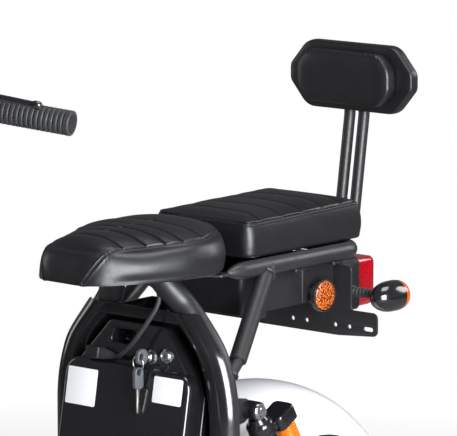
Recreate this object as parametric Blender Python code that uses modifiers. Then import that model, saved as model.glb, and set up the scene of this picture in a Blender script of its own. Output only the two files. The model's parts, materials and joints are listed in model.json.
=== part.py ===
"""Electric scooter with fat tyres, two seats and a backrest.

Metres, +Z up. The scooter faces -Y, so its left side is +X. The origin lies on the ground,
under the middle of the bounding box. Every driving size is a named value below.
"""

from math import asin, atan2, cos, hypot, pi, radians, sin, sqrt, tan

import bmesh
import bpy
from mathutils import Matrix, Vector

# General clearances
GAP = 0.0003
RUNNING_GAP = 0.0015
MERGE = 0.00001

# Wheels and tyres
TYRE_RADIUS = 0.222
TYRE_HALF_WIDTH = 0.1025
TYRE_TREAD_HALF = 0.060
TYRE_WALL = 0.009
BEAD_RADIUS = 0.116
BEAD_HALF_WIDTH = 0.086
RIM_WALL = 0.005
WHEEL_SEGMENTS = 20
WHEELBASE = 1.285
REAR_TYRE_FRONT_Y = 0.403
AXLE_RADIUS = 0.008
DISC_RADIUS = 0.090
DISC_THICKNESS = 0.004
DISC_X = 0.080
DISC_STAND = 0.006
DISC_BORE = 0.018
DISC_BOSS = 0.030

# Steering and fork
RAKE = radians(27.0)
FORK_OFFSET = 0.030
FORK_HALF = 0.132
SLIDER_RADIUS = 0.0215
SLIDER_TOP = 0.330
STANCHION_RADIUS = 0.016
FORK_TRAVEL = 0.040
LOWER_YOKE_AT = 0.560
UPPER_YOKE_AT = 0.740
YOKE_THICKNESS = 0.022
HEAD_RADIUS = 0.026
HEAD_BORE = 0.018
STEM_RADIUS = 0.0155

# Handlebar and controls
BAR_RADIUS = 0.0115
BAR_HALF_WIDTH = 0.350
BAR_RISE = 0.090
RISER_HEIGHT = 0.050
GRIP_RADIUS = 0.0165
GRIP_LENGTH = 0.125
BAR_SWEEP = 0.100
RISER_X = 0.035
SWITCH_LENGTH = 0.030
LEVER_OFFSET = 0.030
LEVER_BOW = 0.034
LEVER_HALF_WIDTH = 0.0085
LEVER_THICKNESS = 0.008
LEVER_PIN = 0.003
LEVER_SHORT = 0.012
PERCH_HALF = 0.011
BUTTON_RADIUS = 0.0050
BUTTON_LENGTH = 0.0060
HEADLIGHT_AHEAD = -0.1288
HEADLIGHT_AT = 0.6014
HEADLIGHT_WALL = 0.006
HEADLIGHT_BULGE = 0.015
HEADLIGHT_RADIUS = 0.075
HEADLIGHT_DEPTH = 0.088

# Frame tubes and floor
MAIN_TUBE_RADIUS = 0.029
RAIL_HEIGHT = 0.036
RAIL_WIDTH = 0.036
RAIL_CENTRE_Z = 0.165
FLOOR_FRONT_Y = -0.215
RAIL_REAR_Y = 0.425
CROSS_RADIUS = 0.014
DECK_THICKNESS = 0.008
MAT_THICKNESS = 0.004
DECK_FRONT_Y = -0.190
DECK_REAR_Y = 0.355
DECK_HALF = 0.172
MAT_REAR_Y = 0.285
CROSS_REAR_Y = 0.262
MAIN_TUBE_Y = -0.290

# Seat hoop
HOOP_RADIUS = 0.019
HOOP_HALF = 0.149
HOOP_Y = 0.395
HOOP_ARC_Z = 0.460
HOOP_ARC_RADIUS = 0.225
HOOP_ARC_TURN = radians(51.0)
HOOP_TOP_BEND = 0.045
HOOP_LEAN_FROM = 0.615
HOOP_LEAN = 13.0

# Rear rack and its struts
RACK_RADIUS = 0.0125
RACK_HALF = 0.100
RACK_Z = 0.666
RACK_TIP_Y = 0.452
RACK_REAR_Y = 0.751
RACK_CORNER = 0.034
RACK_TAPER = 0.035
STRUT_RADIUS = 0.013
STRUT_REACH = 0.036
STRUT_TOP_Y = 0.543
STRUT_FOOT_Z = 0.534

# Battery case and battery
CASE_LEAN = radians(10.0)
CASE_TOP_Z = 0.617
CASE_BOTTOM_Z = 0.330
CASE_WALL = 0.003
CASE_DEPTH = 0.088
CASE_LIP_TURN = radians(70.0)
CASE_FRONT_Y = 0.3722
BROW_LOW_Z = 0.600
COVER_FRONT_Y = 0.300
BATTERY_HALF = 0.121
BATTERY_FRONT_Y = 0.342
BATTERY_FRONT_Z = 0.500
BATTERY_DEPTH = 0.084
BATTERY_PLATE = 0.0275
BATTERY_RECESS = 0.0125
BATTERY_LOW = -0.158
BATTERY_SHOULDER = 0.0365
BATTERY_HIGH = 0.097
PLUG_X = -0.058
LEAD_RADIUS = 0.0035
LOCK_RADIUS = 0.0085
LOCK_OUT = 0.0125
LOCK_PLUG_RADIUS = 0.0055
LOCK_PLUG_DEPTH = 0.008
IGNITION_X = 0.036
IGNITION_Z = 0.0515
BATTERY_LOCK_X = 0.065
BATTERY_LOCK_Z = 0.0565
KEY_HALF = 0.0115
KEY_THICKNESS = 0.007
KEY_HEAD = 0.026
KEY_HOLE = 0.0045
KEY_HOLE_IN = 0.0070
SPARE_HEAD = 0.033
SPARE_HALF = 0.0088
SPARE_BLADE = 0.035
RING_RADIUS = 0.0100
RING_WIRE = 0.0009

# Saddle and rear pad
SADDLE_NOSE_Y = 0.215
SADDLE_REAR_Y = 0.502
SADDLE_BOTTOM_Z = 0.672
SADDLE_TOP_Z = 0.738
SADDLE_HALF = 0.126
SEAT_PLATE_THICKNESS = 0.0035
PAD_FRONT_Y = 0.510
PAD_REAR_Y = 0.772
PAD_HALF = 0.090
PAD_TOP_Z = 0.748

# Backrest
REST_HALF = 0.122
REST_HALF_HEIGHT = 0.053
REST_CENTRE_Z = 0.906
REST_Y = 0.856
REST_DEPTH = 0.016
REST_BORDER = 0.024
REST_PAD_DEPTH = 0.0215
POST_RADIUS = 0.008
POST_HALF_SPACING = 0.013
POST_FOOT_Y = 0.848
POST_PLATE = 0.005
POST_PLATE_HALF = 0.034
POST_PLATE_HEIGHT = 0.052
POST_FOOT_HALF = 0.026
POST_FOOT_LENGTH = 0.028

# Tail box, lights and plate bracket
BOX_HALF = 0.075
BOX_FRONT_Y = 0.512
BOX_LENGTH = 0.216
BOX_BOTTOM_Z = 0.592
BOX_WALL = 0.003
BOX_GROOVE_Y = 0.6475
REFLECTOR_AHEAD = 0.048
REFLECTOR_Z = 0.603
REFLECTOR_RADIUS = 0.025
REFLECTOR_DEPTH = 0.020
LENS_BEHIND = 0.072
LENS_DEPTH = 0.045
LENS_HALF = 0.060
LENS_LOW_Z = 0.563
LENS_HIGH_Z = 0.640
PLATE_BEHIND = 0.008
PLATE_THICKNESS = 0.003
PLATE_HALF = 0.150
PLATE_LOW_Z = 0.533
PLATE_END_Z = 0.574
PLATE_TOP_Z = 0.640
PLATE_SHOULDER = 0.100
HOLE_ROW_Z = 0.5485
HOLE_RADIUS = 0.00325
HOLE_PLACES = (0.0137, 0.0695, 0.0967)
SLOT_AT = 0.133
SLOT_LENGTH = 0.018
SIGNAL_HALF = 0.168
SIGNAL_Z = 0.600
SIGNAL_RADIUS = 0.023
SIGNAL_LENGTH = 0.066

# Suspension
PIVOT_Y = 0.385
PIVOT_RADIUS = 0.017
ARM_X = 0.1205
ARM_THICKNESS = 0.013
ARM_HEIGHT = 0.044
SHOCK_X = 0.165
SHOCK_TOP_Y = 0.446
SHOCK_TOP_Z = 0.474
SHOCK_LOW_AHEAD = 0.049
SHOCK_LOW_Z = 0.252
SHOCK_BODY_RADIUS = 0.020
SHOCK_EYE_HALF = 0.012
SHOCK_PIN = 0.005
RESERVOIR_RADIUS = 0.017
RESERVOIR_OUT = 0.047
SHOCK_COLLAR = -0.088
SHOCK_COLLAR_RADIUS = 0.0265
SHOCK_TUBE_END = -0.160
SHOCK_BORE = 0.060
SHOCK_ROD_TOP = -0.140
SHOCK_SEAT = -0.224
SPRING_RADIUS = 0.0215
SPRING_WIRE = 0.0034
SPRING_CURLS = 6
SPRING_STEPS = 9

# Fenders
FENDER_CLEARANCE = 0.023
FENDER_HALF = 0.125
FRONT_FENDER_HALF = 0.108
FENDER_DROP = 0.062
FRONT_FENDER_DROP = 0.042
FENDER_WALL = 0.003

# Side stand
STAND_Y = 0.060
STAND_Z = 0.150
STAND_LENGTH = 0.130
STAND_RADIUS = 0.0065
STAND_OUT = 0.012
STAND_PIN = 0.005

AXLE_Z = TYRE_RADIUS * cos(pi / WHEEL_SEGMENTS)
REAR_AXLE_Y = REAR_TYRE_FRONT_Y + TYRE_RADIUS
FRONT_AXLE_Y = REAR_AXLE_Y - WHEELBASE
FENDER_RADIUS = TYRE_RADIUS + FENDER_CLEARANCE
SHOCK_LOW_Y = REAR_AXLE_Y - SHOCK_LOW_AHEAD
BOX_REAR_Y = BOX_FRONT_Y + BOX_LENGTH
REFLECTOR_Y = BOX_REAR_Y - REFLECTOR_AHEAD
PLATE_Y = BOX_REAR_Y + PLATE_BEHIND
LENS_Y = BOX_REAR_Y + LENS_BEHIND
RAIL_TOP_Z = RAIL_CENTRE_Z + RAIL_HEIGHT / 2
DECK_TOP_Z = RAIL_TOP_Z + GAP + DECK_THICKNESS
PAD_BOTTOM_Z = RACK_Z + RACK_RADIUS + GAP
HUB_HALF = DISC_X - DISC_THICKNESS / 2 - DISC_STAND


def clear_scene():
    for obj in list(bpy.data.objects):
        bpy.data.objects.remove(obj, do_unlink=True)


def new_collection(name):
    collection = bpy.data.collections.new(name)
    bpy.context.scene.collection.children.link(collection)
    return collection


clear_scene()
PARTS = new_collection("electric_scooter")
CUTTERS = new_collection("cutters")


# Colour, roughness and metallic value of each finish
FINISHES = {
    "black_coat": ((0.012, 0.012, 0.014), 0.34, 0.25),
    "gloss_black": ((0.008, 0.008, 0.009), 0.12, 0.0),
    "satin_plastic": ((0.016, 0.016, 0.018), 0.42, 0.0),
    "vinyl": ((0.014, 0.014, 0.016), 0.45, 0.0),
    "rubber": ((0.018, 0.018, 0.018), 0.75, 0.0),
    "gloss_white": ((0.86, 0.86, 0.88), 0.10, 0.0),
    "alloy": ((0.60, 0.61, 0.63), 0.30, 0.9),
    "steel": ((0.55, 0.55, 0.56), 0.28, 1.0),
    "orange": ((0.90, 0.20, 0.01), 0.25, 0.3),
    "amber": ((0.95, 0.28, 0.01), 0.12, 0.0),
    "red_lens": ((0.65, 0.01, 0.02), 0.10, 0.0),
    "clear_lens": ((0.85, 0.88, 0.90), 0.05, 0.0),
    "grey_plastic": ((0.16, 0.17, 0.18), 0.45, 0.0),
}


def finish(obj, kind):
    colour, roughness, metallic = FINISHES[kind]
    made = bpy.data.materials.new(f"{obj.name}_{kind}")
    made.use_nodes = True
    shader = made.node_tree.nodes["Principled BSDF"]
    shader.inputs["Base Color"].default_value = (*colour, 1.0)
    shader.inputs["Roughness"].default_value = roughness
    shader.inputs["Metallic"].default_value = metallic
    made.diffuse_color = (*colour, 1.0)
    obj.data.materials.clear()
    obj.data.materials.append(made)
    return obj


def add(name, mesh):
    obj = bpy.data.objects.new(name, mesh)
    PARTS.objects.link(obj)
    return obj


def from_bmesh(name, bm):
    bmesh.ops.recalc_face_normals(bm, faces=bm.faces)
    mesh = bpy.data.meshes.new(name)
    bm.to_mesh(mesh)
    bm.free()
    mesh.shade_smooth()
    mesh.set_sharp_from_angle(angle=radians(35.0))
    return add(name, mesh)


def box(name, low, high):
    """A block from its lowest to its highest corner."""
    low, high = Vector(low), Vector(high)
    bm = bmesh.new()
    bmesh.ops.create_cube(bm, size=1.0)
    bmesh.ops.scale(bm, vec=high - low, verts=bm.verts)
    bmesh.ops.translate(bm, vec=(low + high) / 2, verts=bm.verts)
    return from_bmesh(name, bm)


def rod(name, start, end, radius, end_radius=None, sides=10):
    """A cylinder or cone from one point to another."""
    start, end = Vector(start), Vector(end)
    turn = (end - start).to_track_quat("Z", "Y").to_matrix().to_4x4()
    far_radius = radius if end_radius is None else end_radius
    bm = bmesh.new()
    bmesh.ops.create_cone(
        bm,
        cap_ends=True,
        segments=sides,
        radius1=radius,
        radius2=far_radius,
        depth=(end - start).length,
        matrix=Matrix.Translation((start + end) / 2) @ turn,
    )
    return from_bmesh(name, bm)


def corner_arc(before, corner, after, radius, steps):
    """The points of the arc that rounds one corner of a path."""
    arriving = (corner - before).normalized()
    leaving = (after - corner).normalized()
    turn = arriving.angle(leaving)
    if turn < MERGE:
        return [corner]
    centre = corner + (leaving - arriving).normalized() * (radius / cos(turn / 2))
    first = corner - arriving * (radius * tan(turn / 2)) - centre
    axis = arriving.cross(leaving).normalized()
    return [centre + Matrix.Rotation(turn * step / steps, 3, axis) @ first for step in range(steps + 1)]


def bent(points, radii, steps=5):
    """A polyline whose inner corners are rounded, each by its own bend radius."""
    points = [Vector(point) for point in points]
    path = [points[0]]
    for before, corner, after, radius in zip(points, points[1:], points[2:], radii):
        path += corner_arc(before, corner, after, radius, steps)
    path.append(points[-1])
    return path


def rounded(corners, radii, steps=4):
    """A closed flat outline whose corners are rounded by one radius or by one each."""
    count = len(corners)
    radii = [radii] * count if isinstance(radii, float) else radii
    points = [Vector((u, v, 0.0)) for u, v in corners]
    outline = []
    for index, radius in enumerate(radii):
        after = points[(index + 1) % count]
        outline += corner_arc(points[index - 1], points[index], after, radius, steps)
    return [(point.x, point.y) for point in outline]


def solid_from_curve(curve_obj):
    """The curve made a mesh with welded caps, so that it can be joined and cut."""
    bpy.context.view_layer.update()
    graph = bpy.context.evaluated_depsgraph_get()
    mesh = bpy.data.meshes.new_from_object(curve_obj.evaluated_get(graph))
    bm = bmesh.new()
    bm.from_mesh(mesh)
    bmesh.ops.remove_doubles(bm, verts=bm.verts, dist=MERGE)
    name = curve_obj.name
    placed = curve_obj.matrix_world.copy()
    bpy.data.objects.remove(curve_obj, do_unlink=True)
    obj = from_bmesh(name, bm)
    obj.matrix_world = placed
    return obj


def tube(name, points, radius, resolution=4, radii=None):
    """A round bar along a polyline; radii scale its thickness at each point."""
    curve = bpy.data.curves.new(name, "CURVE")
    curve.dimensions = "3D"
    curve.bevel_depth = radius
    curve.bevel_resolution = resolution
    curve.use_fill_caps = True
    spline = curve.splines.new("POLY")
    spline.points.add(len(points) - 1)
    for index, point in enumerate(points):
        spline.points[index].co = (*point, 1.0)
        spline.points[index].radius = radii[index] if radii else 1.0
    return solid_from_curve(add(name, curve))


def plate(name, outline, thickness, matrix=None, holes=()):
    """A flat outline with holes, filled and extruded about its own middle plane."""
    curve = bpy.data.curves.new(name, "CURVE")
    curve.dimensions = "2D"
    curve.fill_mode = "BOTH"
    curve.extrude = thickness / 2
    for loop in (outline, *holes):
        spline = curve.splines.new("POLY")
        spline.use_cyclic_u = True
        spline.points.add(len(loop) - 1)
        for index, (u, v) in enumerate(loop):
            spline.points[index].co = (u, v, 0.0, 1.0)
    obj = solid_from_curve(add(name, curve))
    if matrix is not None:
        obj.data.transform(matrix)
    return obj


def circle(u, v, radius, sides=10):
    turns = [2 * pi * step / sides for step in range(sides)]
    return [(u + radius * cos(turn), v + radius * sin(turn)) for turn in turns]


def slot(u, v, length, radius, sides=6):
    """A slot along u, with round ends."""
    reach = length / 2 - radius
    turns = [pi * step / sides for step in range(sides + 1)]
    right = [(u + reach + radius * sin(turn), v - radius * cos(turn)) for turn in turns]
    left = [(u - reach - radius * sin(turn), v + radius * cos(turn)) for turn in turns]
    return right + left


# Matrices that stand a flat outline up: its u, v and thickness along the named axes
FACING_Y = Matrix(((1, 0, 0, 0), (0, 0, -1, 0), (0, 1, 0, 0), (0, 0, 0, 1)))
FACING_X = Matrix(((0, 0, 1, 0), (1, 0, 0, 0), (0, 1, 0, 0), (0, 0, 0, 1)))


def standing_y(y):
    return Matrix.Translation((0.0, y, 0.0)) @ FACING_Y


def standing_x(x):
    return Matrix.Translation((x, 0.0, 0.0)) @ FACING_X


def turned(name, profile, steps=32, along="X", half_step=True):
    """A profile of (radius, distance along the axis), turned about that axis."""
    count = len(profile)
    closed = all(radius > MERGE for radius, _ in (profile[0], profile[-1]))
    loop = [(profile[i], profile[(i + 1) % count]) for i in range(count)]
    area = sum(r0 * z1 - r1 * z0 for (r0, z0), (r1, z1) in loop)
    if area > 0:
        profile = list(reversed(profile))
    start = pi / steps if half_step else 0.0
    mesh = bpy.data.meshes.new(name)
    points = [(radius * cos(start), radius * sin(start), z) for radius, z in profile]
    edges = [(i, i + 1) for i in range(count - 1)] + ([(count - 1, 0)] if closed else [])
    mesh.from_pydata(points, edges, [])
    obj = add(name, mesh)
    screw = obj.modifiers.new("turn", "SCREW")
    screw.steps = steps
    screw.render_steps = steps
    screw.use_merge_vertices = True
    screw.merge_threshold = MERGE
    screw.use_smooth_shade = True
    if along == "X":
        obj.rotation_euler = (0.0, pi / 2, 0.0)
    elif along == "Y":
        obj.rotation_euler = (-pi / 2, 0.0, 0.0)
    return obj


def loft(name, rings, closed=False):
    """A skin over rings of points, capped at both ends unless it closes on itself."""
    bm = bmesh.new()
    rows = [[bm.verts.new(point) for point in ring] for ring in rings]
    pairs = list(zip(rows, rows[1:]))
    if closed:
        pairs.append((rows[-1], rows[0]))
    for near, far in pairs:
        for index in range(len(near)):
            after = (index + 1) % len(near)
            bm.faces.new((near[index], near[after], far[after], far[index]))
    if not closed:
        bm.faces.new(rows[0])
        bm.faces.new(list(reversed(rows[-1])))
    return from_bmesh(name, bm)


def hide_cutter(obj):
    for collection in list(obj.users_collection):
        collection.objects.unlink(obj)
    CUTTERS.objects.link(obj)
    obj.hide_render = True
    obj.display_type = "WIRE"


def boolean(obj, others, operation):
    for other in others:
        modifier = obj.modifiers.new(f"{operation.lower()}_{other.name}", "BOOLEAN")
        modifier.operation = operation
        modifier.solver = "EXACT"
        modifier.object = other
        hide_cutter(other)
    return obj


def join(obj, *others):
    return boolean(obj, others, "UNION")


def cut(obj, *others):
    return boolean(obj, others, "DIFFERENCE")


def soften(obj, width, segments=1, angle=40.0):
    bevel = obj.modifiers.new("soften", "BEVEL")
    bevel.width = width
    bevel.segments = segments
    bevel.limit_method = "ANGLE"
    bevel.angle_limit = radians(angle)
    return obj


def frame(name, location, rotation=(0.0, 0.0, 0.0), parent=None):
    """An empty that carries the pieces of one moving body."""
    empty = bpy.data.objects.new(name, None)
    PARTS.objects.link(empty)
    empty.parent = parent
    empty.location = location
    empty.rotation_euler = rotation
    return empty


def hang(obj, empty, local=False):
    """Parents a piece to a frame; a piece modelled in world places keeps its place."""
    obj.parent = empty
    if not local:
        bpy.context.view_layer.update()
        obj.matrix_parent_inverse = empty.matrix_world.inverted()
    for modifier in obj.modifiers:
        if modifier.type == "BOOLEAN" and modifier.object.parent is None:
            hang(modifier.object, empty, local)
    return obj


def mirrored(obj, name):
    """The same piece on the other side of the middle plane."""
    bpy.context.view_layer.update()
    graph = bpy.context.evaluated_depsgraph_get()
    mesh = bpy.data.meshes.new_from_object(obj.evaluated_get(graph))
    mesh.transform(Matrix.Scale(-1.0, 4, (1.0, 0.0, 0.0)) @ obj.matrix_basis)
    mesh.flip_normals()
    mesh.name = name
    return add(name, mesh)


def steered(x, y, z):
    """A point of the steering frame, whose Z runs up the steering axis, in world places."""
    base_y = FRONT_AXLE_Y + FORK_OFFSET * cos(RAKE)
    base_z = AXLE_Z - FORK_OFFSET * sin(RAKE)
    return Vector((x, base_y + y * cos(RAKE) + z * sin(RAKE), base_z - y * sin(RAKE) + z * cos(RAKE)))


def tyre(name, axle):
    """A hollow tyre, open towards its rim, with two grooves in the tread."""
    height = TYRE_RADIUS - BEAD_RADIUS
    groove_at = TYRE_TREAD_HALF / 2
    groove_half = 0.004
    groove_depth = 0.006
    outer = [
        (TYRE_RADIUS, groove_at - groove_half),
        (TYRE_RADIUS - groove_depth, groove_at),
        (TYRE_RADIUS, groove_at + groove_half),
        (TYRE_RADIUS - 0.02 * height, TYRE_TREAD_HALF),
        (TYRE_RADIUS - 0.14 * height, 0.84 * TYRE_HALF_WIDTH),
        (TYRE_RADIUS - 0.50 * height, TYRE_HALF_WIDTH),
        (BEAD_RADIUS + 0.022, BEAD_HALF_WIDTH + 0.3 * (TYRE_HALF_WIDTH - BEAD_HALF_WIDTH)),
        (BEAD_RADIUS + 0.0115, BEAD_HALF_WIDTH),
        (BEAD_RADIUS, BEAD_HALF_WIDTH),
    ]
    inner = [
        (BEAD_RADIUS, BEAD_HALF_WIDTH - TYRE_WALL),
        (TYRE_RADIUS - 0.50 * height, TYRE_HALF_WIDTH - TYRE_WALL),
        (TYRE_RADIUS - 0.14 * height - TYRE_WALL, 0.74 * TYRE_HALF_WIDTH),
    ]
    half = outer + inner
    obj = turned(name, half + [(radius, -x) for radius, x in reversed(half)], WHEEL_SEGMENTS)
    obj.location = axle
    return finish(obj, "rubber")


def rim(name, axle, hub_radius, web_half, windows=0):
    """A barrel, web and hub in one turned piece, with its brake disc and windows between its spokes."""
    bore = AXLE_RADIUS + RUNNING_GAP / 2
    seat = BEAD_RADIUS - GAP
    inside = seat - RIM_WALL
    flange = BEAD_HALF_WIDTH + GAP
    flange_height = BEAD_RADIUS + 0.010
    half = [
        (bore, HUB_HALF),
        (hub_radius, HUB_HALF),
        (hub_radius, web_half),
        (inside, web_half),
        (inside, flange + RIM_WALL),
        (flange_height, flange + RIM_WALL),
        (flange_height, flange),
        (seat, flange),
    ]
    obj = turned(name, half + [(radius, -x) for radius, x in reversed(half)], WHEEL_SEGMENTS)
    obj.location = axle
    join(obj, brake_disc(f"{name}_disc", axle))
    low, high = hub_radius + 0.010, inside - 0.008
    for index in range(windows):
        turn = 2 * pi * index / windows
        spread = pi / windows
        narrow, wide = low * tan(spread) - 0.009, high * tan(spread) - 0.013
        corners = [(-narrow, low), (narrow, low), (wide, high * 0.94), (0.0, high), (-wide, high * 0.94)]
        window = plate(f"{name}_window_{index}", corners, 4 * web_half, FACING_X)
        window.rotation_euler = (turn, 0.0, 0.0)
        window.location = axle
        cut(obj, window)
    return finish(obj, "alloy")


def brake_disc(name, axle):
    """A disc on the wheel's left side, with the boss that carries it on the hub."""
    near, far = DISC_X - DISC_THICKNESS / 2, DISC_X + DISC_THICKNESS / 2
    root = HUB_HALF - DISC_THICKNESS
    profile = [(DISC_BORE, far), (DISC_RADIUS, far), (DISC_RADIUS, near), (DISC_BOSS, near),
               (DISC_BOSS, root),
               (DISC_BORE, root)]
    obj = turned(name, profile, WHEEL_SEGMENTS)
    obj.location = axle
    return obj


def caliper(name, y, z, outer_x):
    """A caliper body, from just inside the disc out to the leg that carries it."""
    return soften(box(name, (DISC_X - 0.013, y - 0.018, z - 0.024), (outer_x, y + 0.018, z + 0.024)),
                  0.003)


def disc_slot(name, axle):
    """The ring-shaped space a brake disc turns in."""
    near, far = DISC_X - DISC_THICKNESS / 2 - RUNNING_GAP, DISC_X + DISC_THICKNESS / 2 + RUNNING_GAP
    inner, outer = DISC_RADIUS / 3, DISC_RADIUS + RUNNING_GAP
    ring = turned(name, [(inner, far), (outer, far), (outer, near), (inner, near)], WHEEL_SEGMENTS)
    ring.location = axle
    return ring


def fender_section(half_width, drop, skirt):
    """Half a cross-section of a fender: its distance from the middle and its radius."""
    shares = (0.0, 0.34, 0.64, 0.88, 1.0)
    crown = [(half_width * share, FENDER_RADIUS - drop * share ** 2.2) for share in shares]
    return crown + [(half_width, crown[-1][1] - skirt)]


def fender(name, axle, half_width, drop, start, end, skirt=0.016, steps=10):
    """A crowned shell round the tyre, from one angle to another, measured back from the top."""
    half = fender_section(half_width, drop, skirt)
    outer = [(-x, r) for x, r in reversed(half[1:])] + half
    inner_half = [(x - FENDER_WALL * (x / half_width) ** 2,
                   r - FENDER_WALL * (1.15 - (x / half_width) ** 4))
                  for x, r in half[:-1]]
    inner_half.append((half_width - FENDER_WALL, half[-1][1]))
    inner = [(-x, r) for x, r in reversed(inner_half[1:])] + inner_half
    ring = outer + list(reversed(inner))
    rings = []
    for step in range(steps + 1):
        turn = start + (end - start) * step / steps
        rings.append([(x, axle[1] + r * sin(turn), axle[2] + r * cos(turn)) for x, r in ring])
    return finish(loft(name, rings), "gloss_white")


def in_steering(obj, steering):
    """A piece modelled in the steering frame's own places."""
    return hang(obj, steering, local=True)


def fork_yoke():
    """Both yokes, the stem between them and the two stanchions."""
    foot = SLIDER_TOP - 0.130
    head = UPPER_YOKE_AT + YOKE_THICKNESS / 2 + 0.006
    stem = rod("fork_yoke", (0, 0, LOWER_YOKE_AT - 0.016), (0, 0, head), STEM_RADIUS, sides=10)
    pieces = []
    for place, height in (("low", LOWER_YOKE_AT), ("high", UPPER_YOKE_AT)):
        low, high = height - YOKE_THICKNESS / 2, height + YOKE_THICKNESS / 2
        depth = FORK_OFFSET / 2 + 0.012
        pieces.append(box(f"yoke_bar_{place}", (-FORK_HALF, -FORK_OFFSET / 2 - depth / 2, low + 0.002),
                          (FORK_HALF, -FORK_OFFSET / 2 + depth / 2, high - 0.002)))
        pieces.append(rod(f"yoke_boss_{place}", (0, 0, low), (0, 0, high), STEM_RADIUS + 0.013, sides=10))
        for side in (-1, 1):
            leg = (side * FORK_HALF, -FORK_OFFSET)
            pieces.append(rod(f"yoke_clamp_{place}_{side}", (*leg, low), (*leg, high),
                              STANCHION_RADIUS + 0.008, sides=10))
    for side in (-1, 1):
        leg = (side * FORK_HALF, -FORK_OFFSET)
        pieces.append(rod(f"stanchion_{side}", (*leg, foot), (*leg, head - 0.003), STANCHION_RADIUS,
                          sides=10))
    return finish(join(stem, *pieces), "black_coat")


def fork_sliders():
    """The two lower legs, the axle between them, the fender tabs and the brake caliper."""
    bore = STANCHION_RADIUS + RUNNING_GAP
    deep = SLIDER_TOP - 0.130 - FORK_TRAVEL - 0.010
    left = (FORK_HALF, -FORK_OFFSET)
    right = (-FORK_HALF, -FORK_OFFSET)
    low = -0.030
    base = rod("fork_sliders", (*left, low), (*left, SLIDER_TOP), SLIDER_RADIUS, sides=10)
    pieces = [rod("slider_right", (*right, low), (*right, SLIDER_TOP), SLIDER_RADIUS, sides=10)]
    for name, leg in (("left", left), ("right", right)):
        pieces.append(rod(f"slider_seal_{name}", (*leg, SLIDER_TOP - 0.012), (*leg, SLIDER_TOP + 0.004),
                          SLIDER_RADIUS + 0.003, sides=10))
    pieces.append(rod("front_axle", (-FORK_HALF - 0.030, -FORK_OFFSET, 0),
                      (FORK_HALF + 0.030, -FORK_OFFSET, 0),
                      AXLE_RADIUS, sides=10))
    tab_at = FENDER_RADIUS - FRONT_FENDER_DROP - 0.012
    for name, leg in (("left", left), ("right", right)):
        side = 1 if leg[0] > 0 else -1
        inside = side * (FRONT_FENDER_HALF + GAP)
        pieces.append(box(f"fender_tab_{name}", (min(inside, leg[0]), leg[1] - 0.009, tab_at - 0.008),
                          (max(inside, leg[0]), leg[1] + 0.009, tab_at + 0.008)))
    hold_y, hold_z = -FORK_OFFSET + 0.020, 0.072
    pieces.append(caliper("front_caliper", hold_y, hold_z, FORK_HALF))
    join(base, *pieces)
    bores = []
    for name, leg in (("left", left), ("right", right)):
        bores.append(rod(f"slider_bore_{name}", (*leg, deep), (*leg, SLIDER_TOP + 0.020), bore, sides=10))
    cut(base, *bores, disc_slot("front_disc_slot", (0.0, -FORK_OFFSET, 0.0)))
    return finish(base, "black_coat")


def bar_path():
    """The left half of the handlebar, in the steering frame, from its middle to its end."""
    centre_z = UPPER_YOKE_AT + YOKE_THICKNESS / 2 + RISER_HEIGHT
    points = [
        (0.0, 0.0, centre_z),
        (0.065, 0.0, centre_z),
        (0.125, 0.012, centre_z + BAR_RISE),
        (BAR_HALF_WIDTH, BAR_SWEEP, centre_z + BAR_RISE + 0.012),
    ]
    return bent(points, [0.035, 0.045], 3)


def grip_axis():
    """Where the straight end of the bar runs: its end point and its outward direction."""
    path = bar_path()
    return path[-1], (path[-1] - path[-2]).normalized()


def handlebar():
    """The bar, its two risers with clamps, and the switch housings inboard of the grips."""
    half = bar_path()
    path = [Vector((-p.x, p.y, p.z)) for p in reversed(half[1:])] + half
    bar = tube("handlebar", path, BAR_RADIUS, 2)
    base = UPPER_YOKE_AT + YOKE_THICKNESS / 2 + GAP
    centre_z = half[0].z
    pieces = []
    for side in (-1, 1):
        x = side * RISER_X
        pieces.append(rod(f"riser_{side}", (x, 0, base), (x, 0, centre_z), 0.011, sides=10))
        pieces.append(rod(f"riser_clamp_{side}", (x - 0.012, 0, centre_z), (x + 0.012, 0, centre_z),
                          BAR_RADIUS + 0.007, sides=10))
        end, outward = grip_axis()
        mirror = Vector((side, 1, 1))
        inner = end - outward * (GRIP_LENGTH + 0.006)
        near = inner - outward * SWITCH_LENGTH
        pieces.append(rod(f"switch_housing_{side}", near * mirror, inner * mirror, BAR_RADIUS + 0.010,
                          sides=10))
    join(bar, *pieces)
    return finish(bar, "black_coat")


def grip(name, side, gap):
    """A ribbed sleeve over the end of the bar."""
    end, outward = grip_axis()
    mirror = Vector((side, 1, 1))
    sides = 12
    bore = (BAR_RADIUS + gap) / cos(pi / sides)
    profile = [(bore, 0.0), (GRIP_RADIUS + 0.003, 0.0), (GRIP_RADIUS + 0.003, 0.005)]
    ribs = 3
    for index in range(ribs):
        at = 0.008 + (GRIP_LENGTH - 0.012) * index / ribs
        profile += [(GRIP_RADIUS - 0.0012, at), (GRIP_RADIUS, at + 0.006)]
    profile += [(GRIP_RADIUS, GRIP_LENGTH - 0.001), (bore, GRIP_LENGTH - 0.001)]
    obj = turned(name, profile, sides, along=None, half_step=False)
    start = (end - outward * GRIP_LENGTH) * mirror
    turn = (outward * mirror).to_track_quat("Z", "Y")
    obj.rotation_mode = "QUATERNION"
    obj.rotation_quaternion = turn
    obj.location = start
    return finish(obj, "rubber")


def lever_pivot():
    """The left brake lever's pivot: its place and axis in the steering frame."""
    end, outward = grip_axis()
    inboard = end - outward * (GRIP_LENGTH + 0.006 + SWITCH_LENGTH + PERCH_HALF + 0.001)
    forward = Vector((0, 0, 1)).cross(outward).normalized() * -1.0
    return inboard + forward * LEVER_OFFSET, outward.cross(forward).normalized(), outward, forward


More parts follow.
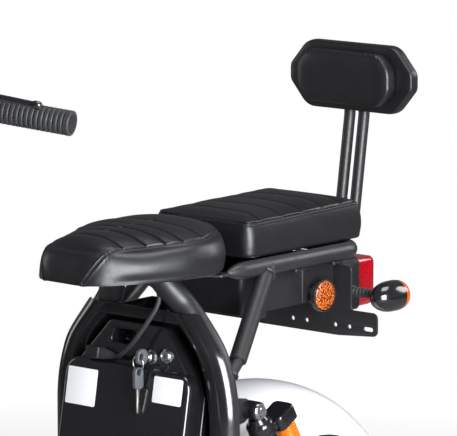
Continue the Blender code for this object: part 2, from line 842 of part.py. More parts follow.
def brake_lever(name):
    """A flat cast lever with a curved blade and a ball end, on the left side."""
    pivot, up, outward, forward = lever_pivot()
    reach = GRIP_LENGTH + SWITCH_LENGTH - LEVER_SHORT
    shares = ((0.0, 0.0, 1.0), (0.14, 0.35, 1.0), (0.32, 0.76, 0.88), (0.58, 1.0, 0.76),
              (1.0, 0.88, 0.59))
    path = [(reach * along, LEVER_BOW * out) for along, out, _ in shares]
    widths = [LEVER_HALF_WIDTH * wide for _, _, wide in shares]
    outer = [(u, v + w) for (u, v), w in zip(path, widths)]
    inner = [(u, v - w) for (u, v), w in zip(path, widths)]
    outline = outer + list(reversed(inner))
    blade = plate(name, outline, LEVER_THICKNESS)
    ball_half, eye_half = 0.70 * LEVER_THICKNESS, 0.82 * LEVER_THICKNESS
    end_out = path[-1][1]
    ball = rod(f"{name}_ball", (reach, end_out, -ball_half), (reach, end_out, ball_half),
               LEVER_HALF_WIDTH)
    eye = rod(f"{name}_eye", (0, 0, -eye_half), (0, 0, eye_half), LEVER_HALF_WIDTH * 1.24)
    pin_hole = rod(f"{name}_pin_hole", (0, 0, -3 * eye_half), (0, 0, 3 * eye_half), LEVER_PIN + 2 * GAP)
    basis = Matrix((outward, forward, up)).transposed().to_4x4()
    placed = Matrix.Translation(pivot) @ basis
    for piece in (blade, ball, eye, pin_hole):
        piece.data.transform(placed)
        if placed.determinant() < 0:
            piece.data.flip_normals()
    cut(join(blade, ball, eye), pin_hole)
    return finish(blade, "black_coat")


def lever_perch(name):
    """The clamp and fork that hold the brake lever's pin, on the left side."""
    pivot, up, outward, forward = lever_pivot()
    on_bar = pivot - forward * LEVER_OFFSET
    clamp = rod(name, on_bar - outward * PERCH_HALF, on_bar + outward * PERCH_HALF, BAR_RADIUS + 0.006,
                sides=10)
    reach = LEVER_THICKNESS * 1.375
    pieces = [rod(f"{name}_pin", pivot - up * reach, pivot + up * reach, LEVER_PIN)]
    basis = Matrix((outward, forward, up)).transposed().to_4x4()
    for side in (-1, 1):
        at = side * (reach - 0.0015)
        cheek = box(f"{name}_cheek_{side}", (-0.009, -LEVER_OFFSET, at - 0.002),
                    (0.009, 0.009, at + 0.002))
        cheek.data.transform(Matrix.Translation(pivot) @ basis)
        pieces.append(cheek)
    return finish(join(clamp, *pieces), "black_coat")


def headlight():
    """A round bucket in front of the head tube, held by two tabs on the lower yoke."""
    deep, wall, bulge = HEADLIGHT_DEPTH, HEADLIGHT_WALL, HEADLIGHT_BULGE
    place = steered(0.0, HEADLIGHT_AHEAD, HEADLIGHT_AT)
    shell = turned("headlight", [
        (HEADLIGHT_RADIUS, 0.0), (HEADLIGHT_RADIUS, deep * 0.25), (HEADLIGHT_RADIUS * 0.92, deep * 0.52),
        (HEADLIGHT_RADIUS * 0.64, deep * 0.86), (HEADLIGHT_RADIUS * 0.20, deep), (0.0, deep),
        (0.0, deep - wall), (HEADLIGHT_RADIUS * 0.20, deep - wall),
        (HEADLIGHT_RADIUS - 2 * wall, deep * 0.34),
        (HEADLIGHT_RADIUS - wall, 0.0),
    ], 18, along="Y")
    shell.location = place
    low = LOWER_YOKE_AT + YOKE_THICKNESS / 2 - 0.002 + GAP
    outline = [(-0.026, low), (-0.006, low), (-0.006, low + 0.074), (-0.066, low + 0.074),
               (-0.066, low + 0.054),
               (-0.026, low + 0.044)]
    standing = Matrix.Translation(steered(0, 0, 0)) @ Matrix.Rotation(-RAKE, 4, "X") @ FACING_X
    for side in (-1, 1):
        tab = plate(f"headlight_tab_{side}", outline, 0.008,
                    Matrix.Translation((side * 0.044, 0, 0)) @ standing)
        join(shell, tab)
    lens = turned("headlight_lens", [
        (HEADLIGHT_RADIUS - 1.50 * wall, bulge * 0.40),
        (HEADLIGHT_RADIUS - 1.33 * wall, -bulge * 0.07),
        (HEADLIGHT_RADIUS * 0.70, -bulge * 0.67),
        (HEADLIGHT_RADIUS * 0.36, -bulge * 0.93),
        (0.0, -bulge),
        (0.0, -bulge * 0.67),
        (HEADLIGHT_RADIUS * 0.66, -bulge * 0.33),
        (HEADLIGHT_RADIUS * 0.84, bulge * 0.40),
    ], 18, along="Y")
    lens.location = place
    return finish(shell, "gloss_black"), finish(lens, "clear_lens")


def front_frame():
    """The head tube and the main tube down to the floor."""
    low = LOWER_YOKE_AT + YOKE_THICKNESS / 2 + 0.002
    high = UPPER_YOKE_AT - YOKE_THICKNESS / 2 - 0.002
    head = rod("front_frame", steered(0, 0, low), steered(0, 0, high), HEAD_RADIUS, sides=24)
    middle = (low + high) / 2
    start = steered(0, HEAD_RADIUS * 0.6, middle)
    path = bent([
        start,
        (0.0, MAIN_TUBE_Y, start.z - 0.075),
        (0.0, MAIN_TUBE_Y, RAIL_CENTRE_Z),
        (0.0, FLOOR_FRONT_Y - CROSS_RADIUS * 0.4, RAIL_CENTRE_Z),
    ], [0.060, 0.062], 4)
    main = tube("main_tube", path, MAIN_TUBE_RADIUS, 4)
    join(head, main)
    bore = rod("head_bore", steered(0, 0, low - 0.05), steered(0, 0, high + 0.05), HEAD_BORE, sides=24)
    seat = rod("front_cross_seat", (-0.06, FLOOR_FRONT_Y, RAIL_CENTRE_Z),
               (0.06, FLOOR_FRONT_Y, RAIL_CENTRE_Z),
               CROSS_RADIUS + GAP, sides=10)
    cut(head, bore, seat)
    return finish(head, "black_coat")


def floor_frame():
    """Two rails, three cross tubes, the swing arm's pivot bolt and the stand's lug."""
    rails = []
    for side in (-1, 1):
        x = side * HOOP_HALF
        rails.append(box(f"rail_{side}",
                         (x - RAIL_WIDTH / 2, FLOOR_FRONT_Y - CROSS_RADIUS,
                          RAIL_CENTRE_Z - RAIL_HEIGHT / 2),
                         (x + RAIL_WIDTH / 2, RAIL_REAR_Y, RAIL_TOP_Z)))
    base = rails[0]
    base.name = "floor_frame"
    pieces = [rails[1]]
    for index, y in enumerate((FLOOR_FRONT_Y, (FLOOR_FRONT_Y + CROSS_REAR_Y) / 2, CROSS_REAR_Y)):
        pieces.append(rod(f"cross_{index}", (-HOOP_HALF, y, RAIL_CENTRE_Z), (HOOP_HALF, y, RAIL_CENTRE_Z),
                          CROSS_RADIUS, sides=10))
    pieces.append(rod("pivot_bolt", (-HOOP_HALF, PIVOT_Y, RAIL_CENTRE_Z),
                      (HOOP_HALF, PIVOT_Y, RAIL_CENTRE_Z),
                      AXLE_RADIUS, sides=10))
    lug_x = HOOP_HALF + RAIL_WIDTH / 2
    pieces.append(rod("stand_pin", (lug_x - 0.010, STAND_Y, STAND_Z),
                      (lug_x + STAND_OUT + 0.014, STAND_Y, STAND_Z),
                      STAND_PIN, sides=10))
    join(base, *pieces)
    return finish(base, "black_coat")


def arc_x(outward, rise):
    """Where the hoop's arc, or a line that far outside it, stands at a height above its start."""
    return HOOP_HALF - HOOP_ARC_RADIUS + sqrt((HOOP_ARC_RADIUS + outward) ** 2 - rise ** 2)


def hoop_x(z):
    """Half the spacing of the seat hoop's tubes at a height."""
    return arc_x(0.0, max(0.0, z - HOOP_ARC_Z))


def hoop_y(z):
    return HOOP_Y - HOOP_LEAN * max(0.0, z - HOOP_LEAN_FROM) ** 2


def hoop_path():
    """The hoop's centre line, from its left foot over the top to its right foot."""
    half = [(HOOP_HALF, RAIL_TOP_Z + GAP)]
    arc_steps, bend_steps = 8, 3
    for step in range(arc_steps + 1):
        turn = HOOP_ARC_TURN * step / arc_steps
        half.append((HOOP_HALF - HOOP_ARC_RADIUS * (1 - cos(turn)),
                     HOOP_ARC_Z + HOOP_ARC_RADIUS * sin(turn)))
    end_x, end_z = half[-1]
    centre_x = end_x - HOOP_TOP_BEND * cos(HOOP_ARC_TURN)
    centre_z = end_z - HOOP_TOP_BEND * sin(HOOP_ARC_TURN)
    for step in range(1, bend_steps + 1):
        turn = HOOP_ARC_TURN + (pi / 2 - HOOP_ARC_TURN) * step / bend_steps
        half.append((centre_x + HOOP_TOP_BEND * cos(turn), centre_z + HOOP_TOP_BEND * sin(turn)))
    path = half + [(-x, z) for x, z in reversed(half)]
    return [Vector((x, hoop_y(z), z)) for x, z in path]


def hoop_top():
    """The highest point of the hoop's surface."""
    return max(point.z for point in hoop_path()) + HOOP_RADIUS


def strut_foot(side):
    x = hoop_x(STRUT_FOOT_Z) + 0.002
    return Vector((side * x, HOOP_Y + STRUT_REACH, STRUT_FOOT_Z + 0.012))


def strut_top(side):
    return Vector((side * RACK_HALF, STRUT_TOP_Y, RACK_Z))


def seat_hoop():
    """The hoop that carries the saddle, with the strut stubs and the shock brackets."""
    hoop = tube("seat_hoop", hoop_path(), HOOP_RADIUS, 4)
    pieces = []
    for side in (-1, 1):
        foot = strut_foot(side)
        down = (foot - strut_top(side)).normalized()
        root = Vector((side * hoop_x(STRUT_FOOT_Z - 0.02), HOOP_Y, STRUT_FOOT_Z - 0.020))
        pieces.append(rod(f"strut_stub_{side}", foot + down * 0.002, root, STRUT_RADIUS * 0.72, sides=10))
        near = SHOCK_X - SHOCK_EYE_HALF - 0.0015
        ear = plate(f"shock_ear_{side}", rounded([
            (HOOP_Y, SHOCK_TOP_Z - 0.024), (SHOCK_TOP_Y - 0.004, SHOCK_TOP_Z - 0.018),
            (SHOCK_TOP_Y + 0.016, SHOCK_TOP_Z), (SHOCK_TOP_Y, SHOCK_TOP_Z + 0.016),
            (HOOP_Y, SHOCK_TOP_Z + 0.024),
        ], [0.001, 0.012, 0.012, 0.012, 0.001], 2), near - HOOP_HALF + 0.004, FACING_X)
        ear.data.transform(Matrix.Translation((side * (near + HOOP_HALF - 0.004) / 2, 0, 0)))
        pieces.append(ear)
        reach = SHOCK_X + SHOCK_EYE_HALF + 0.010
        pieces.append(rod(f"shock_top_bolt_{side}", (side * (near - 0.003), SHOCK_TOP_Y, SHOCK_TOP_Z),
                          (side * reach, SHOCK_TOP_Y, SHOCK_TOP_Z), SHOCK_PIN, sides=10))
        pieces.append(rod(f"shock_top_head_{side}", (side * (reach - 0.008), SHOCK_TOP_Y, SHOCK_TOP_Z),
                          (side * reach, SHOCK_TOP_Y, SHOCK_TOP_Z), SHOCK_PIN * 1.9, sides=6))
    return finish(join(hoop, *pieces), "black_coat")


def rear_rack():
    """The loop under the rear pad, tapered at its front tips, and its two struts."""
    corners = [
        (RACK_HALF, RACK_TIP_Y, RACK_Z), (RACK_HALF, RACK_REAR_Y, RACK_Z),
        (-RACK_HALF, RACK_REAR_Y, RACK_Z), (-RACK_HALF, RACK_TIP_Y, RACK_Z),
    ]
    path = bent(corners, [RACK_CORNER, RACK_CORNER], 5)
    taper = Vector((0.0, RACK_TAPER, 0.0))
    path = [path[0], path[0] + taper] + path[1:-1] + [path[-1] + taper, path[-1]]
    radii = [0.22, 1.0] + [1.0] * (len(path) - 4) + [1.0, 0.22]
    loop = tube("rear_rack", path, RACK_RADIUS, 3, radii)
    struts = []
    for side in (-1, 1):
        struts.append(rod(f"strut_{side}", strut_top(side), strut_foot(side), STRUT_RADIUS, sides=14))
    join(loop, *struts)
    return finish(loop, "black_coat")


def seat_plate():
    """The plate on top of the hoop, under the saddle, reaching back to the rack's tips."""
    low = hoop_top() + GAP
    rear = RACK_TIP_Y - GAP
    wing = RACK_HALF + 0.010
    outline = rounded([
        (-0.014, SADDLE_NOSE_Y + 0.030), (0.014, SADDLE_NOSE_Y + 0.030), (0.050, SADDLE_NOSE_Y + 0.110),
        (0.055, rear - 0.060), (wing, rear - 0.022), (wing, rear), (-wing, rear), (-wing, rear - 0.022),
        (-0.055, rear - 0.060), (-0.050, SADDLE_NOSE_Y + 0.110),
    ], 0.005, 2)
    obj = plate("seat_plate", outline, SEAT_PLATE_THICKNESS)
    obj.data.transform(Matrix.Translation((0, 0, low + SEAT_PLATE_THICKNESS / 2)))
    return finish(obj, "black_coat")


def sample(table, at):
    """A value read between the rows of a short table of (place, value)."""
    for (near, first), (far, second) in zip(table, table[1:]):
        if at <= far:
            return first + (second - first) * max(0.0, at - near) / (far - near)
    return table[-1][1]


def cushion(name, places, widths, tops, bottom_z, seam_share, channels, channel_depth):
    """A padded seat lofted along Y: drawn in at its base, bulged at its sides, crowned on top.

    The tables give half its width and its top height along Y. Each channel is a sewn line
    across the top, where the crown is pulled down.
    """
    side = ((0.94, 0.0), (1.0, 0.22), (1.0, 0.48), (0.965, 0.78), (0.93, 1.0))
    across = (0.80, 0.56, 0.28, 0.0)
    rings = []
    for y in places:
        half, top = sample(widths, y), sample(tops, y)
        seam = bottom_z + (top - bottom_z) * seam_share
        sewn = any(abs(y - channel) < MERGE for channel in channels)
        right = [(half * wide, bottom_z + (seam - bottom_z) * high) for wide, high in side]
        edge = side[-1][0]
        for share in across:
            rise = (top - seam) * (1.0 - (share / edge) ** 2.6)
            inset = channel_depth * min(1.0, (edge - share) * 6.0) if sewn else 0.0
            right.append((half * share, seam + rise - inset))
        ring = right + [(-x, z) for x, z in reversed(right[:-1])]
        rings.append([(x, y, z) for x, z in ring])
    return loft(name, rings)


def with_channels(ends, channels, reach):
    """Places along a seat: its ends, each channel, and the swell on both sides of each."""
    places = list(ends)
    for channel in channels:
        places += [channel - reach, channel, channel + reach]
    for near, far in zip(channels, channels[1:]):
        places.append((near + far) / 2)
    return sorted(places)


def saddle():
    """The rider's seat: a blunt nose, wide at the rear, with five channels."""
    length = SADDLE_REAR_Y - SADDLE_NOSE_Y

    def at(share):
        return SADDLE_NOSE_Y + length * share

    widths = [(at(s), SADDLE_HALF * w) for s, w in (
        (0.0, 0.33), (0.02, 0.43), (0.07, 0.54), (0.15, 0.66), (0.30, 0.82), (0.47, 0.95), (0.61, 1.0),
        (0.75, 0.95), (0.87, 0.76), (0.95, 0.50), (1.0, 0.20))]
    height = SADDLE_TOP_Z - SADDLE_BOTTOM_Z
    tops = [(at(s), SADDLE_BOTTOM_Z + height * h) for s, h in (
        (0.0, 0.20), (0.02, 0.45), (0.07, 0.68), (0.15, 0.84), (0.30, 0.95), (0.50, 1.0), (0.72, 0.98),
        (0.87, 0.90), (0.95, 0.72), (1.0, 0.35))]
    channels = [at(s) for s in (0.14, 0.26, 0.38, 0.51, 0.64)]
    ends = [at(s) for s in (0.0, 0.02, 0.05, 0.09, 0.75, 0.82, 0.87, 0.91, 0.95, 0.98, 1.0)]
    obj = cushion("saddle", with_channels(ends, channels, 0.006), widths, tops, SADDLE_BOTTOM_Z, 0.80,
                  channels, 0.004)
    return finish(obj, "vinyl")


def saddle_pan():
    """The shell under the saddle cushion."""
    low = hoop_top() + GAP + SEAT_PLATE_THICKNESS + GAP
    high = SADDLE_BOTTOM_Z - GAP
    front, rear = SADDLE_NOSE_Y + 0.016, SADDLE_REAR_Y - 0.030
    wide = SADDLE_HALF * 0.80
    outline = rounded([(-0.028, front), (0.028, front), (wide, front + 0.130), (wide, rear - 0.070),
                       (0.045, rear),
                       (-0.045, rear), (-wide, rear - 0.070), (-wide, front + 0.130)], 0.020, 3)
    obj = plate("saddle_pan", outline, high - low)
    obj.data.transform(Matrix.Translation((0, 0, (low + high) / 2)))
    return finish(obj, "satin_plastic")


def rear_pad():
    """The passenger's pad, with five channels across its top."""
    front, rear = PAD_FRONT_Y, PAD_REAR_Y
    inset = 0.012
    widths = [(front, PAD_HALF - inset), (front + 0.004, PAD_HALF - 0.005), (front + inset, PAD_HALF),
              (rear - inset, PAD_HALF), (rear - 0.004, PAD_HALF - 0.005), (rear, PAD_HALF - inset)]
    height = PAD_TOP_Z - PAD_BOTTOM_Z
    tops = [(front, PAD_BOTTOM_Z + height * 0.62), (front + 0.004, PAD_BOTTOM_Z + height * 0.76),
            (front + inset, PAD_BOTTOM_Z + height * 0.88), (front + 0.040, PAD_TOP_Z - 0.003),
            ((front + rear) / 2, PAD_TOP_Z), (rear - 0.040, PAD_TOP_Z - 0.003),
            (rear - inset, PAD_BOTTOM_Z + height * 0.88), (rear - 0.004, PAD_BOTTOM_Z + height * 0.76),
            (rear, PAD_BOTTOM_Z + height * 0.62)]
    count = 6
    first, last = front + 0.040, rear - 0.040
    channels = [first + (last - first) * index / (count - 1) for index in range(count)]
    ends = [front, front + 0.004, front + inset, front + 0.024, rear - 0.024, rear - inset, rear - 0.004,
            rear]
    obj = cushion("rear_pad", with_channels(ends, channels, 0.006), widths, tops, PAD_BOTTOM_Z, 0.80,
                  channels, 0.004)
    return finish(obj, "vinyl")


def rest_outline(half, half_height, tip):
    """The backrest's six sides, in X and Z about its middle."""
    flat = half * 0.72
    return [(-flat, -half_height), (flat, -half_height), (half, -tip), (half, tip),
            (flat, half_height), (-flat, half_height), (-half, tip), (-half, -tip)]


def backrest():
    """The shell, its raised front pad and the two posts that carry it."""
    centre = Vector((0.0, REST_Y, REST_CENTRE_Z))
    radii = [0.030, 0.030, 0.020, 0.020, 0.030, 0.030, 0.020, 0.020]
    outline = rounded(rest_outline(REST_HALF, REST_HALF_HEIGHT, 0.010), radii, 2)
    shell = plate("backrest_shell", outline, REST_DEPTH, Matrix.Translation(centre) @ FACING_Y)
    soften(shell, 0.004, 1, 50.0)
    finish(shell, "satin_plastic")
    inner_half, inner_height = REST_HALF - REST_BORDER, REST_HALF_HEIGHT - REST_BORDER / 2
    front = REST_Y - REST_DEPTH / 2 - GAP
    layers = ((1.0, 0.0), (1.02, 0.28), (0.98, 0.60), (0.90, 0.79), (0.60, 0.953), (0.25, 1.0))
    base = rounded(rest_outline(inner_half, inner_height, 0.008), 0.024, 2)
    rings = []
    for share, out in layers:
        y = front - REST_PAD_DEPTH * out
        rings.append([(x * share, y, REST_CENTRE_Z + z * share) for x, z in base])
    pad = loft("backrest_pad", rings)
    finish(pad, "vinyl")
    return shell, pad


def backrest_posts():
    """Two bars from the rack's rear tube up behind the backrest, joined by two plates."""
    back = REST_Y + REST_DEPTH / 2 + 2 * GAP + POST_RADIUS
    under = REST_CENTRE_Z - REST_HALF_HEIGHT - 0.006
    start_y = RACK_REAR_Y + RACK_RADIUS + GAP
    low_z = RACK_Z - 0.002
    pieces = []
    for side in (-1, 1):
        x = side * POST_HALF_SPACING
        path = bent([(x, start_y, low_z), (x, POST_FOOT_Y, low_z), (x, back, under),
                     (x, back, REST_CENTRE_Z + 0.024)],
                    [0.050, 0.030], 5)
        pieces.append(tube(f"post_{side}", path, POST_RADIUS, 2))
    rear_face = REST_Y + REST_DEPTH / 2 + GAP
    half_height = POST_PLATE_HEIGHT / 2
    pieces.append(box("post_plate", (-POST_PLATE_HALF, rear_face, REST_CENTRE_Z - half_height),
                      (POST_PLATE_HALF, rear_face + POST_PLATE, REST_CENTRE_Z + half_height)))
    base = box("backrest_posts", (-POST_FOOT_HALF, start_y, low_z - POST_RADIUS / 2),
               (POST_FOOT_HALF, start_y + POST_FOOT_LENGTH, low_z + POST_RADIUS / 2))
    join(base, *pieces)
    return finish(base, "black_coat")


def tail_box():
    """The open-topped controller box between the rack's rails, with its groove and front lip."""
    high = RACK_Z - RACK_RADIUS - GAP
    corners = [(-BOX_HALF, BOX_FRONT_Y), (BOX_HALF, BOX_FRONT_Y), (BOX_HALF, BOX_REAR_Y),
               (-BOX_HALF, BOX_REAR_Y)]
    shell = plate("tail_box", rounded(corners, 0.008, 3), high - BOX_BOTTOM_Z)
    shell.data.transform(Matrix.Translation((0, 0, (high + BOX_BOTTOM_Z) / 2)))
    inside = box("tail_box_inside",
                 (-BOX_HALF + BOX_WALL, BOX_FRONT_Y + BOX_WALL, BOX_BOTTOM_Z + BOX_WALL),
                 (BOX_HALF - BOX_WALL, BOX_REAR_Y - BOX_WALL, high + 0.05))
    cut(shell, inside)
    lip = box("tail_box_lip", (-BOX_HALF + 0.006, BOX_FRONT_Y + 0.030, BOX_BOTTOM_Z - 0.010),
              (BOX_HALF - 0.002, BOX_FRONT_Y + 0.062, BOX_BOTTOM_Z + 0.002))
    soften(lip, 0.004, 1, 50.0)
    ears = []
    for side in (-1, 1):
        x = side * (BOX_HALF - 0.001)
        far = side * (RACK_HALF + 0.004)
        ears.append(box(f"box_ear_{side}", (min(x, far), BOX_FRONT_Y + 0.090, high - 0.004),
                        (max(x, far), BOX_FRONT_Y + 0.115, high)))
        ears.append(box(f"box_ear_rear_{side}", (min(x, far), BOX_REAR_Y - 0.040, high - 0.004),
                        (max(x, far), BOX_REAR_Y - 0.015, high)))
    join(shell, lip, *ears)
    grooves = []
    for side in (-1, 1):
        x = side * BOX_HALF
        grooves.append(box(f"box_groove_{side}", (x - 0.0012, BOX_GROOVE_Y - 0.004, BOX_BOTTOM_Z + 0.004),
                           (x + 0.0012, BOX_GROOVE_Y + 0.004, high + 0.05)))
    cut(shell, *grooves)
    return finish(shell, "satin_plastic")


def plate_bracket():
    """The flat bracket for the number plate and the turn signals, with its row of holes."""
    corner = 0.009
    end_low = PLATE_LOW_Z + 0.006
    outline = rounded([
        (-PLATE_HALF, end_low), (-PLATE_HALF * 0.5, PLATE_LOW_Z), (PLATE_HALF * 0.5, PLATE_LOW_Z),
        (PLATE_HALF, end_low),
        (PLATE_HALF, PLATE_END_Z), (PLATE_SHOULDER, PLATE_END_Z), (PLATE_SHOULDER, PLATE_TOP_Z),
        (-PLATE_SHOULDER, PLATE_TOP_Z), (-PLATE_SHOULDER, PLATE_END_Z), (-PLATE_HALF, PLATE_END_Z),
    ], [corner, 0.002, 0.002, corner, corner, 0.004, corner, corner, 0.004, corner], 3)
    holes = [circle(side * x, HOLE_ROW_Z, HOLE_RADIUS, 8) for side in (-1, 1) for x in HOLE_PLACES]
    holes += [slot(side * SLOT_AT, HOLE_ROW_Z, SLOT_LENGTH, HOLE_RADIUS, 4) for side in (-1, 1)]
    obj = plate("plate_bracket", outline, PLATE_THICKNESS, standing_y(PLATE_Y), holes)
    return finish(obj, "black_coat")


def tail_light():
    """The housing behind the box and the red lens in front of its lamp."""
    middle_z = (LENS_LOW_Z + LENS_HIGH_Z) / 2
    half_height = (LENS_HIGH_Z - LENS_LOW_Z) / 2
    start = PLATE_Y + PLATE_THICKNESS / 2 + GAP
    rings = []
    for y, wide, high in ((start, 0.58, 0.70), (start + 0.012, 0.72, 0.82), (LENS_Y - 0.022, 0.98, 1.0),
                          (LENS_Y - GAP, 1.05, 1.05)):
        corners = [(-LENS_HALF * wide, -half_height * high), (LENS_HALF * wide, -half_height * high),
                   (LENS_HALF * wide, half_height * high), (-LENS_HALF * wide, half_height * high)]
        rings.append([(x, y, middle_z + z) for x, z in rounded(corners, 0.008, 3)])
    housing = finish(loft("tail_light_housing", rings), "satin_plastic")
    rings = []
    for y, share in ((LENS_Y, 1.0), (LENS_Y + LENS_DEPTH * 0.75, 0.985),
                     (LENS_Y + LENS_DEPTH * 0.95, 0.95),
                     (LENS_Y + LENS_DEPTH, 0.88)):
        corners = [(-LENS_HALF * share, -half_height * share), (LENS_HALF * share, -half_height * share),
                   (LENS_HALF * share, half_height * share), (-LENS_HALF * share, half_height * share)]
        rings.append([(x, y, middle_z + z) for x, z in rounded(corners, 0.007, 3)])
    lens = finish(loft("tail_light_lens", rings), "red_lens")
    return housing, lens


def rear_signal(side, word):
    """A ribbed rubber stalk and its glossy body, with the lens facing the rear."""
    root = PLATE_SHOULDER - 0.014
    stalk_y = PLATE_Y + PLATE_THICKNESS / 2 + 0.0102
    profile = [(0.0, root), (0.0095, root), (0.0095, root + 0.006)]
    ribs = 3
    start, end = root + 0.008, SIGNAL_HALF - SIGNAL_RADIUS * 0.75
    pitch = (end - start) * 0.7 / ribs
    for index in range(ribs):
        at = start + pitch * index
        shrink = 0.0008 * index
        profile += [(0.0068 - shrink, at), (0.0086 - shrink, at + pitch * 0.5)]
    profile += [(0.0052, start + pitch * ribs), (0.0052, SIGNAL_HALF), (0.0, SIGNAL_HALF)]
    stalk = turned(f"rear_signal_{word}", profile, 10)
    stalk.location = (0.0, stalk_y, SIGNAL_Z)
    front = -SIGNAL_LENGTH * 0.52
    body_profile = [(0.0, front), (SIGNAL_RADIUS * 0.34, front + 0.002),
                    (SIGNAL_RADIUS * 0.68, front + 0.010),
                    (SIGNAL_RADIUS * 0.92, front + 0.022), (SIGNAL_RADIUS, front + 0.036),
                    (SIGNAL_RADIUS * 0.99, SIGNAL_LENGTH * 0.28), (0.0, SIGNAL_LENGTH * 0.28)]
    body = turned(f"signal_body_{word}", body_profile, 16, along="Y")
    body.location = (SIGNAL_HALF, stalk_y, SIGNAL_Z)
    join(stalk, body)
    lens_profile = [(0.0, SIGNAL_LENGTH * 0.28 + GAP), (SIGNAL_RADIUS * 0.97, SIGNAL_LENGTH * 0.28 + GAP),
                    (SIGNAL_RADIUS * 0.93, SIGNAL_LENGTH * 0.40),
                    (SIGNAL_RADIUS * 0.78, SIGNAL_LENGTH * 0.465),
                    (SIGNAL_RADIUS * 0.45, SIGNAL_LENGTH * 0.48), (0.0, SIGNAL_LENGTH * 0.48)]
    lens = turned(f"rear_signal_lens_{word}", lens_profile, 16, along="Y")
    lens.location = (SIGNAL_HALF, stalk_y, SIGNAL_Z)
    foot = rod(f"signal_foot_{word}", (root + 0.004, PLATE_Y + PLATE_THICKNESS / 2 + GAP, SIGNAL_Z),
               (root + 0.004, stalk_y, SIGNAL_Z), 0.0075, sides=10)
    join(stalk, foot)
    finish(stalk, "gloss_black")
    finish(lens, "amber")
    return stalk, lens


def side_reflector(side, word):
    """A round reflector in a black cup on the side of the box."""
    near = side * (BOX_HALF + GAP)
    far = side * (BOX_HALF + REFLECTOR_DEPTH)
    cup = rod(f"side_reflector_{word}", (near, REFLECTOR_Y, REFLECTOR_Z), (far, REFLECTOR_Y, REFLECTOR_Z),
              REFLECTOR_RADIUS, sides=24)
    face = rod(f"reflector_face_{word}", (far - side * 0.002, REFLECTOR_Y, REFLECTOR_Z),
               (far + side * 0.003, REFLECTOR_Y, REFLECTOR_Z), REFLECTOR_RADIUS - 0.004,
               REFLECTOR_RADIUS - 0.007, sides=24)
    join(cup, face)
    return finish(cup, "amber")


def deck():
    """The board on the rails and the mat on the board."""
    corners = [(-DECK_HALF, DECK_FRONT_Y), (DECK_HALF, DECK_FRONT_Y), (DECK_HALF, DECK_REAR_Y),
               (-DECK_HALF, DECK_REAR_Y)]
    board = plate("deck_board", rounded(corners, 0.030, 4), DECK_THICKNESS)
    board.data.transform(Matrix.Translation((0, 0, DECK_TOP_Z - DECK_THICKNESS / 2)))
    inset = 0.014
    half, front = DECK_HALF - inset, DECK_FRONT_Y + inset
    corners = [(-half, front), (half, front), (half, MAT_REAR_Y), (-half, MAT_REAR_Y)]
    mat = plate("deck_mat", rounded(corners, 0.022, 4), MAT_THICKNESS)
    mat.data.transform(Matrix.Translation((0, 0, DECK_TOP_Z + GAP + MAT_THICKNESS / 2)))
    return finish(board, "black_coat"), finish(mat, "rubber")


def case_ring(z):
    """One level of the battery case: round both tubes, back along its sides and across."""
    middle_y = hoop_y(z)
    rise = max(0.0, z - HOOP_ARC_Z)
    back = BATTERY_FRONT_Y + (z - BATTERY_FRONT_Z) * tan(CASE_LEAN) + CASE_DEPTH
    inner = HOOP_RADIUS + 9 * GAP
    steps = 8
    halves = []
    for radius, rear in ((inner, back + CASE_WALL / 2), (inner + CASE_WALL, back - CASE_WALL / 2)):
        half = []
        for step in range(steps + 1):
            turn = CASE_LIP_TURN - (CASE_LIP_TURN + pi / 2) * step / steps
            half.append((arc_x(radius * sin(turn), rise), middle_y - radius * cos(turn)))
        half.append((arc_x(-radius, rise), rear))
        halves.append(half)
    behind, ahead = halves
    ring = behind + [(-x, y) for x, y in reversed(behind)] + [(-x, y) for x,
                                                              y in ahead] + list(reversed(ahead))
    return [(x, y, z) for x, y in ring]


def battery_case():
    """The open-fronted case between the hoop's tubes, wrapped round them at both edges."""
    steps = 6
    turn = asin((CASE_TOP_Z - HOOP_ARC_Z) / HOOP_ARC_RADIUS)
    levels = [CASE_BOTTOM_Z] + [HOOP_ARC_Z + HOOP_ARC_RADIUS * sin(turn * step / steps)
                                for step in range(steps + 1)]
    shell = loft("battery_case", [case_ring(z) for z in levels])
    low = case_ring(CASE_BOTTOM_Z)
    side = hoop_x(CASE_BOTTOM_Z) - HOOP_RADIUS - 2 * GAP - CASE_WALL / 2
    rear = max(point[1] for point in low) - CASE_WALL / 2
    floor = box("case_floor", (-side, BATTERY_FRONT_Y - 0.020, CASE_BOTTOM_Z),
                (side, rear, CASE_BOTTOM_Z + CASE_WALL))
    reach = HOOP_RADIUS * 0.35
    brow_top, brow_low = hoop_x(CASE_TOP_Z) - reach, hoop_x(BROW_LOW_Z) - reach
    brow = plate("case_brow",
                 [(-brow_low, BROW_LOW_Z), (brow_low, BROW_LOW_Z), (brow_top, CASE_TOP_Z),
                  (-brow_top, CASE_TOP_Z)],
                 CASE_WALL, standing_y(CASE_FRONT_Y + CASE_WALL / 2))
    return finish(join(shell, floor, brow), "gloss_black")


def lower_cover():
    low, high = DECK_TOP_Z + GAP, CASE_BOTTOM_Z - GAP
    cover = box("lower_cover", (-BATTERY_HALF, COVER_FRONT_Y, low), (BATTERY_HALF, CASE_FRONT_Y, high))
    return finish(soften(cover, 0.010, 2, 50.0), "satin_plastic")


def leaned(obj):
    """Moves a piece modelled on the battery's front plane to where that plane stands."""
    lean = Matrix.Translation((0, BATTERY_FRONT_Y, BATTERY_FRONT_Z)) @ Matrix.Rotation(-CASE_LEAN, 4, "X")
    obj.data.transform(lean)
    return obj


def leaned_point(x, y, z):
    return Vector((x, BATTERY_FRONT_Y + y * cos(CASE_LEAN) + z * sin(CASE_LEAN),
                   BATTERY_FRONT_Z - y * sin(CASE_LEAN) + z * cos(CASE_LEAN)))


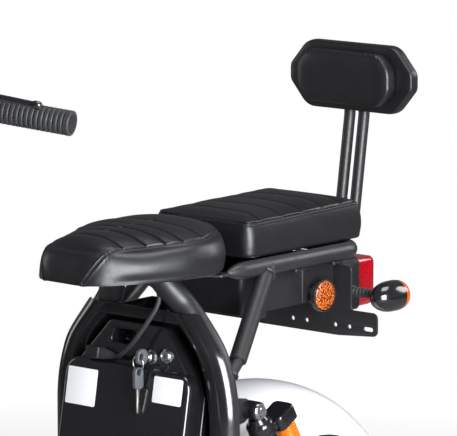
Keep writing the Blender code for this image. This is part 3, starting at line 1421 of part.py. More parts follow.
def battery_pack():
    """The battery: a proud front plate below, a stepped-back top with a hand hole, and its body."""
    half = BATTERY_HALF
    corners = [(-half, BATTERY_LOW), (half, BATTERY_LOW), (half, BATTERY_SHOULDER),
               (-half, BATTERY_SHOULDER)]
    front = plate("battery_pack", rounded(corners, [0.012, 0.012, 0.025, 0.025], 4), BATTERY_PLATE,
                  FACING_Y)
    front.data.transform(Matrix.Translation((0, BATTERY_PLATE / 2, 0)))
    inner = half - 0.004
    outline = rounded([
        (-inner, BATTERY_LOW + 0.004), (inner, BATTERY_LOW + 0.004), (inner, 0.002),
        (0.101, BATTERY_SHOULDER + 0.002),
        (0.053, BATTERY_HIGH), (-0.053, BATTERY_HIGH), (-0.101, BATTERY_SHOULDER + 0.002),
        (-inner, 0.002),
    ], [0.006, 0.006, 0.010, 0.010, 0.012, 0.012, 0.010, 0.010], 2)
    body = plate("battery_body", outline, BATTERY_DEPTH - BATTERY_RECESS, FACING_Y)
    body.data.transform(Matrix.Translation((0, (BATTERY_DEPTH + BATTERY_RECESS) / 2, 0)))
    hole = box("battery_hand_hole", (-0.031, BATTERY_RECESS - 0.01, 0.066),
               (0.022, BATTERY_RECESS + 0.030, 0.084))
    crease = box("battery_crease", (-0.018, -0.01, BATTERY_LOW - 0.01), (0.018, 0.0015, -0.075))
    leaned(soften(hole, 0.006, 2, 50.0))
    for piece in (front, body, crease):
        leaned(piece)
    cut(join(front, body), hole, crease)
    return finish(front, "gloss_black")


def battery_plug():
    """The charging plug that lies on the battery's ledge."""
    low = BATTERY_SHOULDER + 2 * GAP
    plug = box("battery_plug", (PLUG_X - 0.0225, -0.008, low),
               (PLUG_X + 0.0225, BATTERY_RECESS - GAP, low + 0.019))
    leaned(soften(plug, 0.003, 1, 50.0))
    start = leaned_point(PLUG_X + 0.020, 0.002, low + 0.0095)
    end = leaned_point(PLUG_X + 0.038, 0.002, low + 0.0095)
    relief = rod("plug_relief", start, end, 0.0055, 0.0042, sides=10)
    return finish(join(plug, relief), "satin_plastic")


def lead_path():
    start = leaned_point(PLUG_X + 0.0385, 0.002, BATTERY_SHOULDER + 2 * GAP + 0.0095)
    return [start, start + Vector((0.008, -0.0005, 0.001)), (0.000, 0.345, 0.552), (0.014, 0.346, 0.563),
            (0.028, 0.349, 0.577), (0.038, 0.353, 0.591), (0.044, 0.356, 0.606), (0.0465, 0.3565, 0.622),
            (0.046, 0.356, 0.638), (0.041, 0.353, 0.650), (0.032, 0.349, 0.656), (0.020, 0.346, 0.6585)]


def battery_lead():
    return finish(tube("battery_lead", lead_path(), LEAD_RADIUS, 2), "rubber")


def lock_barrel(name, x, z, out):
    """A lock barrel with a flange, standing on the battery's recess face."""
    face = BATTERY_RECESS - GAP
    barrel = rod(name, leaned_point(x, face, z), leaned_point(x, face - out, z), LOCK_RADIUS, sides=10)
    flange = rod(f"{name}_flange", leaned_point(x, face, z), leaned_point(x, face - 0.003, z),
                 LOCK_RADIUS * 1.28, sides=10)
    return join(barrel, flange)


def ignition_lock():
    """The barrel round the turning plug that carries the key."""
    barrel = lock_barrel("ignition_lock", IGNITION_X, IGNITION_Z, LOCK_OUT)
    face = BATTERY_RECESS - GAP - LOCK_OUT
    bore = rod("ignition_bore", leaned_point(IGNITION_X, face - 0.01, IGNITION_Z),
               leaned_point(IGNITION_X, face + LOCK_PLUG_DEPTH + GAP, IGNITION_Z),
               LOCK_PLUG_RADIUS + 2 * GAP, sides=10)
    return finish(cut(barrel, bore), "steel")


def battery_lock():
    """The lock beside the ignition, with an empty keyway."""
    barrel = lock_barrel("battery_lock", BATTERY_LOCK_X, BATTERY_LOCK_Z, LOCK_OUT * 0.6)
    face = BATTERY_RECESS - GAP - LOCK_OUT * 0.6
    slit = box("battery_keyway", (BATTERY_LOCK_X - 0.0012, face - 0.01, BATTERY_LOCK_Z - 0.005),
               (BATTERY_LOCK_X + 0.0012, face + 0.004, BATTERY_LOCK_Z + 0.005))
    return finish(cut(barrel, leaned(slit)), "steel")


def key_blank(name, half, head_length, blade_length):
    """A flat key in X and Z, its head above and its blade below the origin."""
    head = rounded([(-half, 0.001), (half, 0.001), (half, head_length), (-half, head_length)],
                   half * 0.74, 3)
    hole = circle(0.0, head_length - KEY_HOLE_IN, KEY_HOLE, 12)
    obj = plate(name, head, KEY_THICKNESS, FACING_Y, [hole])
    blade = box(f"{name}_blade", (-0.0040, -0.0009, -blade_length), (0.0040, 0.0009, 0.004))
    return join(obj, blade)


def key_hole_out():
    """How far the ignition key's hole stands in front of the battery's front plane."""
    return BATTERY_RECESS - GAP - LOCK_OUT - (KEY_HEAD - KEY_HOLE_IN)


def ignition_key():
    """The key in the ignition, with the plug it turns."""
    key = key_blank("ignition_key", KEY_HALF, KEY_HEAD, LOCK_PLUG_DEPTH * 0.5)
    face = BATTERY_RECESS - GAP - LOCK_OUT
    outward = Matrix(((0, 1, 0, IGNITION_X), (0, 0, -1, face), (-1, 0, 0, IGNITION_Z), (0, 0, 0, 1)))
    blade = key.modifiers[0].object
    for piece in (key, blade):
        piece.data.transform(outward)
        leaned(piece)
    plug = rod("ignition_plug", leaned_point(IGNITION_X, face - 0.001, IGNITION_Z),
               leaned_point(IGNITION_X, face + LOCK_PLUG_DEPTH, IGNITION_Z), LOCK_PLUG_RADIUS, sides=10)
    return finish(join(key, plug), "grey_plastic")


def ring_top():
    return leaned_point(IGNITION_X, key_hole_out(), IGNITION_Z)


def key_ring():
    """A wire ring through the ignition key's hole, hanging in X and Z."""
    middle = ring_top() - Vector((0, 0, RING_RADIUS))
    count = 20
    points = []
    for step in range(count):
        turn = 2 * pi * step / count
        points.append(middle + Vector((RING_RADIUS * sin(turn), 0, RING_RADIUS * cos(turn))))
    curve = bpy.data.curves.new("key_ring", "CURVE")
    curve.dimensions = "3D"
    curve.bevel_depth = RING_WIRE
    curve.bevel_resolution = 1
    spline = curve.splines.new("POLY")
    spline.use_cyclic_u = True
    spline.points.add(count - 1)
    for index, point in enumerate(points):
        spline.points[index].co = (*point, 1.0)
    return finish(solid_from_curve(add("key_ring", curve)), "steel")


def spare_key():
    """The key that hangs on the ring, its flat sides facing left and right."""
    key = key_blank("spare_key", SPARE_HALF, SPARE_HEAD, SPARE_BLADE)
    slack = KEY_HOLE - RING_WIRE - 3 * GAP
    hang_z = ring_top().z - 2 * RING_RADIUS - slack - (SPARE_HEAD - KEY_HOLE_IN)
    place = Matrix.Translation((IGNITION_X, ring_top().y, hang_z)) @ Matrix.Rotation(pi / 2, 4, "Z")
    for piece in (key, key.modifiers[0].object):
        piece.data.transform(place)
    return finish(key, "grey_plastic")


def swingarm():
    """Two arms on one pivot tube, the axle, the shock lugs, the caliper and the fender's stays."""
    inside = HOOP_HALF - RAIL_WIDTH / 2 - 2 * GAP
    base = rod("swingarm", (-inside, PIVOT_Y, RAIL_CENTRE_Z), (inside, PIVOT_Y, RAIL_CENTRE_Z),
               PIVOT_RADIUS, sides=10)
    pieces = []
    lean = atan2(AXLE_Z - RAIL_CENTRE_Z, REAR_AXLE_Y - PIVOT_Y)
    up = Vector((-sin(lean), cos(lean))) * ARM_HEIGHT / 2
    near = Vector((PIVOT_Y, RAIL_CENTRE_Z)) - Vector((cos(lean), sin(lean))) * 0.012
    far = Vector((REAR_AXLE_Y, AXLE_Z)) + Vector((cos(lean), sin(lean))) * 0.030
    top_z = RAIL_CENTRE_Z + (SHOCK_LOW_Y - PIVOT_Y) * tan(lean) + ARM_HEIGHT / 2
    lug_z = SHOCK_LOW_Z + 0.0135
    shape = rounded([tuple(near - up * 0.85), tuple(far - up), tuple(far + up),
                     (SHOCK_LOW_Y + 0.026, top_z + 0.007), (SHOCK_LOW_Y + 0.013, lug_z),
                     (SHOCK_LOW_Y - 0.013, lug_z),
                     (SHOCK_LOW_Y - 0.026, top_z - 0.003), tuple(near + up * 0.85)],
                    [0.016, 0.018, 0.014, 0.004, 0.008, 0.008, 0.004, 0.016], 2)
    arm_inner = ARM_X - ARM_THICKNESS / 2
    arm_outer = ARM_X + ARM_THICKNESS / 2
    for side in (-1, 1):
        pieces.append(plate(f"arm_{side}", shape, ARM_THICKNESS, standing_x(side * ARM_X)))
        reach = SHOCK_X + SHOCK_EYE_HALF + 0.008
        pieces.append(rod(f"shock_low_bolt_{side}", (side * ARM_X, SHOCK_LOW_Y, SHOCK_LOW_Z),
                          (side * reach, SHOCK_LOW_Y, SHOCK_LOW_Z), SHOCK_PIN, sides=10))
        pieces.append(rod(f"shock_low_spacer_{side}", (side * ARM_X, SHOCK_LOW_Y, SHOCK_LOW_Z),
                          (side * (SHOCK_X - SHOCK_EYE_HALF - 0.001), SHOCK_LOW_Y, SHOCK_LOW_Z), 0.0095,
                          sides=10))
        stay_y = REAR_AXLE_Y
        low = (side * (arm_outer - 0.0015), side * (arm_outer + 0.003))
        pieces.append(box(f"fender_stay_{side}", (min(low), stay_y - 0.012, AXLE_Z - 0.005),
                          (max(low), stay_y + 0.012, AXLE_Z + FENDER_RADIUS - FENDER_DROP - 0.006)))
        pieces.append(rod(f"axle_spacer_{side}", (side * (HUB_HALF + 0.001), REAR_AXLE_Y, AXLE_Z),
                          (side * ARM_X, REAR_AXLE_Y, AXLE_Z), 0.013, sides=14))
        pieces.append(rod(f"axle_nut_{side}", (side * (arm_outer - 0.001), REAR_AXLE_Y, AXLE_Z),
                          (side * (arm_outer + 0.011), REAR_AXLE_Y, AXLE_Z), 0.014, sides=6))
    pieces.append(rod("rear_axle", (-arm_outer - 0.018, REAR_AXLE_Y, AXLE_Z),
                      (arm_outer + 0.018, REAR_AXLE_Y, AXLE_Z),
                      AXLE_RADIUS, sides=10))
    hold_y = REAR_AXLE_Y - 0.079
    hold_z = RAIL_CENTRE_Z + (hold_y - PIVOT_Y) * tan(lean)
    pieces.append(caliper("rear_caliper", hold_y, hold_z, ARM_X))
    join(base, *pieces)
    bore = rod("pivot_bore", (-0.2, PIVOT_Y, RAIL_CENTRE_Z), (0.2, PIVOT_Y, RAIL_CENTRE_Z),
               AXLE_RADIUS + 0.0008, sides=10)
    cut(base, bore, disc_slot("rear_disc_slot", (0.0, REAR_AXLE_Y, AXLE_Z)))
    return finish(base, "black_coat")


def shock_line():
    """The upper eye's place and the angle that turns local Z up along the left shock."""
    rise, run = SHOCK_TOP_Z - SHOCK_LOW_Z, SHOCK_LOW_Y - SHOCK_TOP_Y
    return (SHOCK_X, SHOCK_TOP_Y, SHOCK_TOP_Z), atan2(run, rise), hypot(rise, run)


def shock_body(name):
    """The damper in its own places: upper eye, body, collar, tube and the reservoir's bridge."""
    eye = rod(name, (-SHOCK_EYE_HALF, 0, 0), (SHOCK_EYE_HALF, 0, 0), 0.014, sides=10)
    profile = [(0.0, -0.012), (0.013, -0.012), (SHOCK_BODY_RADIUS, -0.024),
               (SHOCK_BODY_RADIUS, SHOCK_COLLAR + 0.012),
               (SHOCK_COLLAR_RADIUS, SHOCK_COLLAR + 0.012), (SHOCK_COLLAR_RADIUS, SHOCK_COLLAR),
               (0.0135, SHOCK_COLLAR),
               (0.0135, SHOCK_TUBE_END), (0.0, SHOCK_TUBE_END)]
    body = turned(f"{name}_turned", profile, 12, along=None)
    bridge = box(f"{name}_bridge", (-0.010, 0.0, -0.030), (0.010, RESERVOIR_OUT, -0.014))
    cap = turned(f"{name}_cap",
                 [(0.0, -0.034), (RESERVOIR_RADIUS + 0.0015, -0.034), (RESERVOIR_RADIUS + 0.0015, -0.012),
                                 (RESERVOIR_RADIUS - 0.002, -0.008), (0.0, -0.008)], 12, along=None)
    cap.location = (0.0, RESERVOIR_OUT, 0.0)
    join(eye, body, bridge, cap)
    pin = rod(f"{name}_pin_hole", (-0.05, 0, 0), (0.05, 0, 0), SHOCK_PIN + 0.0006, sides=10)
    bore = rod(f"{name}_bore", (0, 0, SHOCK_TUBE_END - 0.02), (0, 0, SHOCK_TUBE_END + SHOCK_BORE),
               0.0078, sides=10)
    cut(eye, pin, bore)
    return finish(eye, "gloss_black")


def shock_reservoir(name):
    """The ribbed canister beside the damper."""
    top, end = -0.034 - GAP, -0.094
    profile = [(0.0, top), (RESERVOIR_RADIUS, top)]
    ribs = 4
    pitch = (end - top) * 0.8 / ribs
    for index in range(ribs):
        at = top + pitch * (index + 0.35)
        profile += [(RESERVOIR_RADIUS, at), (RESERVOIR_RADIUS - 0.0018, at + pitch * 0.25),
                    (RESERVOIR_RADIUS, at + pitch * 0.5)]
    profile += [(RESERVOIR_RADIUS, end), (0.0, end)]
    obj = turned(name, profile, 14, along=None)
    return finish(obj, "orange")


def shock_rod(name):
    """The rod that slides in the damper, its spring seat and its lower eye."""
    length = shock_line()[2]
    eye = rod(name, (-SHOCK_EYE_HALF, 0, -length), (SHOCK_EYE_HALF, 0, -length), 0.0135, sides=10)
    shaft = rod(f"{name}_shaft", (0, 0, -length + 0.008), (0, 0, SHOCK_ROD_TOP), 0.0065, sides=10)
    seat = turned(f"{name}_seat",
                  [(0.0, SHOCK_SEAT - 0.012), (0.014, SHOCK_SEAT - 0.012),
                   (SHOCK_COLLAR_RADIUS, SHOCK_SEAT - 0.005),
                                   (SHOCK_COLLAR_RADIUS, SHOCK_SEAT), (0.0, SHOCK_SEAT)], 12, along=None)
    join(eye, shaft, seat)
    pin = rod(f"{name}_pin_hole", (-0.05, 0, -length), (0.05, 0, -length), SHOCK_PIN + 0.0010, sides=10)
    return finish(cut(eye, pin), "gloss_black")


def spring_points():
    """The helix of the spring, from its seat up to the collar."""
    low, high = SHOCK_SEAT + SPRING_WIRE + GAP, SHOCK_COLLAR - SPRING_WIRE - GAP
    count = SPRING_CURLS * SPRING_STEPS
    points = []
    for step in range(count + 1):
        turn = 2 * pi * step / SPRING_STEPS
        points.append(Vector((SPRING_RADIUS * cos(turn), SPRING_RADIUS * sin(turn),
                              low + (high - low) * step / count)))
    return points


def shock_spring(name):
    return finish(tube(name, spring_points(), SPRING_WIRE, 1), "orange")


def spring_clearance():
    """The least gap between neighbouring curls of the spring."""
    points = spring_points()
    least = min((points[i] - points[j]).length
                for i in range(len(points)) for j in range(i + SPRING_STEPS // 2, len(points)))
    return least - 2 * SPRING_WIRE


def side_stand():
    """The folding leg on the left rail, pointing back when it is up."""
    near = HOOP_HALF + RAIL_WIDTH / 2 + 0.0012
    far = near + STAND_OUT
    eye = rod("side_stand", (near, STAND_Y, STAND_Z), (far, STAND_Y, STAND_Z), 0.013, sides=10)
    middle = (near + far) / 2
    knee = (middle + 0.004, STAND_Y + STAND_LENGTH * 0.6, STAND_Z)
    tip = (middle + 0.012, STAND_Y + STAND_LENGTH, STAND_Z - 0.004)
    leg = tube("stand_leg", [(middle, STAND_Y + 0.004, STAND_Z), knee, tip], STAND_RADIUS, 3)
    foot = box("stand_foot", (tip[0] - 0.010, tip[1] - 0.010, tip[2] - 0.018),
               (tip[0] + 0.012, tip[1] + 0.004, tip[2] + 0.018))
    join(eye, leg, soften(foot, 0.002))
    hole = rod("stand_hole", (near - 0.01, STAND_Y, STAND_Z), (far + 0.01, STAND_Y, STAND_Z),
               STAND_PIN + 0.0007, sides=10)
    return finish(cut(eye, hole), "black_coat")


def display():
    """A small round display between the risers, on the upper yoke."""
    low = UPPER_YOKE_AT + YOKE_THICKNESS / 2 + 0.006 + GAP
    obj = turned("display",
                 [(0.0, low), (0.010, low), (0.010, low + 0.008), (0.021, low + 0.014),
                  (0.022, low + 0.026),
                             (0.019, low + 0.028), (0.0, low + 0.028)], 20, along=None)
    return finish(obj, "satin_plastic")


def button_place():
    """The start button's place on the right switch housing, and the way it sticks out."""
    end, outward = grip_axis()
    mirror = Vector((-1, 1, 1))
    middle = (end - outward * (GRIP_LENGTH + 0.006 + SWITCH_LENGTH / 2)) * mirror
    outward = outward * mirror
    back = outward.cross(Vector((0, 0, 1))).normalized()
    back = back if back.y > 0 else -back
    return middle, back


def button_well():
    middle, back = button_place()
    return rod("button_well", middle + back * 0.0145, middle + back * 0.05, BUTTON_RADIUS + GAP, sides=10)


def start_button():
    obj = rod("start_button", (0, 0, -BUTTON_LENGTH), (0, 0, 0), BUTTON_RADIUS, sides=10)
    return finish(obj, "red_lens")


def at_pivot(obj, empty, pivot):
    """Hangs a piece modelled in its grandparent's places on an empty at its pivot."""
    hang(obj, empty, local=True)
    for piece in [obj] + [modifier.object for modifier in obj.modifiers if modifier.type == "BOOLEAN"]:
        piece.location = -Vector(pivot)
    return obj


def build_static():
    """Everything that stands still with the frame."""
    for make in (front_frame, floor_frame, seat_hoop, rear_rack, seat_plate, saddle, saddle_pan, rear_pad,
                 backrest, backrest_posts, tail_box, plate_bracket, tail_light, deck, battery_case,
                 lower_cover, battery_pack, battery_plug, battery_lead, ignition_lock, battery_lock):
        make()
    stalk, lens = rear_signal(1, "left")
    mirrored(stalk, "rear_signal_right")
    mirrored(lens, "rear_signal_lens_right")
    for side, word in ((1, "left"), (-1, "right")):
        side_reflector(side, word)


def build_steering():
    """The yokes with the handlebar and light, and below them the sliding legs with the wheel."""
    steering = frame("steering", steered(0, 0, 0), (-RAKE, 0.0, 0.0))
    in_steering(fork_yoke(), steering)
    in_steering(display(), steering)
    bar = handlebar()
    cut(bar, button_well())
    lever = brake_lever("brake_lever_left")
    other = mirrored(lever, "brake_lever_right")
    perch = lever_perch("left_perch")
    other_perch = mirrored(perch, "right_perch")
    join(bar, perch, other_perch)
    in_steering(bar, steering)
    pivot = lever_pivot()[0]
    at_pivot(lever, frame("left_lever_pivot", pivot, parent=steering), pivot)
    pivot = pivot * Vector((-1, 1, 1))
    at_pivot(other, frame("right_lever_pivot", pivot, parent=steering), pivot)
    in_steering(grip("grip_left", 1, GAP), steering)
    in_steering(grip("throttle_grip", -1, 2 * GAP), steering)
    middle, back = button_place()
    button = start_button()
    button.rotation_mode = "QUATERNION"
    button.rotation_quaternion = back.to_track_quat("Z", "Y")
    button.location = middle + back * (BAR_RADIUS + 0.0135)
    in_steering(button, steering)
    for piece in headlight():
        hang(piece, steering)
    lower = frame("fork_travel", (0.0, 0.0, 0.0), parent=steering)
    in_steering(fork_sliders(), lower)
    axle = (0.0, FRONT_AXLE_Y, AXLE_Z)
    hang(fender("front_fender", axle, FRONT_FENDER_HALF, FRONT_FENDER_DROP, radians(-50.0),
                radians(62.0), steps=8), lower)
    wheel = frame("front_wheel", (0.0, -FORK_OFFSET, 0.0), parent=lower)
    hang(tyre("front_tyre", axle), wheel)
    hang(rim("front_rim", axle, 0.034, 0.0120, 5), wheel)


def build_rear():
    """The swing arm with its fender and wheel."""
    pivot = frame("swing", (0.0, PIVOT_Y, RAIL_CENTRE_Z))
    hang(swingarm(), pivot)
    axle = (0.0, REAR_AXLE_Y, AXLE_Z)
    hang(fender("rear_fender", axle, FENDER_HALF, FENDER_DROP, radians(-38.0), radians(75.0)), pivot)
    wheel = frame("rear_wheel", (0.0, REAR_AXLE_Y - PIVOT_Y, AXLE_Z - RAIL_CENTRE_Z), parent=pivot)
    hang(tyre("rear_tyre", axle), wheel)
    hang(rim("rear_rim", axle, 0.060, 0.0160), wheel)


def build_shocks():
    """Both shocks, each modelled about its upper eye and turned to its line."""
    place, lean, _ = shock_line()
    for side, word in ((1, "left"), (-1, "right")):
        spot = (side * place[0], place[1], place[2])
        top = frame(f"shock_{word}", spot, (lean, 0.0, 0.0))
        bottom = frame(f"shock_travel_{word}", (0.0, 0.0, 0.0), parent=top)
        hang(shock_body(f"shock_body_{word}"), top, local=True)
        canister = shock_reservoir(f"shock_reservoir_{word}")
        canister.location = (0.0, RESERVOIR_OUT, 0.0)
        hang(canister, top, local=True)
        hang(shock_spring(f"shock_spring_{word}"), top, local=True)
        hang(shock_rod(f"shock_rod_{word}"), bottom, local=True)


def build_keys():
    """The ignition key and, on the same line, the ring with the spare key."""
    centre = leaned_point(IGNITION_X, BATTERY_RECESS, IGNITION_Z)
    hang(ignition_key(), frame("ignition_turn", centre, (-CASE_LEAN, 0.0, 0.0)))
    ring = frame("ring_swing", ring_top(), (-CASE_LEAN, 0.0, 0.0))
    hang(key_ring(), ring)
    hang(spare_key(), ring)


def build_stand():
    stand = frame("stand_pivot", (HOOP_HALF + RAIL_WIDTH / 2, STAND_Y, STAND_Z))
    hang(side_stand(), stand)


build_static()
build_steering()
build_rear()
build_shocks()
build_keys()
build_stand()

print(f"least gap between the spring's curls: {spring_clearance() * 1000:.2f} mm")
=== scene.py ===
"""The looks of the electric scooter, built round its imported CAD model."""

import json
from math import asin, atan2, cos, hypot, pi, radians, sin, sqrt, tan

import bmesh
import bpy
import numpy as np
from mathutils import Matrix, Vector
from mathutils.kdtree import KDTree
from mathutils.noise import noise as smooth_noise

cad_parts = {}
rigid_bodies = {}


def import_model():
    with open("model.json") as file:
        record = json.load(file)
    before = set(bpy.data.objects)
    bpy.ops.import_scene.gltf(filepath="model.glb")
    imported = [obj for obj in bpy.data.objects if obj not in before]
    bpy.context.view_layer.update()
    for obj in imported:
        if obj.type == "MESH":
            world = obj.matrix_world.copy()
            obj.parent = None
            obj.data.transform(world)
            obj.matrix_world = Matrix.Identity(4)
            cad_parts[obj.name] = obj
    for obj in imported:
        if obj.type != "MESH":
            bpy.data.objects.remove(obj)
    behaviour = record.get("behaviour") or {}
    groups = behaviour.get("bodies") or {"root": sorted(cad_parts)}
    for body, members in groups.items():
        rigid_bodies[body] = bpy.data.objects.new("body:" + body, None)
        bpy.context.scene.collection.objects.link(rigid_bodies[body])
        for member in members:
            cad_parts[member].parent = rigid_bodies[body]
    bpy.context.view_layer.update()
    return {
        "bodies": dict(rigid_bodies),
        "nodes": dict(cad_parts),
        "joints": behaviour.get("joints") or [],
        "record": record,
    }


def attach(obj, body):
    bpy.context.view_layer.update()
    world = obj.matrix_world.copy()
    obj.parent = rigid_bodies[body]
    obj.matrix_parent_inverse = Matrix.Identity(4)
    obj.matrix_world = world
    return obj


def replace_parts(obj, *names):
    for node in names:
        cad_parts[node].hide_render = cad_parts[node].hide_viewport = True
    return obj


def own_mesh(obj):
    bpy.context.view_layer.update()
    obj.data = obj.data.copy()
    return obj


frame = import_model()
NODES = frame["nodes"]

# The camera, from the photograph: its angles, its lens and the point that its pixel shows
CAMERA_AZIMUTH = radians(41.0)
CAMERA_ELEVATION = radians(9.0)
FOCAL_PIXELS = 4000.0
IMAGE_WIDTH = 457
IMAGE_CENTRE = (228.5, 218.0)
ANCHOR = Vector((0.0, 0.317, 0.653))
ANCHOR_PIXEL = (112.0, 287.0)
ANCHOR_DEPTH = 5.714
SENSOR = 36.0

# Sizes in metres, most of them the CAD source's own
HOOP_RADIUS = 0.019
HOOP_HALF = 0.149
HOOP_Y = 0.395
HOOP_FOOT_Z = 0.1833
HOOP_ARC_Z = 0.460
HOOP_ARC_RADIUS = 0.225
HOOP_LEAN_FROM = 0.615
HOOP_LEAN = 13.0
RACK_RADIUS = 0.0125
RACK_HALF = 0.100
RACK_Z = 0.666
RACK_TIP_Y = 0.452
RACK_REAR_Y = 0.751
RACK_CORNER = 0.034
RACK_TAPER = 0.035
STRUT_RADIUS = 0.013
STRUT_REACH = 0.036
STRUT_TOP_Y = 0.543
STRUT_FOOT_Z = 0.534
CASE_LEAN = radians(10.0)
CASE_TOP_Z = 0.617
CASE_BOTTOM_Z = 0.330
CASE_WALL = 0.003
CASE_DEPTH = 0.088
CASE_LIP_TURN = radians(70.0)
CASE_FRONT_Y = 0.3722
BROW_LOW_Z = 0.600
BATTERY_FRONT_Y = 0.342
BATTERY_FRONT_Z = 0.500
BATTERY_HALF = 0.121
BATTERY_LOW = -0.158
BATTERY_SHOULDER = 0.0365
BATTERY_HIGH = 0.097
BATTERY_PLATE = 0.0275
BATTERY_RECESS = 0.0125
BATTERY_DEPTH = 0.084
GAP = 0.0003
LEAD_RADIUS = 0.0035
SADDLE_LOW_Z = 0.672
PAD_HALF = 0.090
PAD_LOW_Z = 0.6790
REST_Y = 0.856
REST_CENTRE_Z = 0.906
REST_HALF = 0.122
REST_HALF_HEIGHT = 0.053
SHOCK_X = 0.1555
SHOCK_TOP = (0.446, 0.474)
SHOCK_LOW = (0.576, 0.252)
AXLE_Z = 0.21927
REAR_AXLE_Y = 0.625
FRONT_AXLE_Y = -0.660
TYRE_RADIUS = 0.2195
UPPER_YOKE_AT = 0.740
LOWER_YOKE_AT = 0.560
YOKE_THICKNESS = 0.022
RISER_HEIGHT = 0.050
BAR_RISE = 0.090
BAR_HALF_WIDTH = 0.350
BAR_SWEEP = 0.100
GRIP_LENGTH = 0.125
SWITCH_LENGTH = 0.030
PERCH_HALF = 0.011
LEVER_OFFSET = 0.030
SLIDER_TOP = 0.330
STEM_RADIUS = 0.0155
FORK_HALF = 0.132
FORK_OFFSET = 0.030
STANCHION_RADIUS = 0.016
SLIDER_RADIUS = 0.0215
FORK_TRAVEL = 0.040
AXLE_RADIUS = 0.008
BAR_RADIUS = 0.0115
RISER_X = 0.035
LEVER_THICKNESS = 0.008
LEVER_PIN = 0.003
LEVER_SHORT = 0.012
LEVER_BOW = 0.034
LEVER_HALF_WIDTH = 0.0085
HEADLIGHT_DEPTH = 0.088
HEADLIGHT_RADIUS = 0.075
HEADLIGHT_AHEAD = -0.1288
HEADLIGHT_AT = 0.6014
MAIN_TUBE_Y = -0.290
FLOOR_FRONT_Y = -0.215
CROSS_RADIUS = 0.014
PIVOT_Y = 0.385
DECK_HALF = 0.172
DECK_FRONT_Y = -0.190
DECK_REAR_Y = 0.355
STAND_Y = 0.060
STAND_Z = 0.150
RAKE = radians(27.0)
RAIL_Z = 0.165
FENDER_RADIUS = 0.245
RAIL_HALF = 0.018
LUG_X = HOOP_HALF + RAIL_HALF
DECK_THICKNESS = 0.008
DECK_TOP_Z = RAIL_Z + RAIL_HALF + GAP + DECK_THICKNESS
ARM_X = 0.1205
ARM_HALF = 0.0065
SHELL_Y = REST_Y + 0.0115
BRACKET_Y = 0.736
BEHIND_BRACKET_Y = 0.7378
LAMP_Z = 0.600
FORK_OVERLAP = 0.130
FRONT_FENDER_HALF = 0.108
FRONT_DROP = 0.042

SIDES = ((1, "left"), (-1, "right"))
FACING_Y = Matrix(((1, 0, 0, 0), (0, 0, -1, 0), (0, 1, 0, 0), (0, 0, 0, 1)))
FACING_X = Matrix(((0, 0, 1, 0), (1, 0, 0, 0), (0, 1, 0, 0), (0, 0, 0, 1)))
TO_X = Matrix.Rotation(pi / 2, 4, "Y")
STEER = (Matrix.Translation((0.0, FRONT_AXLE_Y + FORK_OFFSET * cos(RAKE),
                             AXLE_Z - FORK_OFFSET * sin(RAKE))) @ Matrix.Rotation(-RAKE, 4, "X"))


# ---- Materials


def link(tree, source, target):
    tree.links.new(source, target)


def shader_node(tree, kind, **values):
    """A new node; values set its properties or, with a space for each underscore, its inputs."""
    node = tree.nodes.new(kind)
    for name, value in values.items():
        if hasattr(node, name):
            setattr(node, name, value)
        else:
            node.inputs[name.replace("_", " ")].default_value = value
    return node


def new_material(name, colour, roughness, metallic=0.0, **sockets):
    """A material with its Principled shader; sockets are further inputs of that shader."""
    made = bpy.data.materials.new(name)
    made.use_nodes = True
    tree = made.node_tree
    shader = tree.nodes["Principled BSDF"]
    shader.inputs["Base Color"].default_value = (*colour, 1.0)
    shader.inputs["Roughness"].default_value = roughness
    shader.inputs["Metallic"].default_value = metallic
    for socket, value in sockets.items():
        shader.inputs[socket.replace("_", " ")].default_value = value
    made.diffuse_color = (*colour, 1.0)
    return made, tree, shader


def place_in(tree, stretch=(1.0, 1.0, 1.0)):
    """The object's own places, which are the frame's metres, stretched per axis."""
    coords = shader_node(tree, "ShaderNodeTexCoord")
    mapping = shader_node(tree, "ShaderNodeMapping")
    mapping.inputs["Scale"].default_value = stretch
    link(tree, coords.outputs["Object"], mapping.inputs["Vector"])
    return mapping.outputs["Vector"]


def cloud(tree, place, size, detail=3.0):
    """Soft noise whose features are about `size` metres."""
    node = shader_node(tree, "ShaderNodeTexNoise", Scale=1.0 / size, Detail=detail)
    link(tree, place, node.inputs["Vector"])
    return node.outputs["Fac"]


def cells(tree, place, size, feature="DISTANCE_TO_EDGE", output="Distance"):
    node = shader_node(tree, "ShaderNodeTexVoronoi", feature=feature, Scale=1.0 / size)
    link(tree, place, node.inputs["Vector"])
    return node.outputs[output]


def between(tree, value, low, high, start=0.3, end=0.7):
    """The value, spread from start..end to low..high."""
    node = shader_node(tree, "ShaderNodeMapRange")
    for name, number in (("From Min", start), ("From Max", end), ("To Min", low), ("To Max", high)):
        node.inputs[name].default_value = number
    link(tree, value, node.inputs["Value"])
    return node.outputs["Result"]


def blend_colours(tree, value, first, second):
    node = shader_node(tree, "ShaderNodeMix", data_type="RGBA")
    colours = [socket for socket in node.inputs if socket.type == "RGBA"]
    colours[0].default_value = (*first, 1.0)
    colours[1].default_value = (*second, 1.0)
    link(tree, value, node.inputs["Factor"])
    return [socket for socket in node.outputs if socket.type == "RGBA"][0]


def added(tree, first, second, share=1.0):
    """The first value plus a share of the second."""
    node = shader_node(tree, "ShaderNodeMath", operation="MULTIPLY_ADD")
    link(tree, second, node.inputs[0])
    node.inputs[1].default_value = share
    link(tree, first, node.inputs[2])
    return node.outputs[0]


def raise_by(tree, shader, height, distance, strength=1.0):
    """Relief on a shader's surface, `distance` metres high."""
    node = shader_node(tree, "ShaderNodeBump", Strength=strength, Distance=distance)
    link(tree, height, node.inputs["Height"])
    link(tree, node.outputs["Normal"], shader.inputs["Normal"])


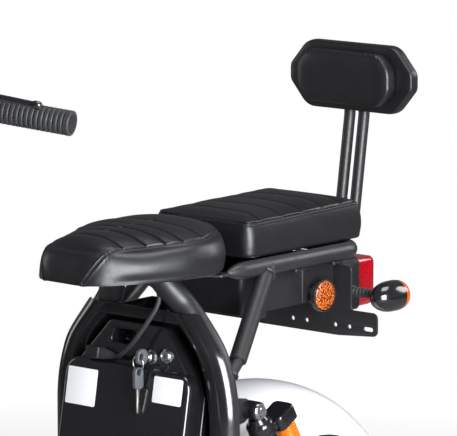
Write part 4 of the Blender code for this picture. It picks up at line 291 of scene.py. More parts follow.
def coated(name, colour, other, roughness, size=0.0016, relief=0.00006, **sockets):
    """A sprayed or moulded surface: two near colours, uneven gloss and a fine orange peel."""
    made, tree, shader = new_material(name, colour, roughness[0], **sockets)
    place = place_in(tree)
    broad = cloud(tree, place, 0.045)
    link(tree, blend_colours(tree, broad, colour, other), shader.inputs["Base Color"])
    fine = cloud(tree, place, size, 4.0)
    link(tree, between(tree, cloud(tree, place, 0.012), *roughness), shader.inputs["Roughness"])
    raise_by(tree, shader, fine, relief)
    return made


def leathered(name, colour, other, roughness):
    """Vinyl with a fine leather grain, soft creases and uneven gloss."""
    made, tree, shader = new_material(name, colour, roughness[0], Coat_Weight=0.12, Coat_Roughness=0.30)
    place = place_in(tree)
    broad = cloud(tree, place, 0.030)
    link(tree, blend_colours(tree, broad, colour, other), shader.inputs["Base Color"])
    grain = between(tree, cells(tree, place, 0.0011), 0.0, 1.0, 0.0, 0.35)
    creases = cloud(tree, place, 0.0045, 5.0)
    link(tree, between(tree, creases, *roughness), shader.inputs["Roughness"])
    raise_by(tree, shader, added(tree, grain, creases, 1.6), 0.00007, 0.8)
    return made


def lens(name, deep, bright, cell, relief, transmission):
    """Coloured plastic over a field of small prisms, its colour painted glint and shade: bright at each
    prism's middle, deep at its edges.
    """
    made, tree, shader = new_material(name, bright, 0.10, Transmission_Weight=transmission, IOR=1.49,
                                      Coat_Weight=0.6, Coat_Roughness=0.04)
    place = place_in(tree)
    shade = cells(tree, place, cell, "F1", "Distance")
    # painted glint and shade of the prisms in the base colour; the bump over the same cells is real
    # relief
    link(tree, blend_colours(tree, between(tree, shade, 0.0, 1.0, 0.1, 0.6), bright, deep),
         shader.inputs["Base Color"])
    raise_by(tree, shader, shade, relief)
    return made


def brushed(name, colour, roughness, stretch, relief=0.00003):
    """Bare metal with fine lines, stretched per axis."""
    made, tree, shader = new_material(name, colour, roughness[0], 1.0)
    place = place_in(tree, stretch)
    lines = cloud(tree, place, 0.0020, 5.0)
    link(tree, between(tree, lines, *roughness), shader.inputs["Roughness"])
    raise_by(tree, shader, lines, relief)
    return made


def looks():
    """Every material, each with the record's slot that it belongs to."""
    black = (0.0095, 0.0095, 0.0105)
    near_black = (0.0150, 0.0150, 0.0165)
    return {
        "coat": (coated("satin_coat", black, near_black, (0.40, 0.50), Coat_Weight=0.16,
                        Coat_Roughness=0.30), "black_coat"),
        "gloss": (coated("gloss_shell", (0.006, 0.006, 0.007), (0.010, 0.010, 0.011), (0.14, 0.21), 0.004,
                         0.00003, Coat_Weight=0.6, Coat_Roughness=0.11), "gloss_black"),
        "moulded": (coated("moulded_plastic", (0.009, 0.009, 0.010), (0.014, 0.014, 0.0155), (0.38, 0.48),
                           0.0009, 0.00008, Specular_IOR_Level=0.36), "black_plastic"),
        "vinyl": (leathered("seat_vinyl", (0.0052, 0.0052, 0.0058), (0.0088, 0.0088, 0.0098),
                            (0.34, 0.44)), "vinyl"),
        # near black as painted shade: in the grooves of the seat seams and in the keyway of the battery's
        # lock
        "joint": (coated("painted_seam_and_slot_shade", (0.003, 0.003, 0.003), (0.005, 0.005, 0.005), (0.7, 0.8), 0.0006,
                         0.00002), "vinyl"),
        "thread": (coated("seat_thread", (0.022, 0.022, 0.024), (0.035, 0.035, 0.037), (0.55, 0.65),
                          0.0004, 0.0001), "vinyl"),
        "rubber": (coated("soft_rubber", (0.014, 0.014, 0.015), (0.024, 0.024, 0.025), (0.55, 0.68),
                          0.0008, 0.00008), "rubber"),
        "tyre": (coated("tyre_rubber", (0.016, 0.016, 0.017), (0.030, 0.029, 0.028), (0.62, 0.78), 0.0011,
                        0.00012), "tyre"),
        "white": (coated("gloss_white", (0.90, 0.90, 0.925), (0.94, 0.94, 0.96), (0.16, 0.22), 0.006,
                         0.00002, Coat_Weight=0.10, Coat_Roughness=0.05, Specular_IOR_Level=0.18),
                  "white_plastic"),
        "orange": (coated("orange_coat", (0.85, 0.155, 0.006), (0.93, 0.22, 0.010), (0.20, 0.28), 0.0014,
                          0.00003, metallic=0.45, Coat_Weight=0.7, Coat_Roughness=0.08), "orange_coat"),
        "cast": (coated("cast_alloy", (0.36, 0.37, 0.385), (0.44, 0.45, 0.46), (0.44, 0.56), 0.0018,
                        0.00009, metallic=0.95), "alloy"),
        "black_alloy": (coated("black_alloy", (0.012, 0.012, 0.013), (0.020, 0.020, 0.022), (0.16, 0.24),
                               0.0015, 0.00004, Coat_Weight=0.6, Coat_Roughness=0.10), "black_alloy"),
        "zinc": (brushed("zinc_steel", (0.70, 0.71, 0.72), (0.16, 0.30), (1.0, 1.0, 1.0)), "steel"),
        "blade": (brushed("key_blade", (0.58, 0.56, 0.52), (0.22, 0.36), (1.0, 1.0, 6.0)), "steel"),
        # each lens's two colours: the first is painted shade at the prisms' edges, the second the plastic
        # with painted glint at their middles
        "amber": (lens("amber_lens", (0.50, 0.060, 0.002), (0.85, 0.150, 0.004), 0.0020, 0.0003, 0.15),
                  "amber_lens"),
        "sparkle": (lens("reflector_glass", (0.13, 0.010, 0.0004), (0.95, 0.230, 0.006), 0.0030, 0.0016,
                         0.10), "amber_lens"),
        "red": (lens("red_lens", (0.34, 0.002, 0.008), (0.58, 0.006, 0.018), 0.0030, 0.0002, 0.25),
                "red_lens"),
        "clear": (lens("clear_lens", (0.70, 0.72, 0.74), (0.96, 0.97, 0.98), 0.0060, 0.0004, 0.9),
                  "clear_lens"),
        "grey": (coated("key_head", (0.060, 0.064, 0.072), (0.085, 0.090, 0.098), (0.38, 0.50), 0.0010,
                        0.00006), "grey_plastic"),
        "label": (coated("blank_label", (0.90, 0.905, 0.91), (0.93, 0.93, 0.93), (0.35, 0.45), 0.003,
                         0.00002), "white_plastic"),
    }


LOOKS = looks()


# ---- Mesh tools


def dress(obj, look, body, *nodes):
    """Gives a piece its material, lets it ride on a body and stand for CAD nodes."""
    material, slot = LOOKS[look]
    obj.data.materials.clear()
    obj.data.materials.append(material)
    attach(obj, body)
    if nodes:
        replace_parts(obj, *nodes)
    return obj


def shift(x, y, z):
    return Matrix.Translation((x, y, z))


def put(name, data):
    """A new object in the scene."""
    obj = bpy.data.objects.new(name, data)
    bpy.context.scene.collection.objects.link(obj)
    return obj


def settle(obj, place=None):
    """Moves a piece by a matrix, also by one that mirrors."""
    if place is not None:
        obj.data.transform(place)
        if place.determinant() < 0:
            obj.data.flip_normals()
    return obj


def from_bmesh(name, bm, angle=35.0):
    bmesh.ops.recalc_face_normals(bm, faces=bm.faces)
    mesh = bpy.data.meshes.new(name)
    bm.to_mesh(mesh)
    bm.free()
    mesh.shade_smooth()
    if angle:
        mesh.set_sharp_from_angle(angle=radians(angle))
    return put(name, mesh)


def joined(name, mesh, distance, angle=35.0):
    """The mesh as a piece, in which points that lie together are one."""
    bm = bmesh.new()
    bm.from_mesh(mesh)
    bpy.data.meshes.remove(mesh)
    bmesh.ops.remove_doubles(bm, verts=bm.verts, dist=distance)
    return from_bmesh(name, bm, angle)


def skinned(name, rings, closed=False, angle=35.0):
    """A skin over rings of points: an array of rows, columns and three places."""
    rings = np.asarray(rings, float)
    rows, columns = rings.shape[:2]
    index = np.arange(rows * columns).reshape(rows, columns)
    if closed:
        index = np.vstack([index, index[:1]])
    after = np.roll(index, -1, axis=1)
    faces = np.stack([index[:-1], after[:-1], after[1:], index[1:]], axis=-1).reshape(-1, 4).tolist()
    if not closed:
        faces += [index[0, ::-1].tolist(), index[-1].tolist()]
    mesh = bpy.data.meshes.new(name)
    mesh.from_pydata(rings.reshape(-1, 3).tolist(), [], faces)
    return joined(name, mesh, 0.000002, angle)


def spline(points, steps, closed=False):
    """A smooth curve through the points, as an array with `steps` places between each two."""
    points = np.asarray(points, float)
    count = len(points)
    if closed:
        padded = np.vstack([points[-1], points, points[:2]])
        spans = count
    else:
        padded = np.vstack([2 * points[0] - points[1], points, 2 * points[-1] - points[-2]])
        spans = count - 1
    made = []
    for span in range(spans):
        a, b, c, d = padded[span:span + 4]
        for step in range(steps):
            t = step / steps
            square, cube = 2 * a - 5 * b + 4 * c - d, 3 * b - a - 3 * c + d
            made.append(0.5 * (2 * b + (c - a) * t + square * t ** 2 + cube * t ** 3))
    if not closed:
        made.append(points[-1])
    return np.array(made)


def evenly(points, count, closed=False):
    """The same line, with its points at even distances."""
    points = np.asarray(points, float)
    line = np.vstack([points, points[:1]]) if closed else points
    lengths = np.concatenate([[0.0], np.cumsum(np.linalg.norm(np.diff(line, axis=0), axis=1))])
    at = np.linspace(0.0, lengths[-1], count, endpoint=not closed)
    return np.stack([np.interp(at, lengths, line[:, axis]) for axis in range(line.shape[1])], axis=1)


def swept_rings(path, radii, sides, closed=False):
    """Circles along a path, each turned as little as possible from the one before."""
    path = [Vector(point) for point in path]
    count = len(path)
    rings = []
    side = None
    for index, point in enumerate(path):
        before = path[index - 1] if index or closed else point
        after = path[(index + 1) % count] if index + 1 < count or closed else point
        along = (after - before).normalized()
        if side is None:
            side = along.orthogonal().normalized()
        side = (side - along * side.dot(along)).normalized()
        other = along.cross(side)
        radius = radii[index] if hasattr(radii, "__len__") else radii
        turns = [2 * pi * step / sides for step in range(sides)]
        rings.append([point + (side * cos(turn) + other * sin(turn)) * radius for turn in turns])
    return rings


def swept(name, path, radii, sides=32, closed=False, angle=35.0):
    return skinned(name, swept_rings(path, radii, sides, closed), closed, angle=angle)


def turned(name, profile, steps=64, place=None, angle=30.0):
    """A profile of (radius, height) turned about Z, then moved by a matrix."""
    least = 1e-7
    closed = profile[0][0] > 1e-6 and profile[-1][0] > 1e-6
    turns = [2 * pi * index / steps for index in range(steps)]
    rings = [[(max(radius, least) * cos(turn), max(radius, least) * sin(turn), height) for turn in turns]
             for radius, height in profile]
    return settle(skinned(name, rings, closed=closed, angle=angle), place)


def slab(name, outline, thickness, bevel=0.0, place=None, holes=(), resolution=3):
    """A flat outline with holes, extruded about its middle plane, its edges rounded."""
    curve = bpy.data.curves.new(name, "CURVE")
    curve.dimensions = "2D"
    curve.fill_mode = "BOTH"
    curve.extrude = thickness / 2 - bevel
    curve.bevel_depth = bevel
    curve.offset = -bevel
    curve.bevel_resolution = resolution
    for loop in (outline, *holes):
        line = curve.splines.new("POLY")
        line.use_cyclic_u = True
        line.points.add(len(loop) - 1)
        for index, (u, v) in enumerate(loop):
            line.points[index].co = (u, v, 0.0, 1.0)
    holder = put(name, curve)
    bpy.context.view_layer.update()
    graph = bpy.context.evaluated_depsgraph_get()
    mesh = bpy.data.meshes.new_from_object(holder.evaluated_get(graph))
    bpy.data.objects.remove(holder, do_unlink=True)
    return settle(joined(name, mesh, 0.000004), place)


def corner_arc(before, corner, after, radius, steps):
    """The arc that takes a corner's place between the two points beside it."""
    arriving = (corner - before).normalized()
    leaving = (after - corner).normalized()
    turn = arriving.angle(leaving)
    if turn < 1e-5 or radius <= 0.0:
        return [corner]
    centre = corner + (leaving - arriving).normalized() * (radius / cos(turn / 2))
    first = corner - arriving * (radius * tan(turn / 2)) - centre
    axis = arriving.cross(leaving).normalized()
    return [centre + Matrix.Rotation(turn * step / steps, 3, axis) @ first for step in range(steps + 1)]


def bent(points, radii, steps=16):
    """A polyline whose inner corners are rounded, each by its own bend radius."""
    points = [Vector(point) for point in points]
    path = [points[0]]
    for before, corner, after, radius in zip(points, points[1:], points[2:], radii):
        path += corner_arc(before, corner, after, radius, steps)
    path.append(points[-1])
    return path


def rounded(corners, radii, steps=10):
    """A closed flat outline whose corners are rounded by one radius or by one each."""
    count = len(corners)
    radii = [radii] * count if isinstance(radii, float) else radii
    points = [Vector((u, v, 0.0)) for u, v in corners]
    outline = []
    for index, radius in enumerate(radii):
        outline += corner_arc(points[index - 1], points[index], points[(index + 1) % count], radius,
                              steps)
    return [(point.x, point.y) for point in outline]


def circle(u, v, radius, sides=32):
    return [(u + radius * cos(2 * pi * i / sides), v + radius * sin(2 * pi * i / sides))
            for i in range(sides)]


def oblong(x0, y0, x1, y1):
    """The corners of a rectangle, anticlockwise from its lower left one."""
    return [(x0, y0), (x1, y0), (x1, y1), (x0, y1)]


def mirrored(points, axis=0):
    """Flat points on the other side of the middle, in the order that closes a loop."""
    return [(a, -b) if axis else (-a, b) for a, b in reversed(points)]


def chamfered(bore, radius, low, high, edge):
    """The profile of a barrel round Z whose two outer rims are broken."""
    return [(bore, low), (radius - edge, low), (radius, low + edge), (radius, high - edge),
            (radius - edge, high), (bore, high)]


def eased(share):
    return share * share * (3 - 2 * share)


def aim(place, direction):
    """A matrix that stands local Z at a place along a direction."""
    turn = Vector(direction).to_track_quat("Z", "Y").to_matrix().to_4x4()
    return Matrix.Translation(Vector(place)) @ turn


def merged(name, objs):
    """Several meshes as one object, without changing their places."""
    bm = bmesh.new()
    for obj in objs:
        bm.from_mesh(obj.data)
        bpy.data.objects.remove(obj, do_unlink=True)
    mesh = bpy.data.meshes.new(name)
    bm.to_mesh(mesh)
    bm.free()
    return put(name, mesh)


def bolt(name, place, direction, size, look, body, washer=True):
    """A hexagon head with a chamfered crown, on a washer."""
    height, washer_height, spin = size * 0.62, size * 0.15, 0.3
    corners = [(cos(pi / 3 * index), sin(pi / 3 * index)) for index in range(6)]
    hexagon = [(a[0] + (b[0] - a[0]) * part / 4, a[1] + (b[1] - a[1]) * part / 4)
               for a, b in zip(corners, corners[1:] + corners[:1]) for part in range(4)]
    crown = [(x * 0.84 / hypot(x, y), y * 0.84 / hypot(x, y)) for x, y in hexagon]
    rings = [[(x * size, y * size, z) for x, y in ring]
             for ring, z in ((hexagon, 0.0), (hexagon, height * 0.80), (crown, height))]
    head = settle(skinned(f"{name}_head", rings, angle=28.0), Matrix.Rotation(spin, 4, "Z"))
    parts = [head]
    if washer:
        settle(head, shift(0, 0, washer_height))
        parts.append(turned(f"{name}_washer",
                            [(0.0, 0.0), (size * 1.32, 0.0), (size * 1.36, size * 0.05),
                             (size * 1.32, washer_height), (0.0, washer_height)], 40))
    return dress(settle(merged(name, parts), aim(place, direction)), look, body)


def weld(name, centre, direction, radius, bead):
    """A rippled bead of weld round a tube that runs along a direction."""
    side = Vector(direction).orthogonal().normalized()
    other = Vector(direction).normalized().cross(side)
    turns = [2 * pi * step / 24 for step in range(24)]
    ring = [Vector(centre) + (side * radius * cos(turn) + other * radius * sin(turn)) for turn in turns]
    path = evenly(ring, 48, True)
    radii = [bead * (1.0 + 0.16 * sin(index * 2.1)) for index in range(len(path))]
    dress(swept(name, path, radii, 12, True, angle=0.0), "coat", "frame")


def pole(name, start, end, radius, look, body, *nodes, sides=40, edge=0.0008):
    """A round bar with its two rims broken."""
    start, end = Vector(start), Vector(end)
    along = (end - start).normalized()
    path = [start, start + along * edge, start + (end - start) * 0.5, end - along * edge, end]
    return dress(swept(name, path, [radius - edge, radius, radius, radius, radius - edge], sides), look,
                 body, *nodes)


def block(name, low, high, radius, edge, look, body, *nodes, place=None):
    """A box with rounded upright corners and broken rims; `place` moves it."""
    (x0, y0, z0), (x1, y1, z1) = low, high
    lift = shift(0, 0, (z0 + z1) / 2)
    lift = place @ lift if place else lift
    obj = slab(name, rounded(oblong(x0, y0, x1, y1), radius, 8), z1 - z0, edge, lift)
    return dress(obj, look, body, *nodes)


def rounded_ring(x, z, half, high, radius, y, steps=8):
    return [(u + x, y, v + z) for u, v in rounded(oblong(-half, -high, half, high), radius, steps)]


# ---- Stage, light and camera


def build_camera():
    """The photograph's camera; returns its directions to the right and backwards."""
    back = Vector((sin(CAMERA_AZIMUTH) * cos(CAMERA_ELEVATION),
                   -cos(CAMERA_AZIMUTH) * cos(CAMERA_ELEVATION), sin(CAMERA_ELEVATION)))
    right = Vector((cos(CAMERA_AZIMUTH), sin(CAMERA_AZIMUTH), 0.0))
    up = back.cross(right)
    across, down = [(pixel - centre) * ANCHOR_DEPTH / FOCAL_PIXELS
                    for pixel, centre in zip(ANCHOR_PIXEL, IMAGE_CENTRE)]
    data = bpy.data.cameras.new("photo_view")
    data.sensor_width = SENSOR
    data.lens = FOCAL_PIXELS / IMAGE_WIDTH * SENSOR
    data.clip_start = 0.1
    data.clip_end = 100.0
    camera = put("photo_view", data)
    camera.location = ANCHOR + back * ANCHOR_DEPTH - right * across + up * down
    camera.rotation_mode = "QUATERNION"
    camera.rotation_quaternion = Matrix((right, up, back)).transposed().to_quaternion()
    bpy.context.scene.camera = camera
    return right, back


def area_light(name, place, target, size, watts, colour=(1.0, 1.0, 1.0)):
    data = bpy.data.lights.new(name, "AREA")
    data.shape = "RECTANGLE"
    data.size, data.size_y = size
    data.energy = watts
    data.color = colour
    lamp = put(name, data)
    lamp.location = place
    lamp.rotation_mode = "QUATERNION"
    lamp.rotation_quaternion = (Vector(place) - Vector(target)).to_track_quat("Z", "Y")


def mixed(tree, factor, first, second):
    """Two shaders' outputs, mixed by a factor."""
    node = shader_node(tree, "ShaderNodeMixShader")
    for source, socket in zip((factor, first, second), node.inputs):
        link(tree, source, socket)
    return node.outputs[0]


def build_stage(right, back):
    """A pale floor that fades to white, an even white sky and soft boxes round the scooter."""
    world = bpy.data.worlds.new("studio")
    bpy.context.scene.world = world
    world.use_nodes = True
    tree = world.node_tree
    tree.nodes.clear()
    path = shader_node(tree, "ShaderNodeLightPath")
    seen = shader_node(tree, "ShaderNodeBackground", Color=(1.0, 1.0, 1.0, 1.0), Strength=1.0)
    lit = shader_node(tree, "ShaderNodeBackground", Color=(0.93, 0.94, 1.0, 1.0), Strength=0.090)
    glossy = shader_node(tree, "ShaderNodeBackground", Color=(0.90, 0.90, 1.0, 1.0), Strength=0.16)
    out = shader_node(tree, "ShaderNodeOutputWorld")
    unseen = mixed(tree, path.outputs["Is Glossy Ray"], lit.outputs[0], glossy.outputs[0])
    link(tree, mixed(tree, path.outputs["Is Camera Ray"], unseen, seen.outputs[0]), out.inputs["Surface"])

    reach = 40.0
    mesh = bpy.data.meshes.new("floor")
    mesh.from_pydata([(x, y, 0) for x, y in oblong(-reach, -reach, reach, reach)], [], [(0, 1, 2, 3)])
    floor = put("floor", mesh)
    floor.location.z = -0.0015
    made, tree, shader = new_material("pale_floor", (0.90, 0.90, 0.905), 0.60)
    coords = shader_node(tree, "ShaderNodeTexCoord")
    length = shader_node(tree, "ShaderNodeVectorMath", operation="LENGTH")
    link(tree, coords.outputs["Object"], length.inputs[0])
    path = shader_node(tree, "ShaderNodeLightPath")
    far = shader_node(tree, "ShaderNodeMath", operation="MULTIPLY")
    link(tree, between(tree, length.outputs["Value"], 0.25, 1.0, 1.1, 2.6), far.inputs[0])
    link(tree, path.outputs["Is Camera Ray"], far.inputs[1])
    glow = shader_node(tree, "ShaderNodeEmission", Color=(1.0, 1.0, 1.0, 1.0), Strength=1.0)
    dull = shader_node(tree, "ShaderNodeBsdfDiffuse", Color=(0.28, 0.28, 0.28, 1.0))
    near = mixed(tree, path.outputs["Is Glossy Ray"], shader.outputs[0], dull.outputs[0])
    link(tree, mixed(tree, far.outputs[0], near, glow.outputs[0]),
         tree.nodes["Material Output"].inputs["Surface"])
    mesh.materials.append(made)

    target = Vector((0.0, 0.35, 0.55))
    area_light("box_side", target + Vector((2.35, -0.85, 0.55)), target, (1.2, 1.9), 165.0,
               (0.95, 0.97, 1.0))
    area_light("box_top", target + Vector((0.5, 0.5, 2.6)), target, (1.4, 1.2), 34.0)
    area_light("box_rear", target + Vector((1.3, 2.6, 1.3)), target, (1.0, 1.4), 30.0)
    area_light("box_left", target - right * 2.6 - back * 1.3 + Vector((0, 0, 0.7)), target, (0.8, 1.6),
               9.0)


# ---- Seats


def unit(vectors):
    """The rows of an array, each brought to length one."""
    return vectors / np.maximum(np.linalg.norm(vectors, axis=-1, keepdims=True), 1e-12)


def outward(outline):
    """The outward directions of a closed outline that runs anticlockwise."""
    along = unit(np.roll(outline, -1, axis=0) - np.roll(outline, 1, axis=0))
    return np.stack([along[:, 1], -along[:, 0]], axis=1)


def crowned(outline, wide, base, low, seam_z, crown, spine, power, side_rows=34, top_rows=80, nose=None):
    """The surface of a stuffed seat over its seam's outline in plan: base, bulged sides and crown.

    `wide` and `base` are the outlines of the bulge and of the foot, point for point. Returns the
    grid of points, and for each row how far it is up the side (0 to 1) or over the top (1 to 2).
    """
    seam_z = seam_z(outline)
    side_shape = evenly(spline([(0.88, 0.12), (1.0, 0.34), (0.93, 0.60), (0.60, 0.86), (0.0, 1.0)], 24),
                        side_rows)
    nose_shape = evenly(spline([(1.0, 0.10), (0.92, 0.34), (0.76, 0.64), (0.46, 0.88), (0.0, 1.0)], 24),
                        side_rows)
    weight = np.zeros(len(outline)) if nose is None else nose(outline)
    shape = [[side_shape[row, part] * (1 - weight) + nose_shape[row, part] * weight for part in (0, 1)]
             for row in range(side_rows)]
    rows, marks = [], []
    inner = base + unit(outline - base) * 0.012
    for share in (0.0, 0.5, 0.85, 1.0):
        rows.append((inner + (base - inner) * share, np.full(len(outline), low + 0.0015 * (1 - share))))
        marks.append(0.0)
    first = outline + (wide - outline) * shape[0][0][:, None]
    roll = 6
    for step in range(1, roll + 1):
        turn = pi / 2 * step / roll
        rows.append((base + (first - base) * sin(turn),
                     low + (seam_z - low) * shape[0][1] * (1 - cos(turn))))
        marks.append(0.05)
    for row, (out, high) in enumerate(shape[1:], 2):
        rows.append((outline + (wide - outline) * out[:, None], low + (seam_z - low) * high))
        marks.append(0.06 + 0.94 * row / side_rows)
    centre = spine(outline)
    for step in range(1, top_rows + 1):
        share = min((step / top_rows) ** 0.92, 0.995)
        plan = outline + (centre - outline) * share
        height = seam_z + (crown(centre) - seam_z) * (1.0 - (1.0 - share) ** power)
        rows.append((plan, height))
        marks.append(1.0 + share)
    grid = np.stack([np.column_stack([plan, height]) for plan, height in rows])
    return grid, np.array(marks)


def grid_normals(grid):
    """Outward directions of a grid whose columns close on themselves."""
    across = np.roll(grid, -1, axis=1) - np.roll(grid, 1, axis=1)
    along = np.gradient(grid, axis=0)
    return unit(np.cross(across, along))


def tree_of(points):
    """A search tree over points."""
    tree = KDTree(len(points))
    for index, point in enumerate(points):
        tree.insert(Vector(point), index)
    tree.balance()
    return tree


def closest(tree, points):
    """For each point, which one of the tree's points lies closest."""
    return [tree.find(Vector(point))[1] for point in points]


def nearest(grid, line):
    """The distance of each grid point from a line of close points."""
    tree = tree_of(line)
    return np.array([tree.find(Vector(point))[2]
                     for point in grid.reshape(-1, 3)]).reshape(grid.shape[:2])


def smoothed(line, times):
    for _ in range(times):
        line[1:-1] = (line[:-2] + line[1:-1] + line[2:]) / 3
    return line


def seam_of(grid, marks):
    """The row of a seat's grid along its seam, where the sides end and the top begins."""
    return grid[int(np.argmin(np.abs(marks - 1.0)))]


def ridge(low, high, axis):
    """The middle line of a seat, held between two places, towards which its top rises."""
    def drawn(plan):
        line = np.zeros((len(plan), 2))
        line[:, axis] = np.clip(plan[:, axis], low, high)
        return line

    return drawn


def sewn(grid, normals, line, deep=0.0021, swell=0.0008):
    """Pulls the cover in along a seam and lets it swell on both sides of it."""
    reach = nearest(grid, line)
    shape = -deep * np.exp(-(reach / 0.0011) ** 2) + swell * np.exp(-((reach - 0.0030) / 0.0015) ** 2)
    return grid + normals * shape[..., None]


def channelled(grid, marks, channels, bow, half, deep, puff, start_y, end_y):
    """Sewn channels across the top, with the cover swelling between them."""
    x, y = grid[..., 0], grid[..., 1]
    top = (marks >= 1.0)[:, None] & np.ones_like(x, bool)
    fade = np.clip((marks - 1.0) / 0.05, 0.0, 1.0)[:, None]
    bowed = y + bow * np.abs(x / half) ** 3.0
    change = np.zeros_like(x)
    for channel in channels:
        change -= deep * np.exp(-((bowed - channel) / 0.0015) ** 2)
    edges = [start_y, *channels, end_y]
    for near, far in zip(edges, edges[1:]):
        share = np.clip((bowed - near) / (far - near), 0.0, 1.0)
        change += puff * np.sin(pi * share) ** 0.75 * ((share > 0) & (share < 1))
    grid = grid.copy()
    grid[..., 2] += np.where(top, change * (0.35 + 0.65 * fade), 0.0)
    return grid


def uneven(grid, normals, size, height, seed):
    """Slow unevenness, as stuffed covers have."""
    flat = grid.reshape(-1, 3)
    offset = Vector((seed, 1.7 * seed, 0.3 * seed))
    lift = np.array([smooth_noise(Vector(point) / size + offset)
                     for point in flat]).reshape(grid.shape[:2])
    return grid + normals * (lift * height)[..., None]


def stitches(name, line, normals):
    """Short threads along a line, each lying on the cover."""
    pitch, length, radius = 0.0036, 0.0024, 0.00032
    count = int(np.sum(np.linalg.norm(np.diff(line, axis=0), axis=1)) / pitch)
    both = evenly(np.hstack([line, normals]), count * 2 + 1)
    bm = bmesh.new()
    for index in range(count):
        middle = Vector(both[index * 2 + 1][:3])
        along = Vector(both[index * 2 + 2][:3]) - Vector(both[index * 2][:3])
        if along.length < 1e-9:
            continue
        place = aim(middle + Vector(both[index * 2 + 1][3:]) * radius * 0.6, along)
        bmesh.ops.create_uvsphere(bm, u_segments=6, v_segments=4, radius=1.0,
                                  matrix=place @ Matrix.Diagonal((radius, radius, length / 2, 1.0)))
    dress(from_bmesh(name, bm, 0.0), "thread", "frame")


def table_of(rows):
    """A lookup from the second place of plan points through a short table."""
    at, values = zip(*rows)
    return lambda plan: np.interp(plan[:, 1], at, values)


def build_saddle():
    """The rider's seat, whose top panel wraps down over the nose between two seams."""
    seam_half = [(0.0, 0.2375), (0.020, 0.2375), (0.036, 0.2400), (0.047, 0.2450), (0.0565, 0.2550),
                 (0.0610, 0.2680), (0.0660, 0.2850), (0.0735, 0.3036), (0.0830, 0.3235), (0.0935, 0.3420),
                 (0.1012, 0.3620), (0.1045, 0.3840), (0.1020, 0.4030), (0.0950, 0.4230), (0.0840, 0.4420),
                 (0.0670, 0.4630), (0.0420, 0.4815), (0.0, 0.4930)]
    wide_half = [(0.0, 0.2150), (0.030, 0.2155), (0.0440, 0.2185), (0.0560, 0.2255), (0.0670, 0.2370),
                 (0.0810, 0.2580), (0.0930, 0.2790), (0.1035, 0.3010), (0.1120, 0.3240), (0.1190, 0.3480),
                 (0.1225, 0.3720), (0.1225, 0.3960), (0.1180, 0.4170), (0.1080, 0.4370), (0.0920, 0.4580),
                 (0.0700, 0.4770), (0.0400, 0.4930), (0.0, 0.4995)]
    outline, wide = [evenly(spline(half + mirrored(half[1:-1]), 20, True), 760, True)
                     for half in (seam_half, wide_half)]
    tuck = table_of([(0.215, 0.0), (0.240, 0.0010), (0.290, 0.0050), (0.380, 0.0070), (0.495, 0.0060)])
    base = wide - outward(wide) * tuck(wide)[:, None]

    def nose(plan):
        return eased(1.0 - np.clip((plan[:, 1] - 0.240) / 0.050, 0.0, 1.0))

    seam_z = table_of([(0.2375, 0.7180), (0.258, 0.7190), (0.300, 0.7200), (0.340, 0.7215),
                       (0.380, 0.7240), (0.420, 0.7258), (0.450, 0.7272), (0.495, 0.7285)])
    crown = table_of([(0.29, 0.7345), (0.36, 0.7385), (0.43, 0.7400)])
    grid, marks = crowned(outline, wide, base, SADDLE_LOW_Z, seam_z, crown, ridge(0.290, 0.430, 1), 2.6,
                          nose=nose)
    seam = seam_of(grid, marks)
    channels = (0.2735, 0.3085, 0.3355, 0.3615, 0.4010)
    grid = channelled(grid, marks, channels, 0.003, 0.105, 0.0030, 0.0022, 0.228, 0.462)
    above = seam[(seam[:, 1] >= 0.266) & (seam[:, 0] >= 0.0)]
    above = np.array(sorted(above.tolist(), key=lambda point: atan2(point[0], 0.36 - point[1])))
    down = [(0.0370, 0.2145, 0.6745), (0.0445, 0.2190, 0.6880), (0.0510, 0.2280, 0.7000),
            (0.0550, 0.2390, 0.7105), (0.0580, 0.2520, 0.7170)]
    line = evenly(np.vstack([spline([*down, tuple(above[0])], 12), above[1:]]), 900)
    normals = grid_normals(grid)
    flat = grid.reshape(-1, 3)
    left_line = smoothed(flat[closest(tree_of(flat), line)], 12)
    right_line = left_line * np.array([-1.0, 1.0, 1.0])
    grid = sewn(grid, normals, np.vstack([left_line, right_line]))
    reach = nearest(grid, np.vstack([left_line[40:300], right_line[40:300]]))
    angle = np.arctan2(np.abs(grid[..., 0]), 0.33 - grid[..., 1])
    gather = 0.00055 * np.sin(angle * 150.0) * np.exp(-(reach / 0.0065) ** 2)
    gather *= np.exp(-((grid[..., 1] - 0.250) / 0.014) ** 2)
    grid = grid + normals * np.where((marks < 1.0)[:, None], gather, 0.0)[..., None]
    grid = uneven(grid, normals, 0.045, 0.0007, 3.0)
    obj = dress(skinned("saddle_cover", grid, angle=0.0), "vinyl", "frame", "saddle")
    piping("saddle_seam_left", left_line, grid, normals)
    piping("saddle_seam_right", right_line, grid, normals)


def piping(name, line, grid, normals):
    """The line where two covers meet along a seam, drawn near black as painted shade of the seam's
    groove, and the stitches below it.
    """
    flat, flat_normals = grid.reshape(-1, 3), normals.reshape(-1, 3)
    tree = tree_of(flat)
    near = closest(tree, evenly(line, 420))
    middle = smoothed(flat[near] + flat_normals[near] * 0.0001, 6)
    # the tube's near-black colour is painted shade in the seam's groove
    dress(swept(name, middle, 0.0007, 8, angle=0.0), "joint", "frame")
    along = unit(np.gradient(middle, axis=0))
    aside = np.cross(flat_normals[near], along)
    aside *= np.where(aside[:, 2:] > 0, -1.0, 1.0)
    picked = closest(tree, middle + aside * 0.0024)
    stitches(f"{name}_stitches", flat[picked], flat_normals[picked])


